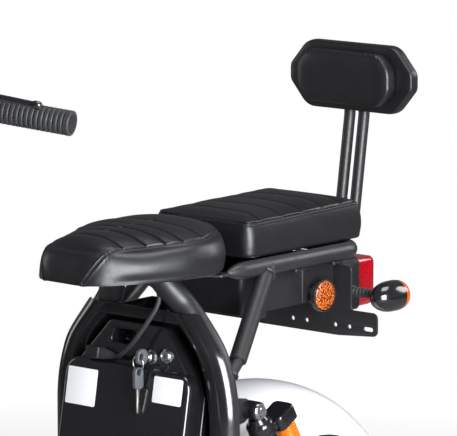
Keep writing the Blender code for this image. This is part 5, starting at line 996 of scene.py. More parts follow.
def build_rear_pad():
    """The passenger's pad: bulged sides that pull in at the foot, a rounded edge and channels."""
    def outline_of(half, front, rear, radius):
        first, *others = oblong(-half, front, half, rear)
        return evenly(rounded([*others, first], radius, 16), 720, True)

    outline = outline_of(PAD_HALF - 0.0005, 0.5115, 0.7615, 0.0080)
    wide, base = outline_of(0.0935, 0.5085, 0.7765, 0.0180), outline_of(0.0895, 0.5125, 0.7735, 0.0170)
    seam_z = table_of([(0.512, 0.7300), (0.600, 0.7315), (0.762, 0.7350)])
    crown = table_of([(0.595, 0.7408), (0.690, 0.7432)])
    grid, marks = crowned(outline, wide, base, PAD_LOW_Z, seam_z, crown, ridge(0.595, 0.690, 1), 3.2)
    seam = seam_of(grid, marks)
    channels = (0.5505, 0.5990, 0.6460, 0.6910, 0.7350)
    grid = channelled(grid, marks, channels, 0.012, PAD_HALF, 0.0022, 0.0015, 0.512, 0.766)
    normals = grid_normals(grid)
    grid = sewn(grid, normals, evenly(seam, 1600, True))
    grid = uneven(grid, normals, 0.050, 0.0010, 7.0)
    obj = dress(skinned("pad_cover", grid, angle=0.0), "vinyl", "frame", "rear_pad")
    piping("pad_seam", np.vstack([seam, seam[:1]]), grid, normals)


def rest_outline(half, high, tip, share):
    """Eight corners of the backrest: its ends taper from the straight share of its width to the tips."""
    flat = half * share
    lower = [(-flat, -high), (flat, -high), (half, -tip)]
    return [*lower, (half, tip), (flat, high), (-flat, high), (-half, tip), (-half, -tip)]


def build_backrest():
    """The covered shell and the stuffed pad sewn to its front."""
    def level(value):
        return lambda plan: np.full(len(plan), value)

    middle = ridge(-0.050, 0.050, 0)
    corners = rest_outline(REST_HALF - 0.0045, REST_HALF_HEIGHT - 0.003, 0.012, 0.72)
    outer = evenly(rounded(corners, [0.030, 0.030, 0.014, 0.014] * 2, 14), 420, True)
    grid, marks = crowned(outer, outer + outward(outer) * 0.0020, outer + outward(outer) * 0.0010, 0.0,
                          level(0.0158), level(0.0178), middle, 9.0, 20, 30)
    shell = settle(skinned("backrest_cover", grid, angle=0.0),
                   shift(0.0, SHELL_Y, REST_CENTRE_Z) @ FACING_Y)
    dress(shell, "vinyl", "frame", "backrest_shell")
    corners = rest_outline(REST_HALF - 0.034, REST_HALF_HEIGHT - 0.0150, 0.016, 0.78)
    inner = evenly(rounded(corners, 0.024, 14), 420, True)
    grid, marks = crowned(inner, inner + outward(inner) * 0.0028, inner + outward(inner) * 0.0010, 0.0,
                          level(0.0172), level(0.0212), middle, 5.5, 24, 44)
    normals = grid_normals(grid)
    pucker = 0.0005 * np.sin(grid[..., 0] * 620.0) * np.exp(-((marks - 0.86) / 0.16) ** 2)[:, None]
    pucker *= grid[..., 1] > 0.030
    grid = uneven(grid + normals * pucker[..., None], normals, 0.040, 0.0005, 11.0)
    pad = settle(skinned("backrest_stuffing", grid, angle=0.0),
                 shift(0.0, REST_Y - 0.0077, REST_CENTRE_Z) @ FACING_Y)
    dress(pad, "vinyl", "frame", "backrest_pad")


# ---- Frame tubes


def arc_x(out, rise):
    """How far out the hoop's arc is at a rise, `out` from its middle line, with the pull near its top."""
    pull = 0.0085 * eased(min(1.0, max(0.0, (rise - 0.090) / 0.060)))
    return HOOP_HALF - HOOP_ARC_RADIUS + sqrt((HOOP_ARC_RADIUS + out) ** 2 - rise ** 2) - pull


def hoop_x(z):
    """Half the distance between the hoop's sides at a height."""
    return arc_x(0.0, max(0.0, z - HOOP_ARC_Z))


def hoop_y(z):
    return HOOP_Y - HOOP_LEAN * max(0.0, z - HOOP_LEAN_FROM) ** 2


def hoop_path():
    """Up both sides, in over the arcs, and across inside the saddle."""
    half = [(HOOP_HALF, HOOP_Y, HOOP_FOOT_Z + (HOOP_ARC_Z - HOOP_FOOT_Z) * step / 10)
            for step in range(10)]
    for step in range(27):
        z = HOOP_ARC_Z + 0.148 * step / 26
        half.append((hoop_x(z), hoop_y(z), z))
    top = spline([half[-1], (0.0690, 0.3905, 0.6280), (0.0560, 0.3770, 0.6500), (0.0470, 0.3660, 0.6680),
                  (0.0340, 0.3570, 0.6830), (0.0150, 0.3530, 0.6880), (0.0, 0.3525, 0.6885)], 8)
    half += [tuple(point) for point in top[1:]]
    return [Vector(point) for point in half] + [Vector((-x, y, z)) for x, y, z in reversed(half[:-1])]


def strut_foot(side):
    return Vector((side * (hoop_x(STRUT_FOOT_Z) + 0.002), HOOP_Y + STRUT_REACH, STRUT_FOOT_Z + 0.012))


def strut_top(side):
    return Vector((side * RACK_HALF, STRUT_TOP_Y, RACK_Z))


def build_hoop():
    """The hoop with its strut stubs, shock ears, bolts and weld beads."""
    dress(swept("hoop_tube", hoop_path(), HOOP_RADIUS, 48), "coat", "frame", "seat_hoop")
    stub_radius, overlap, pin_reach = STRUT_RADIUS * 0.72, 0.004, 0.0125
    near = SHOCK_X - 0.012 - 0.0015
    y, z = SHOCK_TOP
    ear = rounded([(HOOP_Y + 0.006, z - 0.024), (y - 0.004, z - 0.018), (y + 0.016, z), (y, z + 0.016),
                   (HOOP_Y + 0.006, z + 0.024)], [0.001, 0.012, 0.012, 0.012, 0.001])
    for side, word in SIDES:
        foot, top = strut_foot(side), strut_top(side)
        down = (foot - top).normalized()
        root = Vector((side * hoop_x(STRUT_FOOT_Z - 0.02), HOOP_Y, STRUT_FOOT_Z - 0.020))
        dress(swept(f"strut_stub_{word}", [foot - down * 0.006, foot + down * 0.002, root], stub_radius,
                    32), "coat", "frame")
        weld(f"stub_weld_{word}", foot + (root - foot) * 0.50, root - foot, stub_radius * 1.05, 0.0030)
        strut = swept(f"strut_{word}", [top, top + (foot - top) * 0.98, foot - down * 0.0015, foot],
                      [STRUT_RADIUS, STRUT_RADIUS, STRUT_RADIUS, STRUT_RADIUS - 0.0015], 40)
        dress(strut, "coat", "frame")
        weld(f"strut_weld_{word}", top + down * (RACK_RADIUS + 0.0005), down, STRUT_RADIUS * 1.03, 0.0026)
        place = shift(side * (near + HOOP_HALF - overlap) / 2, 0, 0) @ FACING_X
        dress(slab(f"shock_ear_{word}", ear, near - HOOP_HALF + overlap, 0.0012, place), "coat", "frame")
        pin = swept(f"shock_pin_{word}", [(side * near, y, z), (side * (SHOCK_X + pin_reach), y, z)],
                    0.0049, 24)
        dress(pin, "zinc", "frame")
        bolt(f"shock_bolt_{word}", (side * (SHOCK_X + 0.0122), y, z), (side, 0, 0), 0.0088, "zinc",
             "frame")


def build_rack():
    """The loop under the rear pad, drawn to points at its front."""
    corners = [(RACK_HALF, RACK_TIP_Y, RACK_Z), (RACK_HALF, RACK_REAR_Y, RACK_Z),
               (-RACK_HALF, RACK_REAR_Y, RACK_Z), (-RACK_HALF, RACK_TIP_Y, RACK_Z)]
    path = bent(corners, [RACK_CORNER, RACK_CORNER], 18)
    steps = 12
    taper = [Vector((RACK_HALF, RACK_TIP_Y + RACK_TAPER * step / steps, RACK_Z))
             for step in range(steps + 1)]
    other = [Vector((-p.x, p.y, p.z)) for p in reversed(taper)]
    radii = [RACK_RADIUS * (0.20 + 0.80 * sin(pi / 2 * step / steps) ** 0.85)
             for step in range(steps + 1)]
    path = taper + path[1:-1] + other
    radii = radii + [RACK_RADIUS] * (len(path) - 2 * len(radii)) + list(reversed(radii))
    dress(swept("rack_tube", path, radii, 40), "coat", "frame", "rear_rack")


# ---- Battery and its case


def case_ring(z):
    """One level of the battery case: round both tubes, back along its sides and across."""
    steps = 16
    middle_y = hoop_y(z)
    rise = max(0.0, z - HOOP_ARC_Z)
    back = case_back(z)
    inner = HOOP_RADIUS + 9 * GAP
    halves = []
    for radius, rear in ((inner, back + CASE_WALL / 2), (inner + CASE_WALL, back - CASE_WALL / 2)):
        half = []
        for step in range(steps + 1):
            turn = CASE_LIP_TURN - (CASE_LIP_TURN + pi / 2) * step / steps
            half.append((arc_x(radius * sin(turn), rise), middle_y - radius * cos(turn)))
        half.append((arc_x(-radius, rise), rear))
        halves.append(half)
    behind, ahead = halves
    ring = behind + mirrored(behind) + [(-x, y) for x, y in ahead] + list(reversed(ahead))
    return [(x, y, z) for x, y in ring]


def case_back(z):
    """Where the leaning back of the case is at a height."""
    return BATTERY_FRONT_Y + (z - BATTERY_FRONT_Z) * tan(CASE_LEAN) + CASE_DEPTH


def build_case():
    """The open-fronted case: its shell, the brow across its top and its floor."""
    steps = 16
    turn = asin((CASE_TOP_Z - HOOP_ARC_Z) / HOOP_ARC_RADIUS)
    levels = [CASE_BOTTOM_Z + (HOOP_ARC_Z - CASE_BOTTOM_Z) * i / 4 for i in range(4)]
    levels += [HOOP_ARC_Z + HOOP_ARC_RADIUS * sin(turn * step / steps) for step in range(steps + 1)]
    shell = skinned("case_shell", [case_ring(z) for z in levels], angle=40.0)
    edge = shell.modifiers.new("edges", "BEVEL")
    edge.width = 0.0007
    edge.segments = 2
    edge.limit_method = "ANGLE"
    edge.angle_limit = radians(40.0)
    edge.harden_normals = True
    dress(shell, "gloss", "frame", "battery_case")
    reach = HOOP_RADIUS * 0.35
    top, low = hoop_x(CASE_TOP_Z) - reach, hoop_x(BROW_LOW_Z) - reach
    brow = slab("case_brow",
                [(-low, BROW_LOW_Z), (low, BROW_LOW_Z), (top, CASE_TOP_Z), (-top, CASE_TOP_Z)], CASE_WALL,
                0.0008, shift(0.0, CASE_FRONT_Y + CASE_WALL / 2, 0.0) @ FACING_Y)
    dress(brow, "gloss", "frame")
    side = hoop_x(CASE_BOTTOM_Z) - HOOP_RADIUS - 2 * GAP - CASE_WALL / 2
    floor = slab("case_floor", oblong(-side, BATTERY_FRONT_Y - 0.020, side, case_back(CASE_BOTTOM_Z)),
                 CASE_WALL, 0.0008, shift(0, 0, CASE_BOTTOM_Z + CASE_WALL / 2))
    dress(floor, "gloss", "frame")


def leaned(x=0.0, y=0.0, z=0.0):
    """A place in the battery's own leaning frame, whose origin is on its front."""
    frame = shift(0, BATTERY_FRONT_Y, BATTERY_FRONT_Z) @ Matrix.Rotation(-CASE_LEAN, 4, "X")
    return frame @ shift(x, y, z)


def leaned_point(x, y, z):
    return leaned() @ Vector((x, y, z))


def build_battery():
    """The battery: a proud front plate, a stepped-back top with a hand hole, body and labels."""
    half = BATTERY_HALF
    corners = oblong(-half, BATTERY_LOW, half, BATTERY_SHOULDER)
    front = slab("battery_front", rounded(corners, [0.012, 0.012, 0.026, 0.026]), BATTERY_PLATE, 0.0065,
                 leaned(0, BATTERY_PLATE / 2, 0) @ FACING_Y, resolution=6)
    dress(front, "gloss", "frame", "battery_pack")
    inner, shoulder, top = half - 0.004, 0.101, 0.053
    shape = [(-inner, BATTERY_LOW + 0.004), (inner, BATTERY_LOW + 0.004), (inner, 0.002),
             (shoulder, BATTERY_SHOULDER + 0.002), (top, BATTERY_HIGH), (-top, BATTERY_HIGH),
             (-shoulder, BATTERY_SHOULDER + 0.002), (-inner, 0.002)]
    outline = rounded(shape, [0.006, 0.006, 0.010, 0.010, 0.012, 0.012, 0.010, 0.010])
    hole = rounded([(-0.0500, 0.0640), (-0.0010, 0.0640), (-0.0010, 0.0850), (-0.0420, 0.0850)], 0.0065)
    thick = 0.030
    face = slab("battery_face", outline, thick, 0.0022,
                leaned(0, BATTERY_RECESS + thick / 2, 0) @ FACING_Y, [hole])
    dress(face, "gloss", "frame")
    deep = BATTERY_DEPTH - BATTERY_RECESS - thick
    body = slab("battery_body", outline, deep + 0.001, 0.003,
                leaned(0, BATTERY_DEPTH - deep / 2, 0) @ FACING_Y)
    dress(body, "gloss", "frame")
    for word, corners in (("a", oblong(-0.112, -0.033, -0.054, 0.021)),
                          ("b", oblong(0.055, -0.011, 0.110, 0.027))):
        label = slab(f"label_{word}", rounded(corners, 0.0025, 6), 0.0004, 0.0001,
                     leaned(0, -0.00025, 0) @ FACING_Y)
        dress(label, "label", "frame")


def build_lead(plugs):
    """The charging lead from its plug on the ledge up under the seat plate."""
    start = leaned_point(PLUG_X + 0.0300, PLUG_Y, PLUG_LOW + PLUG_RISE)
    route = [start, start + Vector((0.010, -0.0005, 0.0002)), (-0.0080, 0.345, 0.5500),
             (0.0060, 0.3455, 0.5610), (0.0180, 0.347, 0.5750), (0.0290, 0.350, 0.5900),
             (0.0390, 0.354, 0.6060), (0.0455, 0.3595, 0.6200), (0.0475, 0.3645, 0.6340),
             (0.0440, 0.3660, 0.6460), (0.0350, 0.3620, 0.6550), (0.0220, 0.3550, 0.6600)]
    path = spline([tuple(point) for point in route], 8)
    lead = dress(swept("lead", path, LEAD_RADIUS, 20, angle=0.0), "rubber", "frame", "battery_lead")


# ---- Tail


def build_posts():
    """The two bent posts behind the backrest, with their plate, foot and screws."""
    back_y = REST_Y + 0.008 + 2 * GAP + 0.008 - 0.0035
    under = REST_CENTRE_Z - REST_HALF_HEIGHT - 0.006
    start_y, low_z = RACK_REAR_Y + RACK_RADIUS + GAP, RACK_Z - 0.002
    post_x, post_radius, half, high, thick = 0.0138, 0.0087, 0.034, 0.026, 0.005
    for side, word in SIDES:
        x = side * post_x
        path = bent([(x, start_y, low_z), (x, 0.8420, low_z), (x, back_y, under),
                     (x, back_y, REST_CENTRE_Z + 0.024)], [0.034, 0.030], 18)
        nodes = ("backrest_posts",) if side > 0 else ()
        dress(swept(f"post_{word}", path, post_radius, 36), "coat", "frame", *nodes)
        weld(f"post_weld_{word}", (x, start_y + 0.002, low_z), (0, 1, 0), 0.0082, 0.0022)
    face = SHELL_Y + GAP
    plate = slab("post_plate",
                 rounded(oblong(-half, REST_CENTRE_Z - high, half, REST_CENTRE_Z + high), 0.007), thick,
                 0.0008, shift(0, face + thick / 2, 0) @ FACING_Y)
    dress(plate, "coat", "frame")
    for index, (x, z) in enumerate(((-0.028, -0.020), (0.028, -0.020), (-0.028, 0.020), (0.028, 0.020))):
        bolt(f"post_screw_{index}", (x, face + thick, REST_CENTRE_Z + z), (0, 1, 0), 0.0036, "zinc",
             "frame")
    block("post_foot", (-0.026, start_y, low_z - 0.004), (0.026, start_y + 0.028, low_z + 0.004), 0.004,
          0.001, "coat", "frame")


def build_box():
    """The controller box: a moulded tray with upright grooves, a lip below and its ears."""
    front, rear, low, high = 0.512, 0.728, 0.592, RACK_Z - RACK_RADIUS - GAP
    half, wall, groove, depth = 0.075, 0.003, 0.6475, 0.0012

    def outline(inset):
        a, f, r = half - inset, front + inset, rear - inset
        right = [(a, groove - 0.005), (a - depth, groove - 0.0036), (a - depth, groove + 0.0036),
                 (a, groove + 0.005)]
        corner, notch = 0.008 - inset * 0.6, [0.0004] * 4
        corners = [(a, f), *right, (a, r), (-a, r), *mirrored(right), (-a, f)]
        return rounded(corners, [corner, *notch, corner, corner, *notch, corner], 5)

    rings = []
    for inset, z in ((0.0020, low), (0.0006, low + 0.0006), (0.0, low + 0.0020), (0.0, high - 0.0006),
                     (0.0006, high), (wall - 0.0006, high), (wall, high - 0.0006),
                     (wall, low + wall + 0.0015), (wall + 0.0015, low + wall)):
        rings.append([(x, y, z) for x, y in outline(inset)])
    dress(skinned("box_tray", rings), "moulded", "frame", "tail_box")
    block("box_lip", (-half + 0.006, front + 0.030, low - 0.010),
          (half - 0.002, front + 0.062, low + 0.002), 0.004, 0.0025, "moulded", "frame")
    cup_line = [(0.0, 0.0), (0.0165, 0.0), (0.0168, 0.0095), (0.0232, 0.0106), (0.0248, 0.0122),
                (0.0250, 0.0190), (0.0242, 0.0200), (0.0226, 0.0196), (0.0222, 0.0170), (0.0, 0.0168)]
    glass_line = [(0.0, 0.0172), (0.0218, 0.0172), (0.0219, 0.0198), (0.0205, 0.0210), (0.0120, 0.0222),
                  (0.0, 0.0226)]
    reflector_y, reflector_z = 0.680, 0.603
    for side, word in SIDES:
        near, far = sorted((side * (half - 0.001), side * (RACK_HALF + 0.004)))
        for name, y0, y1 in (("front", front + 0.090, front + 0.115),
                             ("rear", rear - 0.040, rear - 0.015)):
            block(f"box_ear_{name}_{word}", (near, y0, high - 0.004), (far, y1, high), 0.004, 0.0008,
                  "moulded", "frame")
            bolt(f"box_screw_{name}_{word}", (side * (RACK_HALF - 0.006), (y0 + y1) / 2, high - 0.004),
                 (0, 0, -1), 0.0038, "coat", "frame")
        place = aim((side * (half + GAP), reflector_y, reflector_z), (side, 0, 0))
        dress(turned(f"reflector_cup_{word}", cup_line, 72, place), "black_alloy", "frame",
              f"side_reflector_{word}")
        dress(turned(f"reflector_glass_{word}", glass_line, 72, place), "sparkle", "frame")


def build_bracket():
    """The number plate's bracket with its holes and slots."""
    half, low, end, top, shoulder = 0.150, 0.533, 0.574, 0.640, 0.100
    outline = rounded([(-half, low + 0.006), (-half * 0.5, low), (half * 0.5, low), (half, low + 0.006),
                       (half, end), (shoulder, end), (shoulder, top), (-shoulder, top), (-shoulder, end),
                       (-half, end)],
                      [0.009, 0.004, 0.004, 0.009, 0.009, 0.004, 0.009, 0.009, 0.004, 0.009], 8)
    row, slot_x, slot_half, hole = 0.5485, 0.133, 0.00575, 0.00325
    holes = [circle(side * x, row, hole, 28) for side in (-1, 1) for x in (0.0137, 0.0695, 0.0967)]
    turns = [pi * step / 14 for step in range(15)]
    for side in (-1, 1):
        right = [(side * slot_x + slot_half + hole * sin(turn), row - hole * cos(turn)) for turn in turns]
        left = [(side * slot_x - slot_half - hole * sin(turn), row + hole * cos(turn)) for turn in turns]
        holes.append(right + left)
    obj = slab("bracket", outline, 0.003, 0.0005, shift(0, BRACKET_Y, 0) @ FACING_Y, holes, 2)
    dress(obj, "coat", "frame", "plate_bracket")
    for side, word in SIDES:
        bolt(f"bracket_bolt_{word}", (side * 0.050, BRACKET_Y - 0.0015, LAMP_Z), (0, -1, 0), 0.0052,
             "zinc", "frame")


def build_tail_light():
    """The lamp's housing and its red lens with a lip."""
    middle, half, high, start = 0.6015, 0.060, 0.0385, BEHIND_BRACKET_Y
    rings = [rounded_ring(0, middle, half * wide, high * tall, 0.010, y)
             for y, wide, tall in ((start, 0.56, 0.68), (start + 0.001, 0.58, 0.70),
                                   (start + 0.012, 0.72, 0.82), (0.778, 0.98, 1.0), (0.790, 1.03, 1.04),
                                   (0.7995, 1.05, 1.05), (0.7997, 1.04, 1.04))]
    dress(skinned("lamp_housing", rings), "moulded", "frame", "tail_light_housing")
    rings = [rounded_ring(0, middle, half * share, high * share, 0.008, y)
             for y, share in ((0.800, 0.985), (0.8004, 1.0), (0.804, 1.0), (0.805, 0.975), (0.833, 0.965),
                              (0.840, 0.945), (0.844, 0.905), (0.845, 0.860), (0.8446, 0.700),
                              (0.8438, 0.40), (0.8436, 0.10))]
    dress(skinned("lamp_lens", rings, angle=25.0), "red", "frame", "tail_light_lens")


def build_signals():
    """The rear signals: ribbed rubber stalks, gloss bodies and amber lenses to the rear."""
    length, radius, y, z = 0.066, 0.023, 0.7477, LAMP_Z
    root, tip, foot_x, ribs = 0.086, 0.1600, 0.090, 7
    stalk = [(0.0, root), (0.0092, root), (0.0096, root + 0.0006), (0.0096, root + 0.0060),
             (0.0088, root + 0.0066)]
    first, last = root + 0.008, tip - radius * 0.95
    pitch = (last - first) / ribs
    for index in range(ribs):
        at, wide = first + pitch * index, 0.0082 - 0.0003 * index
        stalk += [(wide - 0.0022, at), (wide - 0.0006, at + pitch * 0.16), (wide, at + pitch * 0.34),
                  (wide, at + pitch * 0.60), (wide - 0.0006, at + pitch * 0.78)]
    stalk += [(0.0068, last), (0.0066, last + 0.0010), (0.0066, tip), (0.0, tip)]
    front, rear = -length * 0.52, length * 0.28
    bowl = ((0.16, 0.0003), (0.34, 0.0022), (0.52, 0.0056), (0.68, 0.0102), (0.82, 0.0160),
            (0.92, 0.0224), (0.98, 0.0300), (1.0, 0.0370))
    shell = [(0.0, front), *[(radius * share, front + back) for share, back in bowl],
             (radius, rear - 0.0040), (radius * 0.985, rear - 0.0006), (radius * 0.96, rear),
             (0.0, rear)]
    dome = ((0.965, 0.0022), (0.94, 0.0060), (0.86, 0.0098), (0.72, 0.0122), (0.45, 0.0136))
    glass = [(0.0, rear + GAP), (radius * 0.965, rear + GAP),
             *[(radius * share, rear + back) for share, back in dome], (0.0, rear + 0.0140)]
    for side, word in SIDES:
        dress(turned(f"signal_stalk_{word}", stalk, 56, aim((0, y, z), (side, 0, 0)), 20.0), "rubber",
              "frame", f"rear_signal_{word}")
        pole(f"signal_foot_{word}", (side * foot_x, BEHIND_BRACKET_Y, z), (side * foot_x, y, z), 0.0075,
             "moulded", "frame")
        place = aim((side * tip, y, z), (0, 1, 0))
        dress(turned(f"signal_shell_{word}", shell, 80, place, 22.0), "gloss", "frame")
        dress(turned(f"signal_glass_{word}", glass, 80, place, 25.0), "amber", "frame",
              f"rear_signal_lens_{word}")


# ---- Locks, plug and keys


PLUG_X, PLUG_Y, PLUG_LOW, PLUG_RISE = -0.058, 0.002, BATTERY_SHOULDER + 2 * GAP, 0.0085
IGNITION_X, IGNITION_Z, IGNITION_OUT = 0.036, 0.0515, 0.0125
LOCK_X, LOCK_Z, LOCK_OUT = 0.065, 0.0565, 0.0075
KEY_HOLE, KEY_HOLE_DOWN = 0.0045, 0.0070


def build_plug():
    """The lead's plug on the battery's ledge, with the ribs that relieve the lead."""
    far_x, near_x, front, high = -0.0780, -0.0520, -0.008, 0.0185
    plug = block("plug_body", (far_x, front, PLUG_LOW),
                 (near_x, BATTERY_RECESS - GAP, PLUG_LOW + high), 0.0036, 0.0030, "moulded", "frame",
                 "battery_plug", place=leaned())
    rings = []
    for index in range(6):
        at = 0.0065 + 0.0036 * index
        wide = 0.0080 - 0.0006 * index
        rings += [(wide, at), (wide, at + 0.0018), (wide - 0.0012, at + 0.0020),
                  (wide - 0.0012, at + 0.0030)]
    profile = [(0.0, 0.0050), *rings, (0.0042, 0.0300), (0.0, 0.0300)]
    relief = turned("plug_relief", profile, 40, leaned(PLUG_X, PLUG_Y, PLUG_LOW + PLUG_RISE) @ TO_X)
    dress(relief, "rubber", "frame")
    return [plug, relief]


def barrel(name, x, z, out, bore, mouth):
    """A lock's barrel on the battery's face; `mouth` is the end of its profile."""
    profile = [(bore, 0.0), (0.0100, 0.0), (0.0109, 0.0008), (0.0109, 0.0022), (0.0100, 0.0030),
               (0.0086, 0.0034), (0.0085, out - 0.0010), (0.0078, out), *mouth]
    place = leaned(x, BATTERY_RECESS - GAP, z) @ Matrix.Rotation(pi / 2, 4, "X")
    dress(turned(f"{name}_barrel", profile, 64, place), "zinc", "frame", f"{name}_lock")


def build_locks():
    """The two lock barrels, the key plug and the key with the ring and its spare."""
    face, bore = BATTERY_RECESS - GAP, 0.0061
    barrel("ignition", IGNITION_X, IGNITION_Z, IGNITION_OUT, bore,
           [(bore + 0.0006, IGNITION_OUT), (bore, IGNITION_OUT - 0.0006)])
    barrel("battery", LOCK_X, LOCK_Z, LOCK_OUT, 0.0,
           [(0.0062, LOCK_OUT), (0.0058, LOCK_OUT - 0.0008), (0.0, LOCK_OUT - 0.0010)])
    # the keyway is a thin near-black block: painted shade where the slot's hole would be
    block("battery_slot", (-0.0009, -0.0004, -0.0042), (0.0009, 0.0004, 0.0042), 0.0003, 0.0001, "joint",
          "frame", place=leaned(LOCK_X, face - 0.0066, LOCK_Z))
    mouth_y = face - IGNITION_OUT
    plug = turned("key_plug",
                  [(0.0, -0.008), (0.0055, -0.008), (0.0055, 0.0004), (0.0050, 0.0010), (0.0, 0.0010)],
                  48, leaned(IGNITION_X, mouth_y, IGNITION_Z) @ Matrix.Rotation(pi / 2, 4, "X"))
    dress(plug, "zinc", "key")
    turned_out = Matrix(((0, 1, 0, IGNITION_X), (0, 0, -1, mouth_y), (-1, 0, 0, IGNITION_Z),
                         (0, 0, 0, 1)))
    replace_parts(key_shape("ignition_key", 0.0115, 0.0215, 0.004, leaned() @ turned_out, "key"),
                "ignition_key")
    ring_radius, wire = 0.0100, 0.0009
    top = leaned_point(IGNITION_X, mouth_y - 0.019, IGNITION_Z)
    middle, turns = top - Vector((0, 0, ring_radius)), np.linspace(0, 2 * pi, 97)[:-1]
    ring = [middle + Vector((ring_radius * sin(t), 0.0006 * sin(t / 2), ring_radius * cos(t)))
            for t in turns]
    dress(swept("ring_wire", ring, wire, 14, True, angle=0.0), "zinc", "ring", "key_ring")
    spare_head = 0.033
    hang = top.z - 2 * ring_radius - (KEY_HOLE - wire - 3 * GAP) - (spare_head - KEY_HOLE_DOWN)
    place = shift(IGNITION_X, top.y, hang) @ Matrix.Rotation(pi / 2, 4, "Z")
    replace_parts(key_shape("spare_key", 0.0088, spare_head, 0.035, place, "ring"), "spare_key")


def key_shape(name, half, head, blade, place, body):
    """A key: a soft plastic head with its hole, which it returns, and a cut steel blade."""
    outline = rounded(oblong(-half, 0.001, half, head), half * 0.74, 12)
    hole = circle(0.0, head - KEY_HOLE_DOWN, KEY_HOLE, 40)
    grip = slab(f"{name}_head", outline, 0.007, 0.0018, place @ FACING_Y, [hole], 4)
    dress(grip, "grey", body)
    wide = 0.0036
    cuts = [(-wide, 0.004), (-wide, -blade + 0.003), (-0.0010, -blade), (0.0014, -blade + 0.0018)]
    depths = (0.0008, 0.0019, 0.0012, 0.0022, 0.0009, 0.0017, 0.0011)
    for index, depth in enumerate(depths):
        z = -blade + 0.0030 + (blade * 0.72) * index / len(depths)
        cuts += [(wide - depth, z), (wide - depth * 0.4, z + blade * 0.055)]
    cuts += [(wide, -blade * 0.20), (wide, 0.004)]
    dress(slab(f"{name}_blade", cuts, 0.0018, 0.0002, place @ FACING_Y, [], 1), "blade", body)
    return grip


# ---- Shocks, fenders and wheels


def eye_profile(bore, radius):
    """A shock's eye: a bored barrel with rounded rims."""
    half = [(bore, -0.012), (radius - 0.0035, -0.012), (radius - 0.0004, -0.0112), (radius, -0.0100)]
    return half + mirrored(half, 1)


def build_shocks():
    """The dampers with their reservoirs, rods and springs."""
    rise, run = SHOCK_TOP[1] - SHOCK_LOW[1], SHOCK_LOW[0] - SHOCK_TOP[0]
    lean, length = atan2(run, rise), hypot(rise, run)
    collar, seat = -0.088, -0.224
    curls, steps, coil_radius, wire = 6, 44, 0.0215, 0.0034
    low, high = seat + 0.0037, collar - 0.0037
    coil = []
    for step in range(curls * steps + 1):
        turn = 2 * pi * step / steps
        coil.append((coil_radius * cos(turn), coil_radius * sin(turn),
                     low + (high - low) * (step / (curls * steps))))
    barrel_line = [(0.0, -0.0120), (0.0120, -0.0120), (0.0134, -0.0150), (0.0150, -0.0190),
                   (0.0190, -0.0225), (0.0200, -0.0245)]
    for index in range(3):
        at = -0.0300 - 0.0120 * index
        barrel_line += [(0.0200, at), (0.0186, at - 0.0014), (0.0186, at - 0.0052), (0.0200, at - 0.0066)]
    barrel_line += [(0.0200, collar + 0.0132), (0.0260, collar + 0.0120), (0.0265, collar + 0.0110),
                    (0.0265, collar + 0.0012), (0.0255, collar), (0.0135, collar), (0.0135, -0.1590),
                    (0.0128, -0.1600), (0.0078, -0.1600), (0.0078, -0.1000), (0.0, -0.1000)]
    out, drop, first = 0.0425, 0.0215, -0.0550
    square = rounded(oblong(-0.0190, -0.0215, 0.0190, 0.0190), 0.0085, 10)
    cap_rings = [[(x * wide, y * wide + out, z) for x, y in square]
                 for z, wide in ((-0.0335 - drop, 0.955), (-0.0330 - drop, 1.0), (-0.0150 - drop, 1.0),
                                 (-0.0120 - drop, 0.965), (-0.0105 - drop, 0.90))]
    reservoir_line = [(0.0, first + 0.0003), (0.0166, first + 0.0003), (0.0170, first)]
    for index in range(8):
        at = first - 0.0020 - 0.0044 * index
        reservoir_line += [(0.0170, at), (0.0162, at - 0.0008), (0.0160, at - 0.0014),
                           (0.0162, at - 0.0020), (0.0170, at - 0.0028)]
    reservoir_line += [(0.0170, -0.0920), (0.0160, -0.0936), (0.0140, -0.0940), (0.0, -0.0940)]
    shaft_line = [(0.0, -length + 0.0100), (0.0090, -length + 0.0100), (0.0100, -length + 0.0125),
                  (0.0120, seat - 0.0120), (0.0140, seat - 0.0116), (0.0255, seat - 0.0056),
                  (0.0265, seat - 0.0044), (0.0265, seat - 0.0008), (0.0257, seat), (0.0140, seat),
                  (0.0075, seat + 0.0010), (0.0065, seat + 0.0030), (0.0065, -0.1405), (0.0060, -0.1400),
                  (0.0, -0.1400)]
    for side, word in SIDES:
        place = shift(side * SHOCK_X, *SHOCK_TOP) @ Matrix.Rotation(lean, 4, "X")
        upper, lower = f"shock_upper_{word}", f"shock_lower_{word}"
        dress(turned(f"shock_eye_{word}", eye_profile(0.0056, 0.0140), 56, place @ TO_X), "gloss", upper,
              f"shock_body_{word}")
        dress(turned(f"shock_barrel_{word}", barrel_line, 72, place, 25.0), "gloss", upper)
        bridge = slab(f"shock_bridge_{word}",
                      rounded([(-0.010, 0.0), (0.010, 0.0), (0.013, out), (-0.013, out)], 0.0012, 4),
                      0.013, 0.0018, place @ shift(0, 0, -0.0430))
        dress(bridge, "gloss", upper)
        dress(settle(skinned(f"shock_cap_{word}", cap_rings, angle=30.0), place), "gloss", upper)
        dress(turned(f"reservoir_{word}", reservoir_line, 72, place @ shift(0, out, 0), 25.0), "orange",
              upper, f"shock_reservoir_{word}")
        foot = turned(f"shock_foot_{word}", eye_profile(0.0062, 0.0135), 56,
                      place @ shift(0, 0, -length) @ TO_X)
        dress(foot, "gloss", lower, f"shock_rod_{word}")
        dress(turned(f"shock_shaft_{word}", shaft_line, 64, place, 25.0), "black_alloy", lower)
        spring = settle(swept(f"spring_{word}", coil, wire, 16, angle=0.0), place)
        dress(spring, "orange", upper, f"shock_spring_{word}")
        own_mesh(spring)


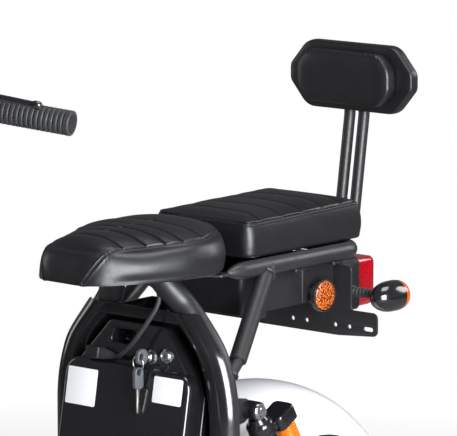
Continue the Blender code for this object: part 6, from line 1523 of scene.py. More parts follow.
def build_fender(name, axle_y, outer_radius, half, drop, start, end, body, node):
    """A crowned shell round the tyre with a rolled edge."""
    skirt, wall, steps = 0.016, 0.003, 96
    crown = [(half * step / 20, outer_radius - drop * (step / 20) ** 2.2) for step in range(21)]
    rim = crown[-1][1]
    side = [(half, rim - skirt * part) for part in (0.25, 0.5, 0.75)]
    side += [(half - 0.0003, rim - skirt + 0.0006), (half - 0.0012, rim - skirt)]
    low = [(half - wall + 0.0009, rim - skirt), (half - wall, rim - skirt + 0.0008)]
    inner = [(x - wall * (x / half) ** 2, r - wall * (1.15 - (x / half) ** 4)) for x, r in crown]
    loop = crown + side + low + list(reversed(inner))
    loop += mirrored(loop[1:-1])
    rings = []
    for step in range(steps + 1):
        turn = start + (end - start) * step / steps
        rings.append([(x, axle_y + r * sin(turn), AXLE_Z + r * cos(turn)) for x, r in loop])
    return dress(skinned(name, rings, angle=50.0), "white", body, node)


def build_tyre(name, axle_y, body, node):
    """A fat road tyre: rounded shoulders, two grooves round it, slanted sipes and fine side rings."""
    radius, half, bead, bead_half = TYRE_RADIUS, 0.1025, 0.116, 0.086
    height = radius - bead
    line = [(radius, 0.0), (radius - 0.0006, 0.030), (radius - 0.0030, 0.060), (radius - 0.0160, 0.0865),
            (radius - 0.0360, 0.0985), (radius - 0.50 * height, half), (bead + 0.0260, 0.0935),
            (bead + 0.0125, 0.0868), (bead + 0.0030, 0.0860)]
    outer = evenly(spline(line, 24), 84)
    count, sipes = 432, 24
    turns = np.arange(count) * 2 * pi / count
    reach, across = outer[:, 0], outer[:, 1]
    edge = 0.0005 * np.sin(reach * 1100.0) * ((reach > bead + 0.020) & (reach < radius - 0.045))
    rows = []
    for sign in (1.0, -1.0):
        cut = np.zeros((len(outer), count))
        cut += 0.0048 * np.exp(-((across - 0.030) / 0.0030) ** 4)[:, None]
        phase = (turns[None, :] * sipes / (2 * pi) + sign * across[:, None] * 14.0) % 1.0
        sipe = np.exp(-((phase - 0.5) / 0.055) ** 4) * ((across > 0.036) & (across < 0.080))[:, None]
        cut += 0.0038 * sipe * np.clip((across - 0.036) / 0.004, 0, 1)[:, None]
        centre = (turns[None, :] * sipes / (2 * pi) + sign * 0.25 + across[:, None] * 20.0 * sign) % 1.0
        nick = 0.0028 * np.exp(-((centre - 0.5) / 0.045) ** 4) * (across < 0.022)[:, None]
        cut += nick * np.clip(across / 0.006, 0, 1)[:, None]
        rows.append((reach[:, None] * np.ones(count) - cut + edge[:, None], sign * across))
    (right_r, right_x), (left_r, left_x) = rows
    inner = [(bead, bead_half - 0.0010), (bead, bead_half - 0.009), (radius - 0.5 * height, half - 0.009),
             (radius - 0.026, 0.0760), (radius - 0.018, 0.0)]
    inner += mirrored(inner[:-1], 1)
    levels = [*zip(np.vstack([left_r[::-1], right_r[1:]]), np.concatenate([left_x[::-1], right_x[1:]])),
              *inner]
    rings = [np.column_stack([np.full(count, x), axle_y + r * np.cos(turns), AXLE_Z + r * np.sin(turns)])
             for r, x in levels]
    return dress(skinned(name, np.array(rings), closed=True, angle=38.0), "tyre", body, node)


def build_wheel(name, axle_y, hub, web, windows, body, node):
    """A rim: its barrel, flanges, web with windows, hub with screws and the brake disc."""
    place = shift(0, axle_y, AXLE_Z) @ TO_X
    seat, inside, flange = 0.1157, 0.1107, 0.0863
    half = [(inside, 0.0), (inside, 0.060), (inside + 0.0006, 0.074), (inside + 0.0020, 0.0835),
            (0.1180, 0.0902), (0.1240, 0.0914), (0.1256, 0.0908), (0.1260, 0.0890), (0.1250, 0.0870),
            (0.1180, flange), (seat, flange), (seat, 0.0700), (seat - 0.0012, 0.0600),
            (seat - 0.0012, 0.0)]
    loop = half + mirrored(half[1:-1], 1)
    barrel = turned(f"{name}_barrel", loop, 144, place, 30.0)
    dress(barrel, "cast", body, node)
    stand_out, disc_x = 0.072, 0.080
    hub_line = [(0.0088, stand_out), (0.0170, stand_out), (hub - 0.0030, stand_out),
                (hub, stand_out - 0.0030), (hub, web + 0.0060), (hub + 0.0020, web + 0.0020)]
    loop = hub_line + mirrored(hub_line, 1)
    dress(turned(f"{name}_hub", loop, 112, place, 30.0), "cast", body)
    cuts = []
    low, high = hub + 0.010, inside - 0.008
    spread = pi / windows if windows else 0.0
    for index in range(windows):
        turn = 2 * pi * index / windows
        narrow, wide = low * tan(spread) - 0.009, high * tan(spread) - 0.013
        shape = rounded([(-narrow, low), (narrow, low), (wide, high * 0.94), (0.0, high),
                         (-wide, high * 0.94)], [0.004, 0.004, 0.010, 0.040, 0.010], 6)
        cuts.append([(u * cos(turn) - v * sin(turn), u * sin(turn) + v * cos(turn)) for u, v in shape])
    disc = slab(f"{name}_web", circle(0, 0, inside + 0.002, 144), 2 * web, 0.0025, place, cuts, 3)
    dress(disc, "cast", body)
    for index in range(6):
        turn = 2 * pi * (index + 0.5) / 6
        reach = hub * 0.78
        for side, word in reversed(SIDES):
            spot = place @ Vector((reach * cos(turn), reach * sin(turn), side * stand_out))
            bolt(f"{name}_screw_{index}_{word}", spot, (side, 0, 0), 0.0050 if hub > 0.05 else 0.0040,
                 "zinc", body, False)
    vents = []
    for row, reach, count in ((0, 0.050, 10), (1, 0.064, 14), (2, 0.078, 18)):
        for index in range(count):
            turn = 2 * pi * (index + 0.5 * row) / count
            vents.append(circle(reach * cos(turn), reach * sin(turn), 0.0040, 14))
    rotor = slab(f"{name}_disc", circle(0, 0, 0.090, 120), 0.004, 0.0004, shift(disc_x, 0, 0) @ place,
                 [circle(0, 0, 0.018, 48), *vents], 1)
    dress(rotor, "zinc", body)
    boss = turned(f"{name}_boss", [(0.018, 0.068), (0.030, 0.068), (0.030, 0.078), (0.018, 0.078)], 64,
                  place)
    dress(boss, "cast", body)


# ---- Steering


def bar_path():
    """The left half of the handlebar in the steering frame."""
    centre = UPPER_YOKE_AT + YOKE_THICKNESS / 2 + RISER_HEIGHT
    return bent([(0.0, 0.0, centre), (0.065, 0.0, centre), (0.125, 0.012, centre + BAR_RISE),
                 (BAR_HALF_WIDTH, BAR_SWEEP, centre + BAR_RISE + 0.012)], [0.035, 0.045], 12)


def grip_axis():
    path = bar_path()
    end, before = Vector(path[-1]), Vector(path[-2])
    return end, (end - before).normalized()


def lever_place():
    """The left lever's pivot and its outward, forward and upward directions."""
    end, out = grip_axis()
    inboard = end - out * (GRIP_LENGTH + 0.006 + SWITCH_LENGTH + PERCH_HALF + 0.001)
    forward = Vector((0, 0, 1)).cross(out).normalized() * -1.0
    up = out.cross(forward).normalized()
    return inboard + forward * LEVER_OFFSET, out, forward, up


def along_bar(back):
    """A place on the left end of the bar, so far inboard, with Z along the bar."""
    end, out = grip_axis()
    return aim(end - out * back, out)


def fork_end(x, start):
    """Half a circle round one leg of the fork, in plan."""
    ear = 0.024
    return [(x + ear * cos(turn), -FORK_OFFSET + ear * sin(turn))
            for turn in np.linspace(start, start + pi, 15)]


def build_yokes():
    """The yokes with their pinch bolts, the stem and the stanchions with their caps."""
    foot, head = SLIDER_TOP - FORK_OVERLAP, UPPER_YOKE_AT + YOKE_THICKNESS / 2 + 0.006
    stem = turned("stem", chamfered(0.0, STEM_RADIUS, LOWER_YOKE_AT - 0.016, head, 0.001), 48, STEER)
    dress(stem, "zinc", "steering", "fork_yoke")
    neck = [(0.0300 * cos(turn), 0.0300 * sin(turn)) for turn in np.linspace(0.35, pi - 0.35, 13)]
    outline = [*fork_end(FORK_HALF, -pi / 2), (0.100, -0.012), (0.055, 0.004), *neck, (-0.055, 0.004),
               (-0.100, -0.012), *fork_end(-FORK_HALF, pi / 2), (-0.095, -0.040), (-0.045, -0.030),
               (0.0, -0.0285), (0.045, -0.030), (0.095, -0.040)]
    for level, height in (("low", LOWER_YOKE_AT), ("high", UPPER_YOKE_AT)):
        yoke = settle(slab(f"yoke_{level}", outline, YOKE_THICKNESS, 0.0022, shift(0, 0, height)), STEER)
        dress(yoke, "coat", "steering")
        for side, word in reversed(SIDES):
            spot = STEER @ Vector((side * (FORK_HALF + 0.012), -FORK_OFFSET - 0.0235, height))
            bolt(f"yoke_pinch_{level}_{word}", spot, STEER.to_3x3() @ Vector((side * 0.35, -1, 0)),
                 0.0048, "zinc", "steering")
    cap_line = [(0.0, 0.0), (0.0150, 0.0), (0.0150, 0.0030), (0.0138, 0.0042), (0.0070, 0.0042),
                (0.0062, 0.0030), (0.0, 0.0030)]
    for side, word in SIDES:
        leg = Vector((side * FORK_HALF, -FORK_OFFSET, 0))
        pole(f"stanchion_{word}", STEER @ (leg + Vector((0, 0, foot))),
             STEER @ (leg + Vector((0, 0, head - 0.003))), STANCHION_RADIUS, "zinc", "steering")
        cap = turned(f"stanchion_cap_{word}", cap_line, 48,
                     STEER @ Matrix.Translation(leg + Vector((0, 0, head - 0.0045))))
        dress(cap, "coat", "steering")


def build_sliders():
    """The lower legs with their seals, the axle with its nuts, the mudguard's tabs, the caliper."""
    low, deep = -0.030, SLIDER_TOP - FORK_OVERLAP - FORK_TRAVEL - 0.010
    bore, wide = STANCHION_RADIUS + 0.0011, SLIDER_RADIUS
    profile = [(0.0, low), (0.0170, low), (0.0205, low + 0.0040), (wide, low + 0.0100), (wide, 0.0300),
               (wide - 0.0012, 0.0330), (wide - 0.0012, 0.2600), (wide, 0.2640),
               (wide, SLIDER_TOP - 0.0125), (wide + 0.0024, SLIDER_TOP - 0.0115),
               (wide + 0.0030, SLIDER_TOP - 0.0090), (wide + 0.0030, SLIDER_TOP - 0.0020),
               (wide + 0.0010, SLIDER_TOP + 0.0030), (bore + 0.0020, SLIDER_TOP + 0.0040),
               (bore, SLIDER_TOP + 0.0032), (bore, deep), (0.0, deep)]
    high = FENDER_RADIUS - FRONT_DROP - 0.012
    for side, word in SIDES:
        leg = STEER @ shift(side * FORK_HALF, -FORK_OFFSET, 0)
        nodes = ("fork_sliders",) if side > 0 else ()
        dress(turned(f"slider_{word}", profile, 64, leg, 22.0), "coat", "fork_lower", *nodes)
        near, far = sorted((side * (FRONT_FENDER_HALF + GAP), side * (FORK_HALF - bore - 0.0008)))
        block(f"guard_tab_{word}", (near, -FORK_OFFSET - 0.009, high - 0.008),
              (far, -FORK_OFFSET + 0.009, high + 0.008), 0.0018, 0.0008, "coat", "fork_lower",
              place=STEER)
        nut = STEER @ Vector((side * (FORK_HALF + wide), -FORK_OFFSET, 0))
        bolt(f"front_nut_{word}", nut, (side, 0, 0), 0.0135, "zinc", "fork_lower")
    pole("front_axle", STEER @ Vector((-FORK_HALF - 0.030, -FORK_OFFSET, 0)),
         STEER @ Vector((FORK_HALF + 0.030, -FORK_OFFSET, 0)), AXLE_RADIUS, "zinc", "fork_lower")
    caliper("front_caliper", -FORK_OFFSET + 0.020, 0.072, FORK_HALF, STEER, "fork_lower",
            Vector((0, 0.020, 0.072)).normalized())


def caliper(name, y, z, outer, place, body, away):
    """Two halves either side of the disc, bridged beyond its rim, with their bolts."""
    block(f"{name}_inner", (0.067, y - 0.018, z - 0.024), (0.0766, y + 0.018, z + 0.024), 0.005, 0.0016,
          "cast", body, place=place)
    block(f"{name}_outer", (0.0834, y - 0.018, z - 0.024), (outer, y + 0.018, z + 0.024), 0.005, 0.0016,
          "cast", body, place=place)
    middle = Vector((0.0, y, z)) + Vector(away) * 0.0225
    block(f"{name}_bridge", (0.070, middle.y - 0.0045, middle.z - 0.0040),
          (0.100, middle.y + 0.0045, middle.z + 0.0040), 0.0020, 0.0010, "cast", body, place=place)
    for index, lift in enumerate((-0.015, 0.015)):
        spot = place @ Vector((0.0668, y, z + lift))
        bolt(f"{name}_bolt_{index}", spot, place.to_3x3() @ Vector((-1, 0, 0)), 0.0042, "zinc", body)


def build_bar():
    """The bar on its risers, the switch housings and the levers' clamps."""
    half = [Vector(point) for point in bar_path()]
    path = [Vector((-p.x, p.y, p.z)) for p in reversed(half[1:])] + half
    bar = settle(swept("bar", path, BAR_RADIUS, 32), STEER)
    dress(bar, "coat", "steering", "handlebar")
    base, centre = UPPER_YOKE_AT + YOKE_THICKNESS / 2 + GAP, half[0].z
    riser_line = [(0.0, base), (0.0150, base), (0.0160, base + 0.0010), (0.0160, base + 0.0050),
                  (0.0120, base + 0.0090), (0.0105, base + 0.0200), (0.0110, centre), (0.0, centre)]
    housing = [(BAR_RADIUS, 0.0), (0.0195, 0.0), (0.0213, 0.0016), (0.0215, 0.0060), (0.0215, 0.0138),
               (0.0208, 0.0143), (0.0208, 0.0153), (0.0215, 0.0158), (0.0215, SWITCH_LENGTH - 0.0016),
               (0.0200, SWITCH_LENGTH), (BAR_RADIUS, SWITCH_LENGTH)]
    clamp_line = [(BAR_RADIUS, -PERCH_HALF), (0.0168, -PERCH_HALF), (0.0175, -PERCH_HALF + 0.001)]
    clamp_line += mirrored(clamp_line, 1)
    cheek_line = [(-0.0085, -LEVER_OFFSET + 0.010), (0.0085, -LEVER_OFFSET + 0.010), (0.0090, -0.010),
                  (0.0090, 0.0)]
    cheek_line += [(0.0090 * cos(t), 0.0090 * sin(t)) for t in np.linspace(0.25, pi - 0.25, 11)]
    cheek_line += [(-0.0090, 0.0), (-0.0090, -0.010)]
    reach = LEVER_THICKNESS * 1.375
    pin_line = [(0.0, -reach), (0.0028, -reach), (LEVER_PIN, -reach + 0.0003), (LEVER_PIN, reach),
                (0.0052, reach), (0.0052, reach + 0.0018), (0.0044, reach + 0.0026),
                (0.0, reach + 0.0026)]
    start = GRIP_LENGTH + 0.006 + SWITCH_LENGTH
    pivot, out, forward, up = lever_place()
    basis = Matrix.Translation(pivot) @ Matrix((out, forward, up)).transposed().to_4x4()
    for side, word in SIDES:
        x, mirror = side * RISER_X, Matrix.Diagonal((side, 1, 1, 1))
        dress(turned(f"riser_{word}", riser_line, 48, STEER @ shift(x, 0, 0)), "coat", "steering")
        ring = turned(f"riser_clamp_{word}",
                      chamfered(BAR_RADIUS, BAR_RADIUS + 0.0070, -0.0120, 0.0120, 0.0010), 56,
                      STEER @ shift(x, 0, centre) @ TO_X)
        dress(ring, "coat", "steering")
        for index, y in enumerate((-0.0125, 0.0125)):
            spot = STEER @ Vector((x, y, centre + BAR_RADIUS + 0.0022))
            bolt(f"riser_bolt_{word}_{index}", spot, STEER.to_3x3() @ Vector((0, 0, 1)), 0.0036, "zinc",
                 "steering", False)
        dress(settle(turned(f"switch_{word}", housing, 56, along_bar(start)), STEER @ mirror), "moulded",
              "steering")
        clamp = turned(f"perch_{word}", clamp_line, 48, along_bar(start + PERCH_HALF + 0.001))
        dress(settle(clamp, STEER @ mirror), "coat", "steering")
        place = STEER @ mirror @ basis
        for level, sign in (("low", -1), ("high", 1)):
            cheek = slab(f"perch_cheek_{word}_{level}", cheek_line, 0.004, 0.0008,
                         shift(0, 0, sign * (reach - 0.0015)))
            dress(settle(cheek, place), "coat", "steering")
        dress(settle(turned(f"perch_pin_{word}", pin_line, 32), place), "zinc", "steering")
        build_lever(word, place)


def build_lever(word, place):
    """A cast blade that curves and thins to a ball, with its bored eye."""
    body = f"lever_{word}"
    reach = GRIP_LENGTH + SWITCH_LENGTH - LEVER_SHORT
    shares = [(0.0, 0.0, 1.0), (0.14, 0.35, 1.0), (0.32, 0.76, 0.88), (0.58, 1.0, 0.76),
              (1.0, 0.88, 0.59)]
    line = np.array(spline([(reach * a, LEVER_BOW * o, 0.0) for a, o, _ in shares], 10))
    width = np.interp(line[:, 0], [reach * a for a, _, _ in shares],
                      [LEVER_HALF_WIDTH * w for _, _, w in shares])
    along = unit(np.gradient(line, axis=0))
    rings = []
    for spot, way, wide in zip(line, along, width):
        across = np.array((-way[1], way[0], 0.0))
        ring = []
        for turn in np.linspace(0, 2 * pi, 25)[:-1]:
            c, s = cos(turn), sin(turn)
            u, v = abs(c) ** 0.55 * (1 if c > 0 else -1), abs(s) ** 0.55 * (1 if s > 0 else -1)
            ring.append(spot + across * (wide * u) + np.array((0, 0, LEVER_THICKNESS / 2 * v)))
        rings.append(ring)
    blade = skinned(f"lever_blade_{word}", rings, angle=35.0)
    ball = turned(f"lever_ball_{word}",
                  [(0.0086 * sin(t), -0.0058 * cos(t)) for t in np.linspace(0, pi, 15)], 32,
                  shift(reach, LEVER_BOW * 0.88, 0))
    eye_half, eye, bore = 0.82 * LEVER_THICKNESS, LEVER_HALF_WIDTH * 1.24, LEVER_PIN + 2 * GAP
    ring = turned(f"lever_eye_{word}", chamfered(bore, eye, -eye_half, eye_half, 0.0008), 40)
    lever = settle(merged(f"lever_cast_{word}", [blade, ball, ring]), place)
    dress(lever, "gloss", body, f"brake_lever_{word}")


def build_grips():
    """Ribbed grips, the right one turning, and the red start button."""
    for side, word, body, node, gap in ((1, "left", "steering", "grip_left", GAP),
                                        (-1, "right", "throttle", "throttle_grip", 2 * GAP)):
        bore = BAR_RADIUS + gap
        profile = [(bore, 0.0), (0.0185, 0.0), (0.0195, 0.0008), (0.0195, 0.0042), (0.0185, 0.0050),
                   (0.0158, 0.0056)]
        ribs = 16
        pitch = (GRIP_LENGTH - 0.0160) / ribs
        for index in range(ribs):
            at = 0.0070 + pitch * index
            profile += [(0.0152, at), (0.0164, at + pitch * 0.18), (0.0165, at + pitch * 0.30),
                        (0.0165, at + pitch * 0.62), (0.0164, at + pitch * 0.74),
                        (0.0152, at + pitch * 0.92)]
        profile += [(0.0160, GRIP_LENGTH - 0.0085), (0.0165, GRIP_LENGTH - 0.0075),
                    (0.0165, GRIP_LENGTH - 0.0020), (0.0158, GRIP_LENGTH - 0.0010),
                    (bore, GRIP_LENGTH - 0.0010)]
        obj = settle(turned(f"grip_rubber_{word}", profile, 56, along_bar(GRIP_LENGTH), 25.0),
                     STEER @ Matrix.Diagonal((side, 1, 1, 1)))
        dress(obj, "rubber", body, node)
    end, out = grip_axis()
    mirror = Vector((-1, 1, 1))
    middle = (end - out * (GRIP_LENGTH + 0.006 + SWITCH_LENGTH / 2)) * mirror
    out = out * mirror
    back_way = out.cross(Vector((0, 0, 1))).normalized()
    back_way = back_way if back_way.y > 0 else -back_way
    top = middle + back_way * (BAR_RADIUS + 0.0135)
    place = STEER @ Matrix.Translation(top) @ back_way.to_track_quat("Z", "Y").to_matrix().to_4x4()
    knob = turned("start_knob",
                  [(0.0, -0.0060), (0.0048, -0.0060), (0.0050, -0.0058), (0.0050, -0.0010),
                   (0.0047, -0.0003), (0.0040, 0.0), (0.0030, -0.0004), (0.0, -0.0008)], 40, place, 25.0)
    dress(knob, "red", "button", "start_button")


def build_headlight():
    """A round bucket with its rim, its reflector, bulb and domed lens, on two tabs."""
    deep, radius = HEADLIGHT_DEPTH, HEADLIGHT_RADIUS
    place = aim(STEER @ Vector((0.0, HEADLIGHT_AHEAD, HEADLIGHT_AT)), (0, 1, 0))
    outer = [(radius - 0.0010, 0.0), (radius, 0.0010), (radius, 0.0080), (radius - 0.0012, 0.0092),
             (radius - 0.0004, 0.0104)]
    outer += [tuple(point[:2])
              for point in spline([(radius, deep * 0.25, 0), (radius * 0.92, deep * 0.52, 0),
                                   (radius * 0.64, deep * 0.86, 0), (radius * 0.20, deep, 0)], 8)]
    outer += [(0.0, deep), (0.0, deep - 0.006), (radius * 0.20, deep - 0.006),
              (radius - 0.012, deep * 0.34), (radius - 0.0060, 0.0)]
    dress(turned("lamp_bucket", outer, 96, place, 25.0), "gloss", "steering", "headlight")
    bowl = [(0.0, deep * 0.72), (radius * 0.30, deep * 0.66), (radius * 0.60, deep * 0.46),
            (radius * 0.80, deep * 0.20), (radius * 0.865, 0.0080), (radius * 0.885, 0.0080),
            (radius * 0.62, deep * 0.50), (radius * 0.30, deep * 0.70), (0.0, deep * 0.76)]
    dress(turned("lamp_reflector", bowl, 96, place, 25.0), "zinc", "steering")
    dress(turned("lamp_bulb", [(0.009 * sin(t), 0.030 - 0.012 * cos(t)) for t in np.linspace(0, pi, 17)],
                 40, place), "label", "steering")
    wall, bulge = 0.006, 0.015
    glass = [(radius - 1.50 * wall, bulge * 0.40), (radius - 1.33 * wall, -bulge * 0.07)]
    glass += [tuple(point[:2])
              for point in spline([(radius * 0.86, -bulge * 0.28, 0), (radius * 0.70, -bulge * 0.60, 0),
                                   (radius * 0.36, -bulge * 0.90, 0), (0.0001, -bulge, 0)], 8)]
    glass += [(0.0, -bulge * 0.72), (radius * 0.40, -bulge * 0.62), (radius * 0.66, -bulge * 0.33),
              (radius * 0.84, bulge * 0.40)]
    dress(turned("lamp_glass", glass, 96, place, 30.0), "clear", "steering", "headlight_lens")
    low = LOWER_YOKE_AT + YOKE_THICKNESS / 2 - 0.002 + GAP
    outline = rounded([(-0.026, low), (-0.006, low), (-0.006, low + 0.074), (-0.066, low + 0.074),
                       (-0.066, low + 0.054), (-0.026, low + 0.044)], 0.003, 5)
    for side, word in SIDES:
        tab = settle(slab(f"lamp_tab_{word}", outline, 0.008, 0.001,
                          shift(side * 0.044, 0, 0) @ FACING_X), STEER)
        dress(tab, "coat", "steering")


def build_display():
    """The round dial on the stem's head."""
    low = UPPER_YOKE_AT + YOKE_THICKNESS / 2 + 0.006 + GAP
    shell = [(0.0, low), (0.0095, low), (0.0100, low + 0.0006), (0.0100, low + 0.0080),
             (0.0205, low + 0.0140), (0.0215, low + 0.0150), (0.0220, low + 0.0250),
             (0.0212, low + 0.0276), (0.0195, low + 0.0280), (0.0182, low + 0.0272), (0.0, low + 0.0268)]
    dress(turned("dial_shell", shell, 64, STEER, 25.0), "moulded", "steering", "display")
    dress(turned("dial_glass",
                 [(0.0, low + 0.0268), (0.0178, low + 0.0268), (0.0180, low + 0.0274),
                  (0.0120, low + 0.0279), (0.0, low + 0.0280)], 64, STEER, 25.0), "gloss", "steering")


# ---- Frame, deck, swing arm and stand


def build_front_frame():
    """The head tube with its bearing cups, and the main tube with its welds."""
    low, high = LOWER_YOKE_AT + YOKE_THICKNESS / 2 + 0.002, UPPER_YOKE_AT - YOKE_THICKNESS / 2 - 0.002
    bore = 0.018
    head = [(bore, low), (0.0275, low), (0.0285, low + 0.001), (0.0285, low + 0.009),
            (0.0265, low + 0.011), (0.026, low + 0.013), (0.026, high - 0.013), (0.0265, high - 0.011),
            (0.0285, high - 0.009), (0.0285, high - 0.001), (0.0275, high), (bore, high)]
    dress(turned("head_tube", head, 72, STEER, 25.0), "coat", "frame", "front_frame")
    middle = (low + high) / 2
    start = STEER @ Vector((0, 0.026 * 0.6, middle))
    path = bent([start, (0.0, MAIN_TUBE_Y, start.z - 0.075), (0.0, MAIN_TUBE_Y, RAIL_Z),
                 (0.0, FLOOR_FRONT_Y - CROSS_RADIUS * 0.4, RAIL_Z)], [0.060, 0.062], 20)
    dress(swept("main_tube", path, 0.029, 48), "coat", "frame")
    weld("main_weld", (0, FLOOR_FRONT_Y - CROSS_RADIUS * 0.9, RAIL_Z), (0, 1, 0), 0.0287, 0.0026)
    along = (Vector(path[1]) - Vector(path[0])).normalized()
    weld("head_weld", Vector(path[0]) + along * 0.013, along, 0.0288, 0.0026)


def build_floor():
    """Rails, cross tubes, pivot bolt, deck board with its screws and a ribbed mat."""
    front, rear, edge = FLOOR_FRONT_Y - CROSS_RADIUS, 0.425, 0.0012
    for side, word in SIDES:
        rings = [rounded_ring(side * HOOP_HALF, RAIL_Z, RAIL_HALF - inset, RAIL_HALF - inset, 0.004, y, 6)
                 for y, inset in ((front, edge), (front + edge, 0.0), (rear - edge, 0.0), (rear, edge))]
        nodes = ("floor_frame",) if side > 0 else ()
        dress(skinned(f"rail_{word}", rings), "coat", "frame", *nodes)
        bolt(f"pivot_nut_{word}", (side * LUG_X, PIVOT_Y, RAIL_Z), (side, 0, 0), 0.0120, "zinc", "frame")
    last_y = 0.262
    for index, y in enumerate((FLOOR_FRONT_Y, (FLOOR_FRONT_Y + last_y) / 2, last_y)):
        pole(f"cross_{index}", (-HOOP_HALF, y, RAIL_Z), (HOOP_HALF, y, RAIL_Z), CROSS_RADIUS, "coat",
             "frame")
        for side, word in SIDES:
            weld(f"cross_weld_{index}_{word}", (side * (HOOP_HALF - RAIL_HALF), y, RAIL_Z), (1, 0, 0),
                 CROSS_RADIUS, 0.0020)
    pole("pivot_bolt", (-HOOP_HALF, PIVOT_Y, RAIL_Z), (HOOP_HALF, PIVOT_Y, RAIL_Z), AXLE_RADIUS, "zinc",
         "frame")
    pole("stand_pin", (LUG_X - 0.010, STAND_Y, STAND_Z), (LUG_X + 0.026, STAND_Y, STAND_Z), 0.005, "zinc",
         "frame")
    board = slab("board", rounded(oblong(-DECK_HALF, DECK_FRONT_Y, DECK_HALF, DECK_REAR_Y), 0.030, 12),
                 DECK_THICKNESS, 0.0016, shift(0, 0, DECK_TOP_Z - DECK_THICKNESS / 2))
    dress(board, "coat", "frame", "deck_board")
    for index, (x, y) in enumerate(((-1, 0), (1, 0), (-1, 1), (1, 1))):
        spot = (x * (DECK_HALF - 0.007), DECK_FRONT_Y + 0.040 + y * 0.430, DECK_TOP_Z)
        bolt(f"board_screw_{index}", spot, (0, 0, 1), 0.0036, "zinc", "frame", False)
    half, front, rear, base = DECK_HALF - 0.014, DECK_FRONT_Y + 0.014, 0.285, DECK_TOP_Z + GAP
    parts = [slab("mat_sheet", rounded(oblong(-half, front, half, rear), 0.022, 12), 0.0026, 0.0004,
                  shift(0, 0, base + 0.0013))]
    count, rib_half = 36, 0.0030
    for index in range(count):
        y = front + 0.014 + (rear - front - 0.028) * index / (count - 1)
        shy = 0.012 if index in (0, count - 1) else 0.005
        outline = rounded(oblong(-half + shy, y - rib_half, half - shy, y + rib_half), 0.0028, 5)
        parts.append(slab(f"mat_rib_{index}", outline, 0.0022, 0.0008, shift(0, 0, base + 0.0029)))
    dress(merged("mat", parts), "rubber", "frame", "deck_mat")


def heights_of(name):
    """The lowest and highest place of a CAD node."""
    node = NODES[name]
    heights = [(node.matrix_world @ vertex.co).z for vertex in node.data.vertices]
    return min(heights), max(heights)


def build_covers():
    """The cover between deck and case, and the plates under the saddle."""
    low, high = DECK_TOP_Z + GAP, CASE_BOTTOM_Z - GAP
    half, front, rear = 0.121, 0.300, 0.3722
    levels = [(low, 0.0030), (low + 0.0030, 0.0)]
    for index in range(5):
        at = low + 0.028 + 0.018 * index
        levels += [(at, 0.0), (at + 0.0014, 0.0022), (at + 0.0046, 0.0022), (at + 0.0060, 0.0)]
    levels += [(high - 0.0030, 0.0), (high, 0.0030)]
    rings = []
    for z, inset in levels:
        outline = rounded(oblong(-half + inset, front + inset, half - inset, rear - inset), 0.012 - inset,
                          8)
        rings.append([(x, y, z) for x, y in outline])
    dress(skinned("cover", rings), "moulded", "frame", "lower_cover")
    low, high = heights_of("seat_plate")
    rear, wing = RACK_TIP_Y - GAP, RACK_HALF + 0.010
    right = [(0.014, 0.245), (0.050, 0.325), (0.055, rear - 0.060), (wing, rear - 0.022), (wing, rear)]
    outline = rounded([(-0.014, 0.245), *right, *mirrored(right[1:])], 0.005, 8)
    dress(slab("hoop_plate", outline, high - low, 0.0008, shift(0, 0, (low + high) / 2)), "coat", "frame",
          "seat_plate")
    low, high = heights_of("saddle_pan")
    front, rear, wide = 0.231, 0.472, 0.126 * 0.80
    right = [(0.028, front), (wide, front + 0.130), (wide, rear - 0.070), (0.045, rear)]
    outline = rounded([(-0.028, front), *right, *mirrored(right[1:])], 0.020, 10)
    dress(slab("pan", outline, high - low, 0.0020, shift(0, 0, (low + high) / 2)), "moulded", "frame",
          "saddle_pan")


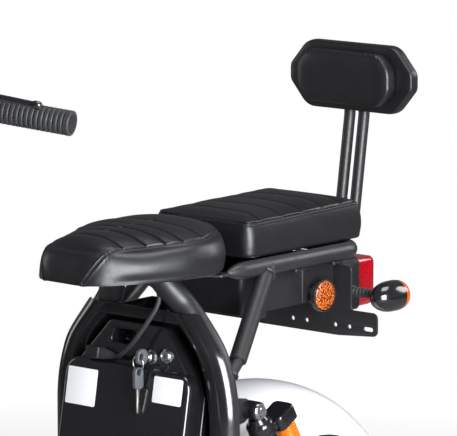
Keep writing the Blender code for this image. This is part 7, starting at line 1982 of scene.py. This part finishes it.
def build_arm():
    """The swing arm: two plates on a pivot tube, with the axle, nuts, lugs, stays and caliper."""
    inside = HOOP_HALF - RAIL_HALF - 2 * GAP
    tube = turned("pivot_tube", chamfered(0.0090, 0.0170, -inside, inside, 0.001), 64,
                  shift(0, PIVOT_Y, RAIL_Z) @ TO_X)
    dress(tube, "coat", "swing_arm", "swingarm")
    lean = atan2(AXLE_Z - RAIL_Z, REAR_AXLE_Y - PIVOT_Y)
    along, rise = Vector((cos(lean), sin(lean))), Vector((-sin(lean), cos(lean))) * 0.022
    near, far = Vector((PIVOT_Y, RAIL_Z)) - along * 0.012, Vector((REAR_AXLE_Y, AXLE_Z)) + along * 0.030
    low_y, low_z = SHOCK_LOW
    top_z = RAIL_Z + (low_y - PIVOT_Y) * tan(lean) + 0.022
    shape = rounded([tuple(near - rise * 0.85), tuple(far - rise), tuple(far + rise),
                     (low_y + 0.026, top_z + 0.007), (low_y + 0.013, low_z + 0.0135),
                     (low_y - 0.013, low_z + 0.0135), (low_y - 0.026, top_z - 0.003),
                     tuple(near + rise * 0.85)], [0.016, 0.018, 0.014, 0.004, 0.008, 0.008, 0.004, 0.016],
                     10)
    outer, nut_high, eye_reach = ARM_X + ARM_HALF, 0.003, 0.013
    for side, word in SIDES:
        x = side * ARM_X
        dress(slab(f"arm_{word}", shape, 2 * ARM_HALF, 0.0018, shift(x, 0, 0) @ FACING_X), "coat",
              "swing_arm")
        pole(f"shock_bolt_{word}", (x, low_y, low_z), (side * (SHOCK_X + 0.020), low_y, low_z), 0.005,
             "zinc", "swing_arm")
        pole(f"shock_spacer_{word}", (x, low_y, low_z), (side * (SHOCK_X - eye_reach), low_y, low_z),
             0.0095, "coat", "swing_arm")
        bolt(f"shock_nut_{word}", (side * (SHOCK_X + 0.0128), low_y, low_z), (side, 0, 0), 0.0088, "zinc",
             "swing_arm")
        near_x, far_x = sorted((side * (outer - 0.0015), side * (outer + nut_high)))
        block(f"stay_{word}", (near_x, REAR_AXLE_Y - 0.012, AXLE_Z - 0.005),
              (far_x, REAR_AXLE_Y + 0.012, AXLE_Z + FENDER_RADIUS - 0.062 - 0.006), 0.0012, 0.0008,
              "coat", "swing_arm")
        pole(f"axle_spacer_{word}", (side * 0.073, REAR_AXLE_Y, AXLE_Z), (x, REAR_AXLE_Y, AXLE_Z), 0.013,
             "zinc", "swing_arm")
        bolt(f"axle_nut_{word}", (side * (outer + nut_high), REAR_AXLE_Y, AXLE_Z), (side, 0, 0), 0.0135,
             "zinc", "swing_arm")
    pole("rear_axle", (-0.145, REAR_AXLE_Y, AXLE_Z), (0.145, REAR_AXLE_Y, AXLE_Z), AXLE_RADIUS, "zinc",
         "swing_arm")
    hold_y = REAR_AXLE_Y - 0.079
    hold_z = RAIL_Z + (hold_y - PIVOT_Y) * tan(lean)
    caliper("rear_caliper", hold_y, hold_z, ARM_X, Matrix.Identity(4), "swing_arm",
            Vector((0, hold_y - REAR_AXLE_Y, hold_z - AXLE_Z)).normalized())


def build_stand():
    """The side stand: its bored eye, the bent leg and a rubber foot."""
    near = LUG_X + 0.0012
    far, middle = near + 0.012, near + 0.006
    eye = turned("stand_eye", chamfered(0.0058, 0.0130, near, far, 0.0008), 56,
                 shift(0, STAND_Y, STAND_Z) @ TO_X)
    dress(eye, "coat", "stand", "side_stand")
    tip = Vector((middle + 0.012, STAND_Y + 0.130, STAND_Z - 0.004))
    line = bent([(middle, STAND_Y + 0.004, STAND_Z), (middle + 0.004, STAND_Y + 0.078, STAND_Z), tip],
                [0.050], 14)
    dress(swept("stand_leg", line, 0.0065, 32), "coat", "stand")
    block("stand_foot", (tip.x - 0.010, tip.y - 0.010, tip.z - 0.018),
          (tip.x + 0.012, tip.y + 0.004, tip.z + 0.018), 0.003, 0.0016, "rubber", "stand")
    bolt("stand_nut", (LUG_X + 0.022, STAND_Y, STAND_Z), (1, 0, 0), 0.0082, "zinc", "frame")


NODE_LOOKS = {
    "black_coat": "coat", "gloss_black": "gloss", "black_plastic": "moulded", "vinyl": "vinyl",
    "rubber": "rubber", "tyre": "tyre", "white_plastic": "white", "alloy": "cast",
    "black_alloy": "black_alloy", "steel": "zinc", "orange_coat": "orange", "amber_lens": "amber",
    "red_lens": "red", "clear_lens": "clear", "grey_plastic": "grey",
}


def dress_nodes():
    """Gives every CAD node that still shows the material of its slot."""
    slots = {entry["node"]: entry["material_slot"] for entry in frame["record"]["subparts"]}
    for name, node in NODES.items():
        if node.hide_render:
            continue
        for holder in node.material_slots:
            holder.material = LOOKS[NODE_LOOKS[slots[name]]][0]


right, back = build_camera()
build_lead(build_plug())
build_stage(right, back)
build_saddle()
build_rear_pad()
build_backrest()
build_hoop()
build_rack()
build_case()
build_battery()
build_posts()
build_box()
build_bracket()
build_tail_light()
build_signals()
build_locks()
build_shocks()
build_fender("rear_guard", REAR_AXLE_Y, outer_radius=0.250, half=0.125, drop=0.050,
             start=radians(-38.0), end=radians(75.0), body="swing_arm", node="rear_fender")
build_fender("front_guard", FRONT_AXLE_Y, outer_radius=FENDER_RADIUS, half=FRONT_FENDER_HALF,
             drop=FRONT_DROP, start=radians(-50.0), end=radians(62.0), body="fork_lower",
             node="front_fender")
build_tyre("rear_rubber", REAR_AXLE_Y, "rear_wheel", "rear_tyre")
build_tyre("front_rubber", FRONT_AXLE_Y, "front_wheel", "front_tyre")
build_wheel("rear", REAR_AXLE_Y, hub=0.060, web=0.016, windows=0, body="rear_wheel", node="rear_rim")
build_wheel("front", FRONT_AXLE_Y, hub=0.034, web=0.012, windows=5, body="front_wheel",
            node="front_rim")
build_yokes()
build_sliders()
build_bar()
build_grips()
build_headlight()
build_display()
build_front_frame()
build_floor()
build_covers()
build_arm()
build_stand()
dress_nodes()

bpy.context.scene.view_settings.view_transform = "Standard"
